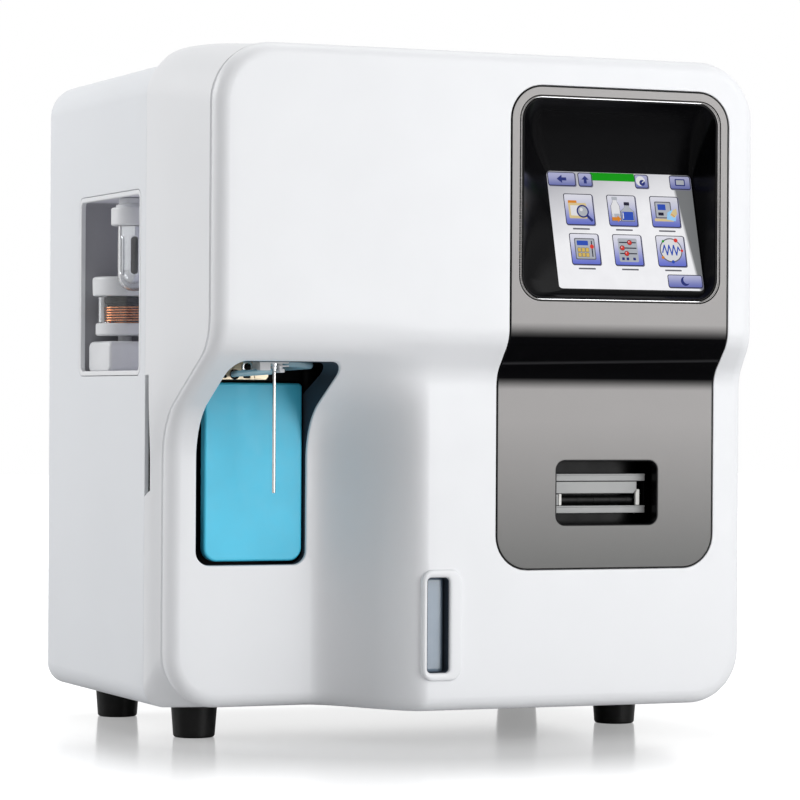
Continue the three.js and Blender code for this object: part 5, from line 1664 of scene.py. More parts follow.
    def front_skin(self, work: Work, line: Line, panel: Line, bay: Line, lamp: Line) -> None:
        """Adds the outer skin with its rounded edge and the edges of its openings.

        Args:
            work: The cover under way.
            line: The fascia's outline.
            panel: The outline of the panel's seat.
            bay: The outline of the probe opening.
            lamp: The outline of the lamp's hole.
        """
        work.loft([FRONT.laid_wide(line.grown(-FRONT.edge * (1 - out)), FRONT.edge * (1 - ahead))
                   for out, ahead in quarter(8)])
        outer = [(FRONT.wide(x, z), z) for x, z in line.grown(-FRONT.edge)]
        soft, edge = 0.7, 1.3
        holes = [panel.grown(self.gap + soft), bay.grown(edge), lamp.grown(0.0)]

        def clear(x: float, z: float) -> bool:
            """Tells if a point lies on the outer skin, clear of its edge and its openings."""
            return (self.within(x, z, FRONT.edge + 1.5) and PANEL_SEAT.clears(x, z, 2.0)
                    and BAY_HOLE.clears(x, z, edge + 1.2) and LAMP_HOLE.clears(x, z, 1.2))

        work.skin(outer, holes, self.grid(clear), lambda x, z: Vector((x, FRONT.face(x, z), z)))
        work.loft(self.fillet(panel, soft, 3, self.gap))
        work.loft([FRONT.laid(panel.grown(self.gap), sink) for sink in (soft, self.seat)])
        work.loft(self.fillet(bay, edge, 4))
        self.bay_lip(work, bay, edge)
        work.loft([FRONT.laid(lamp.points, sink) for sink in (0.0, self.wall)])

    def bay_lip(self, work: Work, bay: Line, edge: float) -> None:
        """Adds the lip of the probe opening, cut back along a slope towards its top.

        Args:
            work: The cover under way.
            bay: The outline of the probe opening.
            edge: How far behind the surface its rounded edge ends.
        """

        def back(z: float) -> float:
            """Gives how far back the lip ends at a height."""
            share = max(0.0, (z - self.lip_bend) / (self.lip_top[0] - self.lip_bend))
            return self.lip_back + (self.lip_top[1] - self.lip_back) * min(1.0, share)

        rim = 0.7
        rows = [[Vector((x, back(z) - out, z)) for x, z in bay.grown(by)]
                for by, out in ((0.0, rim), (rim, 0.0), (self.lip - rim, 0.0), (self.lip, rim))]
        work.loft([FRONT.laid(bay.points, edge), *rows, FRONT.laid(bay.grown(self.lip), self.wall)])

    @staticmethod
    def on_panel(x: float, z: float) -> bool:
        """Tells if a point lies on the panel, clear of its edge and of its two holes."""
        return (POCKET_HOLE.clears(x, z, 2.0) and PRINTER_HOLE.clears(x, z, 2.0)
                and not PANEL_SEAT.clears(x, z, -8.0))

    def seat_skin(self, work: Work, panel: Line, pocket: Line, printer: Line) -> None:
        """Adds the seat of the control panel and the walls of its two holes.

        Args:
            work: The cover under way.
            panel: The outline of the panel's seat.
            pocket: The outline of the pocket's hole.
            printer: The outline of the printer's hole.
        """
        points = [(x, z) for z in stops(((124.0, 456.0, 12.0), (240.0, 300.0, 2.5)))
                  for x in stops(((16.0, 178.0, 12.0),)) if self.on_panel(x, z)]
        holes = [pocket.grown(self.gap), printer.grown(self.gap)]
        work.skin(panel.grown(self.gap), holes, points,
                  lambda x, z: Vector((x, FRONT.face(x, z) + self.seat, z)))
        for hole in holes:
            work.loft([FRONT.laid(hole, sink) for sink in (self.seat, self.wall)])

    def inner_skin(self, work: Work, line: Line, bay: Line, lamp: Line, pocket: Line, printer: Line) -> None:
        """Adds the inner side of the fascia with its rounded corner to the housing.

        Args:
            work: The cover under way.
            line: The fascia's outline.
            bay: The outline of the probe opening.
            lamp: The outline of the lamp's hole.
            pocket: The outline of the pocket's hole.
            printer: The outline of the printer's hole.
        """
        inner = FRONT.edge - self.wall
        work.loft([FRONT.laid_wide(line.grown(-FRONT.edge + inner * out), self.wall + inner * (1 - ahead))
                   for out, ahead in quarter(4)])
        outer = [(FRONT.wide(x, z), z) for x, z in line.grown(-FRONT.edge)]
        holes = [bay.grown(self.lip), list(lamp.points), pocket.grown(self.gap), printer.grown(self.gap)]

        def clear(x: float, z: float) -> bool:
            """Tells if a point lies on the inner skin, clear of its edge and its openings.

            Args:
                x: Its place across the front.
                z: Its height.

            Returns:
                True if it lies clear.
            """
            return (self.within(x, z, FRONT.edge + 1.5) and BAY_HOLE.clears(x, z, 4.0)
                    and LAMP_HOLE.clears(x, z, 1.2) and POCKET_HOLE.clears(x, z, 2.0)
                    and PRINTER_HOLE.clears(x, z, 2.0))

        points = [p for k, p in enumerate(self.grid(clear)) if k % 2 == 0]
        work.skin(outer, holes, points, lambda x, z: Vector((x, FRONT.face(x, z) + self.wall, z)))

    def housing(self, work: Work, line: Line) -> None:
        """Adds the groove behind the fascia's edge, the housing back to the seam, and its notches.

        Args:
            work: The cover under way.
            line: The fascia's outline.
        """
        rows = []
        for share in (k / 6 for k in range(7)):
            sink = self.groove * math.sin(math.pi * share) ** 0.8
            back = FRONT.edge + self.groove_width * share
            rows.append([Vector((FRONT.wide(x, z) - sink * out[0], FRONT.face(x, z) + back,
                                 z - sink * out[1])) for (x, z), out in zip(line.points, line.outward)])
        work.loft(rows)
        outer = self.band_rings(line, lambda v: 0.0, self.groove_width)
        inner = self.band_rings(line, lambda v: self.wall + (self.rear_wall - self.wall) * v, 0.0)
        last = len(outer) - 1
        skip: set[tuple[int, int]] = set()
        rim_skip: set[tuple[int, int]] = set()
        for first, inside in self.notched(line):
            skip |= {(r, i) for r in range(first, last) for i in inside[:-1]}
            rim_skip |= {(0, i) for i in inside[:-1]}
            work.loft([[outer[first][i] for i in inside], [inner[first][i] for i in inside]], False)
            for i in (inside[0], inside[-1]):
                work.loft([[outer[r][i] for r in range(first, last + 1)],
                           [inner[r][i] for r in range(first, last + 1)]], False)
        work.loft(outer, True, skip)
        work.loft(inner, True, skip)
        work.loft([outer[last], inner[last]], True, rim_skip)


# Control panel and screen pocket


@dataclass
class ControlPanel:
    """The metallic panel let into the front cover, with the trim round the screen pocket."""

    thickness: float = 2.2
    fillet: float = 0.3
    edge: float = 0.9
    hole_gap: float = 0.3
    hole_edge: float = 0.6

    def build(self) -> None:
        """Builds the panel as one folded sheet with rounded edges and the two holes."""
        base = PANEL_SEAT.line(14, PANEL_ACROSS, PANEL_UP)
        line = Line(tuple(base.grown(-self.edge)), base.outward)
        pocket = POCKET_HOLE.line(12).grown(self.hole_gap)
        printer = PRINTER_HOLE.line(10)
        work = Work()
        rows = [FRONT.laid(line.grown(-self.fillet * (1 - out)), self.fillet * (1 - ahead))
                for out, ahead in quarter(4)]
        work.loft([*rows, FRONT.laid(line.points, self.thickness)])
        points = [(x, z) for z in stops(((124.0, 456.0, 12.0), (240.0, 300.0, 2.5)))
                  for x in stops(((16.0, 178.0, 9.0),)) if FrontCover.on_panel(x, z)]
        work.skin(line.grown(-self.fillet), [pocket, printer.grown(self.hole_edge)], points,
                  lambda x, z: Vector((x, FRONT.face(x, z), z)))
        work.skin(list(line.points), [pocket, list(printer.points)], points,
                  lambda x, z: Vector((x, FRONT.face(x, z) + self.thickness, z)))
        work.loft(FrontCover.fillet(printer, self.hole_edge, 3))
        for hole, start in ((pocket, 0.0), (printer.points, self.hole_edge)):
            work.loft([FRONT.laid(hole, sink) for sink in (start, self.thickness)])
        work.done("panel_sheet", "front_door", Palette.PANEL, "panel_grey", ("control_panel",), 32.0)
        # A black ring on the panel's outer edge: painted shade for the gap between the panel and the cover.
        edge = ((-self.edge, 0.25), (-self.edge, 0.0), (-0.25, 0.0), (0.0, 0.25), (0.0, self.thickness),
                (-self.edge, self.thickness), (-self.edge, 0.25))
        rows = [FRONT.laid(base.grown(by), sink) for by, sink in edge]
        Work().loft(rows).done("panel_gap_shade", "front_door", Palette.GLOSS, "gloss_black")


@dataclass
class ScreenPocket:
    """The glossy black pocket that holds the screen, with its trim ring."""

    depth: float = 41.0
    rim: float = 1.6
    screen: Colour = (110.2, -159.0, 359.2)
    width: float = 115.2
    height: float = 87.6
    tilt: float = 15.4
    corner: float = 3.5
    border: float = 2.3
    bowl: float = 0.45

    def lean(self) -> Matrix:
        """Gives the turn and place of the leaning screen."""
        return Matrix.Translation(Vector(self.screen)) @ Matrix.Rotation(-math.radians(self.tilt), 4, "X")

    def build(self) -> None:
        """Builds the pocket as one lofted skin: rim, hollow walls, ledge, outer walls and back."""
        line = POCKET_HOLE.line(16, stops(((30.0, 165.0, 12.0),)), stops(((325.0, 435.0, 12.0),)))
        mouth = line.grown(-self.rim)
        lean = self.lean()
        targets = self.facing(line, lean)
        rim = 0.4
        edge = ((0.0, 0.5), (-0.25, 0.12), (-0.6, 0.0), (-self.rim + rim, 0.0), (-self.rim, rim))
        rows = [level(Axis.Y, line, by, FRONT.y + sink) for by, sink in edge]
        y = FRONT.y + rim
        steps = 14
        for t in (k / steps for k in range(1, steps + 1)):
            inward = self.bowl * (1 - math.cos(t * math.pi / 2)) + (1 - self.bowl) * t
            back = self.bowl * math.sin(t * math.pi / 2) + (1 - self.bowl) * t
            rows.append([Vector((px + (goal.x - px) * inward, y + (goal.y - y) * back,
                                 pz + (goal.z - pz) * inward)) for (px, pz), goal in zip(mouth, targets)])
        rows += self.ledge_rows(line, targets, lean)
        work = Work()
        work.loft(rows)
        work.done("pocket_moulding", "front_door", Palette.GLOSS, "gloss_black", ("screen_bezel",), 40.0)
        self.trim()

    def facing(self, line: Line, lean: Matrix) -> list[Vector]:
        """Gives for each point of the mouth the point of the screen's opening that it runs to.

        Args:
            line: The pocket's outline.
            lean: The turn and place of the screen.

        Returns:
            The points in space.
        """
        (left, right), (low, high) = POCKET_HOLE.across, POCKET_HOLE.up
        half_x = (right - left) / 2 - POCKET_HOLE.radius
        half_z = (high - low) / 2 - POCKET_HOLE.radius
        middle = ((left + right) / 2, (low + high) / 2)
        inner_x, inner_z = self.width / 2 - self.corner, self.height / 2 - self.corner
        found = []
        for (px, pz), out in zip(line.points, line.outward):
            u = max(-1.0, min(1.0, (px - middle[0]) / half_x)) * inner_x
            v = max(-1.0, min(1.0, (pz - middle[1]) / half_z)) * inner_z
            found.append(lean @ Vector((u + self.corner * out[0], -0.8, v + self.corner * out[1])))
        return found

    def ledge_rows(self, line: Line, targets: Sequence[Vector], lean: Matrix) -> list[list[Vector]]:
        """Makes the rings behind the opening: the ledge over the glass, its sides and the outer walls.

        Args:
            line: The pocket's outline.
            targets: The edge of the screen's opening.
            lean: The turn and place of the screen.

        Returns:
            The rings, from the opening round to the front again.
        """
        back = lean.to_3x3() @ Vector((0.0, 1.0, 0.0))
        centre = Vector(self.screen)
        rows = []
        for out_by, back_by in ((0.0, 0.5), (self.border, 0.5), (self.border, 12.0)):
            wide, high = 1 + out_by * 2 / self.width, 1 + out_by * 2 / self.height
            local = [point - centre for point in targets]
            rows.append([centre + Vector((p.x * wide, p.y, p.z * high)) + back * back_by for p in local])
        end = FRONT.y + self.depth
        rows.append([Vector((p.x, end - 0.5, p.z)) for p in rows[-1]])
        return rows + [level(Axis.Y, line, by, y)
                       for by, y in ((-0.6, end - 0.5), (0.0, end - 1.0), (0.0, FRONT.y + 0.5))]

    def trim(self) -> None:
        """Lays the thin bright ring round the pocket, with a dark line outside it."""
        wide = rounded((18.0, 176.4), (308.0, 452.8), 18.0, 16)
        soft, foot = 0.05, 0.6
        for name, finish, outer, inner, face in (("trim_dark", Palette.BLACK, 0.0, -0.7, 0.05),
                                                 ("trim_bright", Palette.TRIM, -0.7, -1.7, 0.0),
                                                 ("trim_inner", Palette.GLOSS, -1.7, -2.1, 0.05),
                                                 ("trim_line", Palette.TRIM, -2.1, -2.5, 0.0)):
            section = ((outer, foot), (outer - soft, face), (inner + soft, face), (inner, foot),
                       (outer, foot))
            rows = [level(Axis.Y, wide, by, FRONT.y + sink) for by, sink in section]
            slot = "bright_alloy" if finish is Palette.TRIM else "gloss_black"
            Work().loft(rows).done(name, "front_door", finish, slot)


# Wrap cover


@dataclass
class WrapCover:
    """The bent sheet over the top and both sides, with the window cut in its left side."""

    y: Pair = (-49.4, 177.5)
    half: float = 210.0
    bottom: float = 23.0
    top: float = 476.3
    corner: float = 24.0
    low_corner: float = 16.0
    wall: float = 3.0
    edge: float = 0.9

    def section(self, inner: float) -> list[Pair]:
        """Draws the sheet's section from the lower right edge over the top to the lower left one.

        Args:
            inner: How far inside the outer side the line lies.

        Returns:
            Points in X and Z, without the flat of the left side.
        """
        low_x, top_x = self.half - self.low_corner, self.half - self.corner
        low_z, top_z = self.bottom + self.low_corner, self.top - self.corner
        arcs = ((low_x, low_z, self.low_corner, -90.0), (top_x, top_z, self.corner, 0.0),
                (-top_x, top_z, self.corner, 90.0), (-low_x, low_z, self.low_corner, 180.0))
        points: list[Pair] = []
        for cx, cz, radius, start in arcs:
            turns = [math.radians(start + 90.0 * k / 12) for k in range(13)]
            points += [(cx + (radius - inner) * math.cos(a), cz + (radius - inner) * math.sin(a))
                       for a in turns]
        return points

    def build(self) -> None:
        """Builds the sheet as an outer and an inner skin joined round every edge, flat after three arcs."""
        work = Work()
        window = SIDE_HOLE.line(10)
        y0, y1 = self.y
        edge = self.edge
        outer, inner = self.section(0.0), self.section(self.wall)
        flat = len(outer) * 3 // 4 - 1
        for points, sink in ((outer, 0.0), (inner, self.wall)):
            cut = edge if sink == 0 else 0.0
            for part in (points[:flat + 1], points[flat + 1:]):
                work.loft([[Vector((px, y, pz)) for px, pz in part]
                           for y in stops(((y0 + cut, y1 - cut, 25.0),))], False)
            self.left_side(work, window, points[flat], points[flat + 1], sink, cut)
        middle, rim = self.section(edge * 0.3), self.section(edge)
        for near, sign in ((y0, 1.0), (y1, -1.0)):
            work.loft([[Vector((px, near + sign * sink, pz)) for px, pz in line]
                       for line, sink in ((outer, edge), (middle, edge * 0.3), (rim, 0.0), (inner, 0.0))],
                      False)
        self.low_edges(work, outer, inner)
        work.loft([level(Axis.X, window, by, -self.half + sink)
                   for by, sink in ((0.6, 0.0), (0.2, 0.2), (0.0, 0.6), (0.0, self.wall))])
        work.done("wrap_sheet", "chassis", Palette.SIDE, "side_white", ("wrap_cover",), 32.0)

    def left_side(self, work: Work, window: Line, top: Pair, low: Pair, sink: float, edge: float) -> None:
        """Adds one skin of the flat left side with the window in it.

        Args:
            work: The cover under way.
            window: The outline of the window.
            top: The upper end of the flat side, in X and Z.
            low: The lower end of the flat side, in X and Z.
            sink: How far inside the outer side the skin lies.
            edge: Width of the rounded edges at the front and the rear.
        """
        x = -self.half + sink
        ys = stops(((self.y[0] + edge, self.y[1] - edge, 25.0),))
        up = stops(((low[1], top[1], 30.0),))
        outline = [(y, low[1]) for y in ys] + [(ys[-1], z) for z in up[1:-1]]
        outline += [(y, top[1]) for y in reversed(ys)] + [(ys[0], z) for z in reversed(up[1:-1])]
        hole = window.grown(0.6 if sink == 0 else 0.0)
        points = [(y, z) for y in ys[1:-1] for z in up[1:-1] if SIDE_HOLE.clears(y, z, 4.0)]
        work.skin(outline, [hole], points, lambda u, v: Vector((x, u, v)))

    def low_edges(self, work: Work, outer: Sequence[Pair], inner: Sequence[Pair]) -> None:
        """Closes the two lower edges of the sheet.

        Args:
            work: The cover under way.
            outer: The section's outer line.
            inner: The section's inner line.
        """
        ys = stops(((self.y[0] + self.edge, self.y[1] - self.edge, 25.0),))
        for end in (0, -1):
            first = [Vector((outer[end][0], y, outer[end][1])) for y in ys]
            second = [Vector((inner[end][0], y, inner[end][1])) for y in ys]
            work.loft([first, second], False)


# Status lamp and display


@dataclass
class StatusLamp:
    """The raised white frame low on the cover, the dark sheet of painted shade inside its mouth, and its
    smoked lens.
    """

    frame: Line = rounded((-43.75, -14.25), (45.5, 122.5), 8.0)
    mouth: Line = rounded((-40.1, -23.7), (51.0, 117.0), 3.0)
    face: float = -158.5
    back: float = -142.5
    lens: float = -149.0

    def build(self) -> None:
        """Builds the frame, the dark sheet of painted shade inside its mouth, and the lens."""
        rows = [FRONT.laid(self.frame.points, 0.5)]
        rows += [level(Axis.Y, self.frame, by, self.face + sink)
                 for by, sink in ((0.0, 1.6), (-0.25, 0.9), (-0.8, 0.3), (-1.7, 0.0))]
        rows += [level(Axis.Y, self.mouth, by, self.face + sink)
                 for by, sink in ((2.4, 0.05), (1.0, 0.35), (0.35, 0.9), (0.0, 1.8))]
        rows += [level(Axis.Y, self.mouth, by, self.back) for by in (0.0, 1.4)]
        rows += [FRONT.laid(self.mouth.grown(1.4), 0.3), rows[0]]
        Work().loft(rows).done("lamp_frame", "front_door", Palette.COVER, "cover_white",
                               ("status_lamp_frame",))
        # A dark tube of painted shade over the walls of the frame's mouth.
        end = self.lens + 0.3
        section = ((-0.05, -156.4), (-0.5, -156.4), (-0.5, end), (-0.05, end), (-0.05, -156.4))
        tube = [level(Axis.Y, self.mouth, by, y) for by, y in section]
        Work().loft(tube).done("lamp_shade_sheet", "front_door", Palette.SHADE, "black_plastic")
        dome = [level(Axis.Y, self.mouth, by, self.lens + sink)
                for by, sink in ((-0.15, 3.0), (-0.15, 0.2), (-0.9, -0.2), (-1.8, -0.4), (-2.8, -0.5))]
        Work().loft(dome, ends=True).done("lamp_lens", "front_door", Palette.LENS, "lamp_lens",
                                          ("status_lamp_lens",))


class Sketch:
    """Flat shapes of the display, laid in thin layers on the glass and gathered by colour."""

    layer: float = 0.06

    def __init__(self) -> None:
        """Starts an empty sketch."""
        self.works: dict[Finish, Work] = {}
        self.origin: Pair = (0.0, 0.0)

    def shape(self, finish: Finish, layer: int, points: Sequence[Pair]) -> None:
        """Adds a flat shape of one colour.

        Args:
            finish: Its colour.
            layer: Its layer, from 1 on the glass upwards.
            points: Its outline round the sketch's present origin.
        """
        face = -self.layer * layer
        moved = [(self.origin[0] + p[0], self.origin[1] + p[1]) for p in points]
        self.works.setdefault(finish, Work()).pierced(Axis.Y, (face, face + self.layer), moved)

    def block(self, finish: Finish, layer: int, x: Pair, z: Pair, corner: float = 0.5) -> None:
        """Adds a rectangle with round corners."""
        self.shape(finish, layer, rounded(x, z, corner, 4).points)

    def disc(self, finish: Finish, layer: int, centre: Pair, radius: float) -> None:
        """Adds a disc."""
        self.shape(finish, layer, ring(centre, radius, 28).points)

    def stroke(self, finish: Finish, layer: int, points: Sequence[Pair], width: float) -> None:
        """Adds a line of one width through points.

        Args:
            finish: Its colour.
            layer: Its layer.
            points: The points it runs through.
            width: Its width.
        """
        for start, end in zip(points, points[1:]):
            a, b = Vector(start), Vector(end)
            ahead = (b - a).normalized() * (width / 3)
            side = Vector((-ahead.y, ahead.x)) * 1.5
            corners = (a - ahead - side, b + ahead - side, b + ahead + side, a - ahead + side)
            self.shape(finish, layer, [tuple(p) for p in corners])

    def finish(self, place: Matrix) -> None:
        """Moves every colour into place and finishes it as a piece.

        Args:
            place: The turn and place of the display.
        """
        for finish, work in self.works.items():
            work.move(place).done(finish.name.replace("ink", "display"), "front_door", finish, "screen_face",
                                  weighted=False)


@dataclass
class TouchScreen:
    """The screen's glass with its menu of generic signs, which carries no lettering."""

    half: Pair = (58.0, 44.0)
    lit: Pair = (56.0, 42.0)
    thick: float = 4.0
    tile: Pair = (11.2, 11.3)
    columns: tuple[float, ...] = (-33.8, -0.6, 32.9)
    rows: Pair = (14.8, -13.8)
    shift: tuple[float, ...] = (-0.5, 0.0, 0.75)
    stretch: tuple[float, ...] = (1.015, 1.0, 1.022, 1.0)

    def build(self) -> None:
        """Builds the glass and everything the display shows."""
        lean = ScreenPocket().lean()
        glass = Work().plate((-self.half[0], self.half[0]), (0.0, self.thick), (-self.half[1], self.half[1]),
                             Axis.Y, 4.0, 0.4)
        glass.move(lean).done("screen_glass", "front_door", Palette.GLOSS, "screen_face", ("touch_screen",))
        sketch = Sketch()
        u, v = self.lit
        sketch.block(Ink.BASE, 1, (-u - 0.3, u + 0.3), (-v - 0.3, v + 0.2), 3.0)
        self.bars(sketch)
        signs = ((self.folder, self.bottles, self.machine), (self.keypad, self.sliders, self.gauge))
        for row, finish, z in ((0, Ink.TILE_HIGH, self.rows[0]), (1, Ink.TILE_LOW, self.rows[1])):
            for x, sign in zip(self.columns, signs[row]):
                sketch.origin = (x + row * 1.0, z)
                self.key(sketch, finish, (-self.tile[0], self.tile[0]), (-self.tile[1], self.tile[1]))
                sketch.block(Ink.GREY, 2, (-6.5, 6.5), (-14.6, -13.5), 0.4)
                sign(sketch)
        sketch.origin = (0.0, 0.0)
        sketch.finish(lean @ Matrix.Translation(self.shift) @ Matrix.Diagonal(self.stretch))

    @staticmethod
    def key(sketch: Sketch, finish: Finish, x: Pair, z: Pair) -> None:
        """Draws one key: its shade, its dark outline and its face.

        Args:
            sketch: The sketch it is drawn on.
            finish: The colour of its face.
            x: Its span across.
            z: Its span upwards.
        """
        sketch.block(Ink.SHADE, 2, (x[0] + 0.3, x[1] + 0.55), (z[0] - 0.55, z[1] - 0.3), 1.5)
        sketch.block(Ink.EDGE, 3, x, z, 1.5)
        sketch.block(finish, 4, inset(x, 0.55), inset(z, 0.55), 1.1)

    def bars(self, sketch: Sketch) -> None:
        """Draws the keys along the top and the one at the lower right.

        Args:
            sketch: The sketch it is drawn on.
        """
        for x in ((-55.4, -34.1), (-32.1, -21.3), (39.2, 55.6)):
            self.key(sketch, Ink.BUTTON, x, (31.6, 41.6))
        self.key(sketch, Ink.BUTTON, (11.8, 22.4), (31.6, 41.6))
        self.key(sketch, Ink.LOW_BUTTON, (28.6, 55.6), (-40.3, -30.8))
        sketch.block(Ink.GREEN, 2, (-22.4, 11.8), (36.2, 42.0), 0.3)
        sketch.shape(Ink.NAVY, 5, ((-29.5, 36.6), (-26.7, 39.4), (-23.9, 36.6), (-25.6, 36.6), (-25.6, 33.8),
                                    (-27.8, 33.8), (-27.8, 36.6)))
        sketch.shape(Ink.NAVY, 5, ((-48.5, 36.6), (-44.6, 39.6), (-44.6, 37.7), (-41.2, 37.7), (-41.2, 35.5),
                                    (-44.6, 35.5), (-44.6, 33.6)))
        sketch.disc(Ink.WHITE, 5, (16.4, 36.8), 3.6)
        sketch.disc(Ink.NAVY, 6, (17.6, 35.6), 2.2)
        sketch.stroke(Ink.WHITE, 7, ((17.6, 35.6), (18.9, 36.9)), 0.6)
        sketch.block(Ink.NAVY, 5, (43.5, 51.3), (34.2, 39.2), 0.6)
        sketch.block(Ink.PALE, 6, (44.3, 50.5), (35.0, 38.4), 0.3)
        sketch.disc(Ink.NAVY, 5, (42.1, -35.5), 3.4)
        sketch.disc(Ink.LOW_BUTTON, 6, (43.6, -34.5), 2.9)

    @staticmethod
    def folder(sketch: Sketch) -> None:
        """Draws a folder under a magnifier.

        Args:
            sketch: The sketch it is drawn on.
        """
        sketch.block(Ink.ORANGE, 5, (-8.2, -1.5), (1.5, 6.4), 0.6)
        sketch.block(Ink.CREAM, 6, (-8.2, 5.6), (-6.6, 4.6), 0.8)
        sketch.block(Ink.WHITE, 7, (-6.8, 4.0), (-4.6, 2.8), 0.5)
        sketch.disc(Ink.NAVY, 8, (2.4, -1.4), 4.7)
        sketch.disc(Ink.PALE, 9, (2.4, -1.4), 3.6)
        sketch.disc(Ink.WHITE, 10, (1.3, -0.2), 1.2)
        sketch.stroke(Ink.NAVY, 8, ((5.9, -4.9), (8.8, -7.8)), 1.9)

    @staticmethod
    def bottles(sketch: Sketch) -> None:
        """Draws a clear and a filled reagent bottle with an arrow between them.

        Args:
            sketch: The sketch it is drawn on.
        """
        for x, half, top, fill, cap in ((-5.2, 3.2, 6.2, Ink.PALE, Ink.PALE),
                                        (3.8, 4.8, 2.6, Ink.BLUE, Ink.EDGE)):
            body = ((x - half, -7.4), (x + half, -7.4), (x + half, top - 3.0), (x + 1.6, top),
                    (x + 1.6, top + 1.6), (x - 1.6, top + 1.6), (x - 1.6, top), (x - half, top - 3.0))
            sketch.shape(Ink.GREY, 5, [(x + (u - x) * 1.1, w * 1.05 - 0.1) for u, w in body])
            sketch.shape(Ink.WHITE if cap is Ink.PALE else Ink.PALE, 6, body)
            sketch.block(fill, 7, (x - half + 0.4, x + half - 0.4),
                         (-7.0, top - 3.4 if fill is Ink.BLUE else -2.4), 0.5)
            sketch.block(cap, 7, (x - 2.1, x + 2.1), (top + 1.2, top + 3.6), 0.4)
            sketch.block(Ink.WHITE, 8, (x - half + 0.9, x - half + 1.6), (-6.0, top - 4.0), 0.3)
        sketch.shape(Ink.ORANGE, 9,
                     ((-8.6, -7.4), (-4.4, -7.4), (-4.4, -8.6), (-1.6, -6.2), (-4.4, -3.8), (-4.4, -5.0),
                      (-8.6, -5.0)))

    @staticmethod
    def machine(sketch: Sketch) -> None:
        """Draws a bench machine and a hand that wipes it.

        Args:
            sketch: The sketch it is drawn on.
        """
        sketch.block(Ink.GREY, 5, (-7.8, 5.0), (-4.8, 7.4), 0.9)
        sketch.block(Ink.PALE, 6, (-7.0, 4.2), (-4.0, 6.6), 0.6)
        sketch.block(Ink.BLUE, 7, (-5.6, 0.6), (1.2, 5.4), 0.4)
        sketch.block(Ink.EDGE, 7, (-5.6, -1.4), (-2.8, -0.6), 0.4)
        sketch.block(Ink.CREAM, 5, (-8.8, 6.2), (-7.0, -5.0), 0.5)
        sketch.shape(Ink.SKY, 8, ((0.6, -5.6), (7.4, -6.8), (8.8, -1.0), (5.4, 1.6), (1.6, -0.6)))
        sketch.shape(Ink.CREAM, 9, ((3.4, -2.4), (6.0, 1.2), (8.9, 2.6), (9.2, -1.6), (6.6, -4.4)))
        sketch.stroke(Ink.ORANGE, 10, ((4.6, -1.6), (6.8, -3.4)), 0.5)

    @staticmethod
    def keypad(sketch: Sketch) -> None:
        """Draws a panel with a display, six keys and a slider.

        Args:
            sketch: The sketch it is drawn on.
        """
        sketch.block(Ink.GREY, 5, (-7.8, 7.8), (-7.6, 7.8), 1.0)
        sketch.block(Ink.PALE, 6, (-7.1, 7.1), (-6.9, 7.1), 0.7)
        sketch.block(Ink.BLUE, 7, (-6.0, 2.6), (2.6, 6.0), 0.5)
        for column in range(3):
            for row in range(2):
                x, z = -5.7 + column * 3.0, -5.6 + row * 3.6
                sketch.block(Ink.EDGE, 7, (x - 0.2, x + 2.5), (z - 0.2, z + 2.9), 0.4)
                sketch.block(Ink.YELLOW, 8, (x, x + 2.3), (z, z + 2.7), 0.3)
        sketch.block(Ink.EDGE, 7, (4.9, 5.7), (-5.6, 6.0), 0.3)
        sketch.disc(Ink.RED, 8, (5.3, 1.8), 1.5)

    @staticmethod
    def sliders(sketch: Sketch) -> None:
        """Draws three sliders with red knobs over a row of small keys.

        Args:
            sketch: The sketch it is drawn on.
        """
        sketch.block(Ink.PALE, 5, (-7.4, 7.4), (-8.6, 8.4), 1.0)
        for x, z in ((1.6, 5.4), (-4.4, 1.4), (-1.4, -2.6)):
            sketch.block(Ink.EDGE, 6, (-6.6, 6.6), (z - 0.4, z + 0.4), 0.3)
            sketch.disc(Ink.EDGE, 7, (x, z), 1.9)
            sketch.disc(Ink.RED, 8, (x, z), 1.6)
            sketch.disc(Ink.WHITE, 9, (x - 0.5, z + 0.5), 0.4)
            sketch.block(Ink.NAVY, 6, (x * 0.2 + z * 1.0 - 2.6, x * 0.2 + z * 1.0 - 0.6), (-7.4, -5.4), 0.3)

    @staticmethod
    def gauge(sketch: Sketch) -> None:
        """Draws a round dial with a trace across it and coloured dots.

        Args:
            sketch: The sketch it is drawn on.
        """
        sketch.disc(Ink.GREY, 5, (0.0, 0.6), 8.8)
        sketch.disc(Ink.WHITE, 6, (0.0, 0.6), 8.0)
        trace = ((-6.8, -1.2), (-5.0, 4.2), (-3.2, -2.8), (-1.4, 4.2), (0.4, -2.8), (2.2, 4.2), (4.0, -2.8),
                 (5.6, 3.0), (6.8, 0.6))
        sketch.stroke(Ink.BLUE, 7, trace, 0.9)
        for x, z, size, colour in ((4.4, 7.8, 1.5, Ink.RED), (-5.6, 7.0, 0.9, Ink.GREEN),
                                   (-7.0, -4.8, 1.1, Ink.ORANGE), (8.4, 0.4, 1.0, Ink.RED),
                                   (0.6, -7.8, 1.2, Ink.BLUE)):
            sketch.disc(colour, 8, (x, z), size)


# Start plate, side window and probe bay


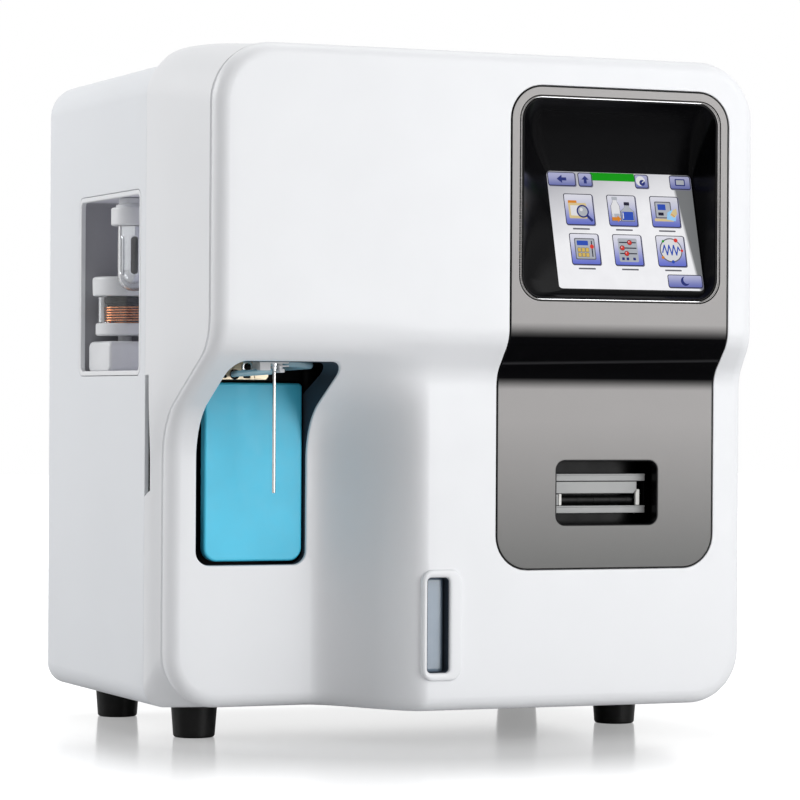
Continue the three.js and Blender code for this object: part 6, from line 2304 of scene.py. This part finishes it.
@dataclass
class StartPlate:
    """The cyan plate behind the needle, on its two guide pins."""

    x: Pair = (-175.7, -102.7)
    z: Pair = (126.1, 251.1)
    y: Pair = (-78.0, -70.0)
    low_corner: float = 9.5
    top_corner: float = 3.2
    rim: float = 1.8
    pins: Pair = (158.1, 218.1)
    pin_x: float = -141.9
    pin_end: float = -55.0

    def build(self) -> None:
        """Builds the plate as one skin with a rounded front rim, and its pins."""
        line = rounded(self.x, self.z, self.low_corner, 10, top_radius=self.top_corner)
        rows = [level(Axis.Y, line, -0.8, self.y[1]), level(Axis.Y, line, 0.0, self.y[1] - 0.8)]
        rows += [level(Axis.Y, line, -self.rim * (1 - ahead), self.y[0] + self.rim * (1 - out))
                 for out, ahead in quarter(6)]
        work = Work().loft(rows, ends=True)
        for z in self.pins:
            work.rod(Axis.Y, (self.pin_x, z), 3.0, (self.y[1] - 0.4, self.pin_end), 0.5, 24)
        work.done("start_plate_shell", "start_button", Palette.CYAN, "cyan_plastic", ("start_plate",))


@dataclass
class SideWindow:
    """The recess in the left side: its lining and lip, the dryer trap, the regulator and the filter jar."""

    line: Line = rounded((-36.0, 101.0), (258.0, 385.0), 5.0)
    front: float = -210.0
    floor: float = -142.0
    wall: float = 2.0
    trap: Pair = (-190.0, 35.0)
    jar: Pair = (-184.0, 74.0)
    bowl: float = 12.3
    lid: float = 24.0
    wire: float = 0.62
    turns: float = 6.5
    turn_steps: int = 32
    packed: float = 6.0 / 6.5
    packed_rise: float = 0.68
    loops: float = 251.5

    def build(self) -> None:
        """Builds the recess and the three fittings in it."""
        self.lining()
        self.dryer()
        self.filter()
        self.regulator()

    def lining(self) -> None:
        """Builds the lining as one cup and the lip round its mouth."""
        cup = ((1.0, self.floor + self.wall), (self.wall, self.floor + 1.0), (self.wall, self.front + 3.6),
               (0.0, self.front + 3.6), (0.0, self.floor - 5.0), (-0.7, self.floor - 2.2),
               (-2.2, self.floor - 0.6), (-4.6, self.floor))
        rows = [level(Axis.X, self.line, by, x) for by, x in cup]
        Work().loft(rows, ends=True).done("window_lining", "chassis", Palette.NICHE, "niche_grey",
                                          ("window_liner",))
        lip = ((1.95, 3.5), (1.95, 0.5), (1.75, 0.12), (1.4, 0.0), (-0.6, 0.0), (-1.05, 0.15), (-1.4, 0.6),
               (-1.4, 3.5), (1.95, 3.5))
        rows = [level(Axis.X, self.line, by, self.front + sink) for by, sink in lip]
        Work().loft(rows).done("window_lip", "chassis", Palette.COVER, "cover_white")

    def dryer(self) -> None:
        """Builds the trap: stepped cap, clear bowl, core with its wire loops, and the sight rod."""
        centre = self.trap
        cap = ((0.0, 364.3), (12.4, 364.3), (16.1, 364.5), (17.0, 365.4), (17.0, 376.4), (16.3, 377.4),
               (13.9, 377.8), (13.5, 378.2), (13.5, 379.4), (12.2, 379.8), (11.5, 380.4), (11.5, 383.9),
               (10.8, 384.6), (0.0, 384.6))
        Work().turned(cap, Axis.Z, centre, 64).done("trap_cap_turned", "chassis", Palette.MILK,
                                                    "milk_plastic", ("trap_cap",))
        r = self.bowl
        wall = ((0.0, 317.3), (4.4, 317.8), (8.3, 319.6), (10.9, 322.6), (12.0, 326.2), (r, 330.0),
                (r, 364.0), (r - 1.5, 364.0), (r - 1.5, 330.0), (10.4, 326.8), (9.5, 323.8), (7.2, 321.2),
                (3.8, 319.5), (0.0, 319.0))
        Work().turned(wall, Axis.Z, centre).done("trap_bowl_clear", "chassis", Palette.GLASS, "clear_bowl",
                                                 ("trap_bowl",))
        core = ((0.0, 322.4), (4.2, 323.2), (7.4, 325.8), (9.0, 329.4), (9.4, 333.0), (9.4, 364.0),
                (0.0, 364.0))
        Work().turned(core, Axis.Z, centre, 48).done("trap_core_body", "chassis", Palette.CHROME,
                                                     "black_plastic", ("trap_core",))
        cage, panes = Work(), Work()
        outer = rounded((-3.0, 3.0), (329.0, 357.0), 2.9, 8)
        for k in range(5):
            angle = math.radians(self.loops + 72.0 * k)
            out = Vector((math.cos(angle), math.sin(angle)))
            side = Vector((-math.sin(angle), math.cos(angle)))
            points = [Vector((*centre, z)) + (out * 9.5 + side * u).to_3d() for u, z in outer.points]
            cage.sweep([*points, points[0], points[1]], 0.6, 10)
            pane = Work().pierced(Axis.Y, (-9.75, -8.6), outer.grown(-0.2))
            pane.move(Matrix.Translation((*centre, 0.0)) @ Matrix.Rotation(angle + math.pi / 2, 4, "Z"))
            panes.take(pane)
        cage.rod(Axis.Z, (centre[0] - 5.0, centre[1] + 13.8), 1.3, (328.0, 353.0), 0.4, 16)
        cage.done("trap_cage", "chassis", Palette.CHROME, "bright_alloy")
        panes.done("trap_panes", "chassis", Palette.BLACK, "black_plastic")

    def filter(self) -> None:
        """Builds the filter: its base and post, the clear jar, the copper winding and the lid."""
        centre = self.jar
        base = ((0.0, 281.6), (5.0, 281.6), (5.0, 285.6), (20.4, 285.6), (21.5, 286.7), (21.5, 293.6),
                (20.7, 294.6), (0.0, 294.6))
        Work().turned(base, Axis.Z, centre, 56).done("filter_base_turned", "chassis", Palette.MILK,
                                                     "milk_plastic", ("filter_base",))
        post = ((0.0, 294.6), (12.6, 294.6), (13.2, 295.2), (13.2, 308.4), (15.8, 310.0), (15.8, 313.6),
                (15.2, 314.1), (0.0, 314.1))
        Work().turned(post, Axis.Z, centre, 48).done("filter_post", "chassis", Palette.BLACK, "black_plastic")
        jar = ((19.6, 294.9), (20.0, 295.3), (20.0, 313.7), (19.6, 314.1), (18.9, 314.1), (18.5, 313.7),
               (18.5, 295.3), (18.9, 294.9))
        Work().turned(jar, Axis.Z, centre, 56).done("filter_jar_clear", "chassis", Palette.CLEAR,
                                                    "clear_bowl", ("filter_jar",))
        arc = [math.radians(140.0 + 4.0 * k) for k in range(12)]
        strip = [(centre[0] + 18.3 * math.cos(a), centre[1] + 18.3 * math.sin(a)) for a in arc]
        strip += [(centre[0] + 16.2 * math.cos(a), centre[1] + 16.2 * math.sin(a)) for a in reversed(arc)]
        Work().pierced(Axis.Z, (295.2, 313.8), strip).done("filter_strip", "chassis", Palette.COVER,
                                                           "milk_plastic")
        low, high = span("filter_coil", Axis.Z)
        left, right = span("filter_coil", Axis.X)
        radius = (right - left) / 2 - self.wire
        count = int(self.turns * self.turn_steps)
        path = []
        for k in range(count + 1):
            angle = 2 * math.pi * k / self.turn_steps
            wound = k / count
            if wound < self.packed:
                share = self.packed_rise * wound / self.packed
            else:
                share = self.packed_rise + (1 - self.packed_rise) * (wound - self.packed) / (1 - self.packed)
            rise = low + self.wire + (high - low - 2 * self.wire) * share
            across, back = centre[0] + radius * math.cos(angle), centre[1] + radius * math.sin(angle)
            path.append(Vector((across, back, rise)))
        Work().sweep(path, self.wire, 10).done("filter_winding", "chassis", Palette.COPPER, "copper_wire",
                                               ("filter_coil",), 60.0, False)
        r = self.lid
        lid = ((0.0, 314.4), (r - 1.6, 314.4), (r - 0.6, 315.0), (r - 0.3, 316.0), (r, 326.4),
               (r - 0.5, 327.8), (r - 1.7, 328.6), (r - 5.0, 328.6), (r - 5.6, 328.1), (0.0, 328.1))
        Work().turned(lid, Axis.Z, centre, 64).done("filter_lid_turned", "chassis", Palette.MILK,
                                                    "milk_plastic", ("filter_lid",))

    def regulator(self) -> None:
        """Builds the regulator block under the filter."""
        section = rounded((46.0, 96.0), (258.3, 281.3), 5.0, 8)
        rows = [level(Axis.X, section, by, x)
                for by, x in ((-0.9, -149.0), (0.0, -149.9), (0.0, -202.2), (-0.35, -203.5), (-1.1, -204.5),
                              (-2.3, -205.0))]
        Work().loft(rows, ends=True).done("regulator_body", "chassis", Palette.MILK, "bright_alloy",
                                          ("regulator_block",))


@dataclass
class ProbeBay:
    """What the opening at the left shows round the needle: bracket, rinse cup, hoses and guard."""

    needle: Pair = (-140.0, -120.0)
    plate_x: Pair = (-177.2, -134.0)
    plate_z: Pair = (253.2, 271.4)
    plate_y: Pair = (-92.7, -89.6)
    screw: Pair = (-149.8, 262.0)
    guard_x: Pair = (-181.0, -101.0)
    guard_z: Pair = (252.5, 271.2)
    guard_y: Pair = (-69.4, -68.4)
    shade_sheet_near: float = 2.6
    shade_sheet_back: float = -73.6
    shade_sheet_bend: float = 243.0
    shade_sheet_rise: float = 24.9
    shade_sheet_run: float = 61.0

    def build(self) -> None:
        """Builds everything in the bay, from the bracket to the hoses."""
        self.lining()
        self.bracket()
        self.cup()
        self.hoses()
        self.probe()

    def lining(self) -> None:
        """Builds a thin dark sheet of painted shade over the opening's walls."""

        def place(x: float, z: float, share: float) -> Vector:
            """Gives the point at a share of the shade sheet's depth, behind a point of the face.

            Args:
                x: The point's place across the front.
                z: The point's height.
                share: The share of the depth.

            Returns:
                The point in space.
            """
            near = FRONT.face(x, z) + self.shade_sheet_near
            climb = max(0.0, min(1.0, (z - self.shade_sheet_bend) / self.shade_sheet_rise))
            far = self.shade_sheet_back - self.shade_sheet_run * climb
            return Vector((x, near + (max(near + 0.2, far) - near) * share, z))

        # The sheet is painted shade on the opening's walls.
        line = BAY_HOLE.line(10, (), [*stops(((130.0, 188.0, 14.0),)), *FOLD_STOPS])
        rows = [[place(x, z, share) for x, z in line.grown(by)]
                for by, share in ((-0.05, 0.0), (-0.35, 0.0), (-0.35, 1.0), (-0.05, 1.0), (-0.05, 0.0))]
        Work().loft(rows).done("bay_shade_sheet", "front_door", Palette.SHADE, "black_plastic")

    def bracket(self) -> None:
        """Builds the bracket with its front apron, the holes in it and the screw."""
        Work().copied("probe_bracket", 0.35).done("bracket_sheet", "chassis", Palette.ZINC, "zinc_bracket",
                                                  ("probe_bracket",), 30.0)
        x, z = self.plate_x, self.plate_z
        outline = ((x[0] + 1.5, z[0]), (x[1] - 2.0, z[0]), (x[1], z[0] + 2.0), (x[1], z[1]), (x[0], z[1]),
                   (x[0], z[0] + 1.5))
        holes = [rounded((x[0] + 5.0, x[0] + 12.4), (z[0] + 1.2, z[0] + 3.4), 0.8, 4).points,
                 rounded((-152.6, -147.4), (z[0] + 1.0, z[0] + 2.8), 0.8, 4).points]
        Work().pierced(Axis.Y, self.plate_y, outline, [list(hole)[::-1] for hole in holes], 0.25).done(
            "bracket_apron", "chassis", Palette.ZINC, "zinc_bracket")
        face = self.plate_y[0]
        dark = Work()
        for hole in holes:
            dark.pierced(Axis.Y, (face + 0.3, face + 0.6), hole)
        dark.hoop(Axis.Y, (-159.0, 256.9), 2.9, face - 0.2, 0.8, 24)
        dark.done("bracket_holes", "chassis", Palette.BLACK, "black_plastic")
        section = ((1.4, face), (4.4, face), (4.5, face - 0.2), (4.2, face - 0.5), (1.4, face - 0.5))
        washer = Work().turned(section, Axis.Y, self.screw, 32)
        washer.done("bracket_washer", "chassis", Palette.CHROME, "bright_alloy")
        head = Work()
        pan_screw(head, Axis.Y, self.screw, face - 0.4, 2.6, -1.0)
        for wide, high in ((1.7, 0.3), (0.3, 1.7)):
            head.box((self.screw[0] - wide, self.screw[0] + wide), (face - 1.95, face - 1.5),
                     (self.screw[1] - high, self.screw[1] + high), 0.08)
        head.done("bracket_screw", "chassis", Palette.BLACK, "dark_alloy")
        ears = Work().plate((x[0] + 2.2, x[0] + 6.2), (face - 0.5, face + 0.2), (z[0] + 4.6, z[0] + 12.0),
                            Axis.Y, 1.4, 0.25)
        proud = (face - 0.7, face + 0.2)
        ears.plate((-160.6, -154.8), proud, (z[0] + 6.2, z[1] - 4.2), Axis.Y, 1.2, 0.3)
        ears.plate((-144.6, -138.2), proud, (z[0] + 0.8, z[0] + 6.6), Axis.Y, 0.8, 0.3)
        ears.done("bracket_ears", "chassis", Palette.ZINC, "zinc_bracket")

    def cup(self) -> None:
        """Builds the rinse cup: white block, steel collar round the needle, and the outlet at its right."""
        x, y = self.needle
        body = Work().plate((-153.4, -145.4), (-127.4, -112.6), (259.4, 268.6), Axis.Y, 0.6, 0.4)
        body.plate((-145.8, -131.2), (-125.4, -112.6), (264.2, 271.1), Axis.Y, 0.7, 0.4)
        body.plate((-138.4, -131.6), (-126.6, -113.4), (262.0, 262.9), Axis.Y, 0.3, 0.1)
        body.plate((-138.0, -134.2), (-125.0, -114.0), (258.0, 260.6), Axis.Y, 0.8, 0.3)
        body.plate((-137.6, -135.2), (-123.4, -115.4), (260.4, 264.4), Axis.Y, 0.5, 0.3)
        body.done("rinse_block", "chassis", Palette.COVER, "milk_plastic", ("rinse_cup",))
        collar = ((1.4, 259.0), (1.7, 259.0), (2.0, 259.4), (2.0, 262.4), (2.4, 262.8), (2.4, 264.2),
                  (2.0, 264.6), (2.0, 270.9), (1.4, 270.9))
        Work().turned(collar, Axis.Z, (x, y), 40).done("rinse_collar", "chassis", Palette.CHROME,
                                                       "bright_alloy")

    def hoses(self) -> None:
        """Builds the two hoses and the dark guard they pass through."""
        left = bent(((-142.2, -120.0, 258.8), (-170.0, -119.5, 256.9), (-159.0, -93.0, 256.9),
                     (-164.6, -70.0, 257.2), (-164.6, -46.4, 258.6)), 5.0, 8)
        right = bent(((-135.6, -120.0, 265.6), (-111.6, -119.0, 263.6), (-114.9, -80.0, 262.6),
                      (-114.9, -46.4, 262.6)), 7.0, 8)
        for name, path, radius in (("left", left, 2.1), ("right", right, 2.9)):
            Work().sweep(path, radius, 20).done("hose_" + name, "chassis", Palette.TUBE, "hose_clear",
                                                ("rinse_hose_" + name,), 50.0, False)
        x, z = self.guard_x, self.guard_z
        outline = rounded(x, z, 2.0, 5).points
        holes = [list(ring(centre, 4.4, 24).points)[::-1] for centre in ((-164.6, 257.4), (-114.9, 262.6))]
        Work().pierced(Axis.Y, self.guard_y, outline, holes, 0.2).done("splash_guard", "chassis",
                                                                       Palette.BLACK, "black_plastic")

    def probe(self) -> None:
        """Builds the needle with its hub, and dresses the carriage."""
        low, high = span("needle", Axis.Z)
        profile = ((0.0, low + 0.6), (0.5, low + 0.5), (0.6, low), (1.0, low), (1.2, low + 0.5), (1.2, 306.3),
                   (3.4, 306.3), (4.0, 306.9), (4.0, high - 0.6), (3.4, high), (0.0, high))
        Work().turned(profile, Axis.Z, self.needle, 28).done("needle_tube", "probe", Palette.NEEDLE,
                                                             "needle_steel", ("needle",))
        Work().copied("needle_carriage", 0.4).done("carriage_block", "probe", Palette.ALLOY, "bright_alloy",
                                                   ("needle_carriage",), 30.0)


# Printer, feet and rear fittings


@dataclass
class Printer:
    """The receipt printer behind the panel's window."""

    x: Pair = (54.0, 135.0)
    z: Pair = (160.2, 188.2)
    y: Pair = (-140.6, -128.8)
    face: float = -141.9
    slot_x: Pair = (69.1, 126.9)
    slot_z: Pair = (165.8, 173.9)

    def build(self) -> None:
        """Builds the face of the printer and the lining of the window."""
        outline = rounded(self.x, self.z, 1.0, 4).points
        slot = rounded(self.slot_x, self.slot_z, 0.6, 3).points
        recess = rounded((128.9, 134.2), (166.2, 182.4), 0.6, 3).points
        work = Work().pierced(Axis.Y, self.y, outline, [list(slot)[::-1], list(recess)[::-1]], 0.2)
        work.done("printer_base", "chassis", Palette.GLOSS, "printer_grey", ("printer_faceplate",))
        self.bands()
        middle = (-135.6, 169.4)
        roller = Work().rod(Axis.X, middle, 3.1, inset(self.slot_x, -1.0), 0.3)
        for x in stops(((72.0, 124.0, 13.0),)):
            roller.rod(Axis.X, middle, 3.35, (x - 2.2, x + 2.2), 0.2)
        roller.done("printer_guide", "chassis", Palette.RUBBER, "roller_rubber")
        near, far = -155.7, -148.0
        section = ((-0.06, near), (-0.5, near), (-0.8, near + 0.4), (-0.8, far), (-0.06, far), (-0.06, near))
        rows = [level(Axis.Y, PRINTER_HOLE.line(10), by, y) for by, y in section]
        Work().loft(rows).done("printer_window", "front_door", Palette.GLOSS, "black_plastic")

    def bands(self) -> None:
        """Builds the grey bands, the flap and the posts in front of the base."""
        y = (self.face, self.y[0] + 0.3)
        grey = Work()
        grey.box(inset(self.x, 0.2), y, (183.1, 188.1), 0.35)
        grey.box(inset(self.x, 0.2), (y[0] - 0.5, y[1]), (186.9, 188.1), 0.3)
        flap = ((56.2, 182.5), (56.2, 180.0), (57.4, 174.3), (125.9, 174.3), (128.2, 177.0), (128.2, 182.5))
        grey.pierced(Axis.Y, (y[0] - 0.2, y[1]), flap[::-1], (), 0.3)
        grey.box((self.x[0] + 0.2, 68.8), y, (165.9, 173.6), 0.35)
        grey.box(inset(self.x, 0.2), y, (160.3, 165.5), 0.35)
        grey.box(inset(self.x, 0.2), (y[0] - 0.5, y[1]), (164.4, 165.5), 0.3)
        grey.done("printer_bands", "chassis", Palette.PRINTER, "printer_grey")
        bright = Work()
        bright.box((66.7, 68.8), (y[0] - 0.6, y[1]), (165.9, 173.9), 0.3)
        bright.box((127.2, 130.2), (y[0] - 0.8, y[1]), (165.9, 175.2), 0.35)
        bright.box((127.9, 130.2), (y[0] - 0.8, y[1]), (174.8, 177.0), 0.35)
        bright.done("printer_posts", "chassis", Palette.PAPER, "printer_grey")


@dataclass
class Feet:
    """Four turned rubber feet."""

    x: float = 166.0
    front: float = -32.0
    rear: float = 141.0

    def build(self) -> None:
        """Builds each foot with a rounded tread and a shallow hollow under it."""
        profile = ((0.0, 0.8), (8.6, 0.8), (10.0, 0.0), (13.2, 0.0), (14.2, 0.5), (14.8, 1.6), (16.3, 21.0),
                   (16.5, 22.0), (16.2, 22.7), (0.0, 22.7))
        for name, x, y in (("front_left", -self.x, self.front), ("front_right", self.x, self.front),
                           ("rear_left", -self.x, self.rear), ("rear_right", self.x, self.rear)):
            Work().turned(profile, Axis.Z, (x, y), 56).done("pad_" + name, "chassis", Palette.RUBBER,
                                                            "foot_rubber", ("foot_" + name,))


@dataclass
class RearFittings:
    """What stands on the rear panel: the fan guard and the screws."""

    panel: float = 169.5
    fan: Pair = (-95.0, 330.0)
    guard: Pair = (41.0, 171.6)

    def corner(self, k: int, reach: float) -> Pair:
        """Gives a point on one of the fan's four diagonals."""
        angle = math.pi / 4 + math.pi / 2 * k
        return self.fan[0] + reach * math.cos(angle), self.fan[1] + reach * math.sin(angle)

    def build(self) -> None:
        """Builds the guard and the screws."""
        wires = Work()
        radius, y = self.guard
        for share in (0.22, 0.45, 0.68, 0.91):
            wires.hoop(Axis.Y, self.fan, radius * share, y, 1.0, 56)
        for k in range(4):
            start, end = self.corner(k, 9.0), self.corner(k, radius)
            path = bent(((start[0], y + 0.9, start[1]), (end[0], y + 0.9, end[1]),
                         (end[0], self.panel, end[1])), 1.6, 5)
            wires.sweep(path, 1.0, 10)
        wires.done("fan_guard", "chassis", Palette.CHROME, "bright_alloy")
        screws = Work()
        for x in (-198.0, -66.0, 66.0, 198.0):
            for z in (34.0, 465.0):
                pan_screw(screws, Axis.Y, (x, z), self.panel, 3.2, 1.0)
        for k in range(4):
            pan_screw(screws, Axis.Y, self.corner(k, 48.0), self.panel, 3.4, 1.0)
        screws.done("rear_screws", "chassis", Palette.CHROME, "bright_alloy")


# Pieces dressed from the CAD


@dataclass(frozen=True)
class Item:
    """A CAD node dressed as it is, from a merged copy with softened edges."""

    node: str
    body: str
    finish: Finish
    slot: str
    edge: float = 0.3

    def build(self) -> None:
        """Builds the copy."""
        work = Work().copied(self.node, self.edge)
        work.done(self.node + "_dressed", self.body, self.finish, self.slot, (self.node,), 30.0)


ITEMS = (
    Item("base_tray", "chassis", Palette.STEEL, "sheet_steel"),
    Item("rear_panel", "chassis", Palette.REAR, "rear_steel"),
    # The front frame is given black: painted shade for the dark inside seen through the openings.
    Item("front_frame", "chassis", Palette.BLACK, "sheet_steel"),
    Item("hinge_pin_lower", "chassis", Palette.CHROME, "bright_alloy"),
    Item("hinge_pin_upper", "chassis", Palette.CHROME, "bright_alloy"),
    Item("hinge_leaf_lower", "front_door", Palette.STEEL, "bright_alloy"),
    Item("hinge_leaf_upper", "front_door", Palette.STEEL, "bright_alloy"),
    Item("catch_magnet", "chassis", Palette.DARK, "dark_alloy"),
    Item("catch_plate", "front_door", Palette.CHROME, "bright_alloy"),
    Item("display_board", "front_door", Palette.BOARD_FACE, "board_green"),
    Item("lift_cylinder", "chassis", Palette.BLACK, "dark_alloy"),
    Item("start_plate_mount", "chassis", Palette.BLACK, "black_plastic"),
    Item("start_switch", "chassis", Palette.BLACK, "black_plastic"),
    Item("printer_shelf", "chassis", Palette.STEEL, "sheet_steel"),
    Item("printer_body", "chassis", Palette.GLOSS, "printer_grey"),
    Item("platen_roller", "platen", Palette.RUBBER, "roller_rubber"),
    Item("paper_spindle", "chassis", Palette.BLACK, "black_plastic"),
    Item("paper_roll", "paper", Palette.PAPER, "paper_white"),
    Item("valve_stator", "chassis", Palette.BRASS, "valve_brass"),
    Item("valve_rotor", "valve", Palette.ALLOY, "bright_alloy"),
    Item("valve_motor", "chassis", Palette.DARK, "dark_alloy"),
    Item("detector_block", "chassis", Palette.ALLOY, "bright_alloy", 0.6),
    Item("mixing_chamber", "chassis", Palette.CLEAR, "clear_bowl"),
    Item("solenoid_bank", "chassis", Palette.BLACK, "black_plastic", 0.6),
    Item("main_board", "chassis", Palette.BOARD_UPRIGHT, "board_green", 0.2),
    Item("power_supply", "chassis", Palette.STEEL, "sheet_steel", 0.6),
    Item("air_pump", "chassis", Palette.DARK, "dark_alloy", 0.6),
    Item("fan_frame", "chassis", Palette.BLACK, "black_plastic"),
    Item("fan_impeller", "fan", Palette.DARK, "black_plastic", 0.2),
    Item("power_inlet", "chassis", Palette.BLACK, "black_plastic"),
    Item("power_rocker", "rocker", Palette.GLOSS, "black_plastic"),
    Item("reagent_ports", "chassis", Palette.MILK, "milk_plastic"),
)


def main() -> None:
    """Builds the studio and every part of the machine."""
    logging.basicConfig(level=logging.INFO, format="%(message)s")
    studio = Studio()
    studio.camera()
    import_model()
    studio.floor()
    studio.lights()
    for part in (FrontCover(), ControlPanel(), ScreenPocket(), StatusLamp(), TouchScreen(), WrapCover(),
                 SideWindow(), ProbeBay(), StartPlate(), Printer(), Feet(), RearFittings(), *ITEMS):
        part.build()
        LOG.info("%s done", type(part).__name__)


if __name__ == "__main__":
    main()
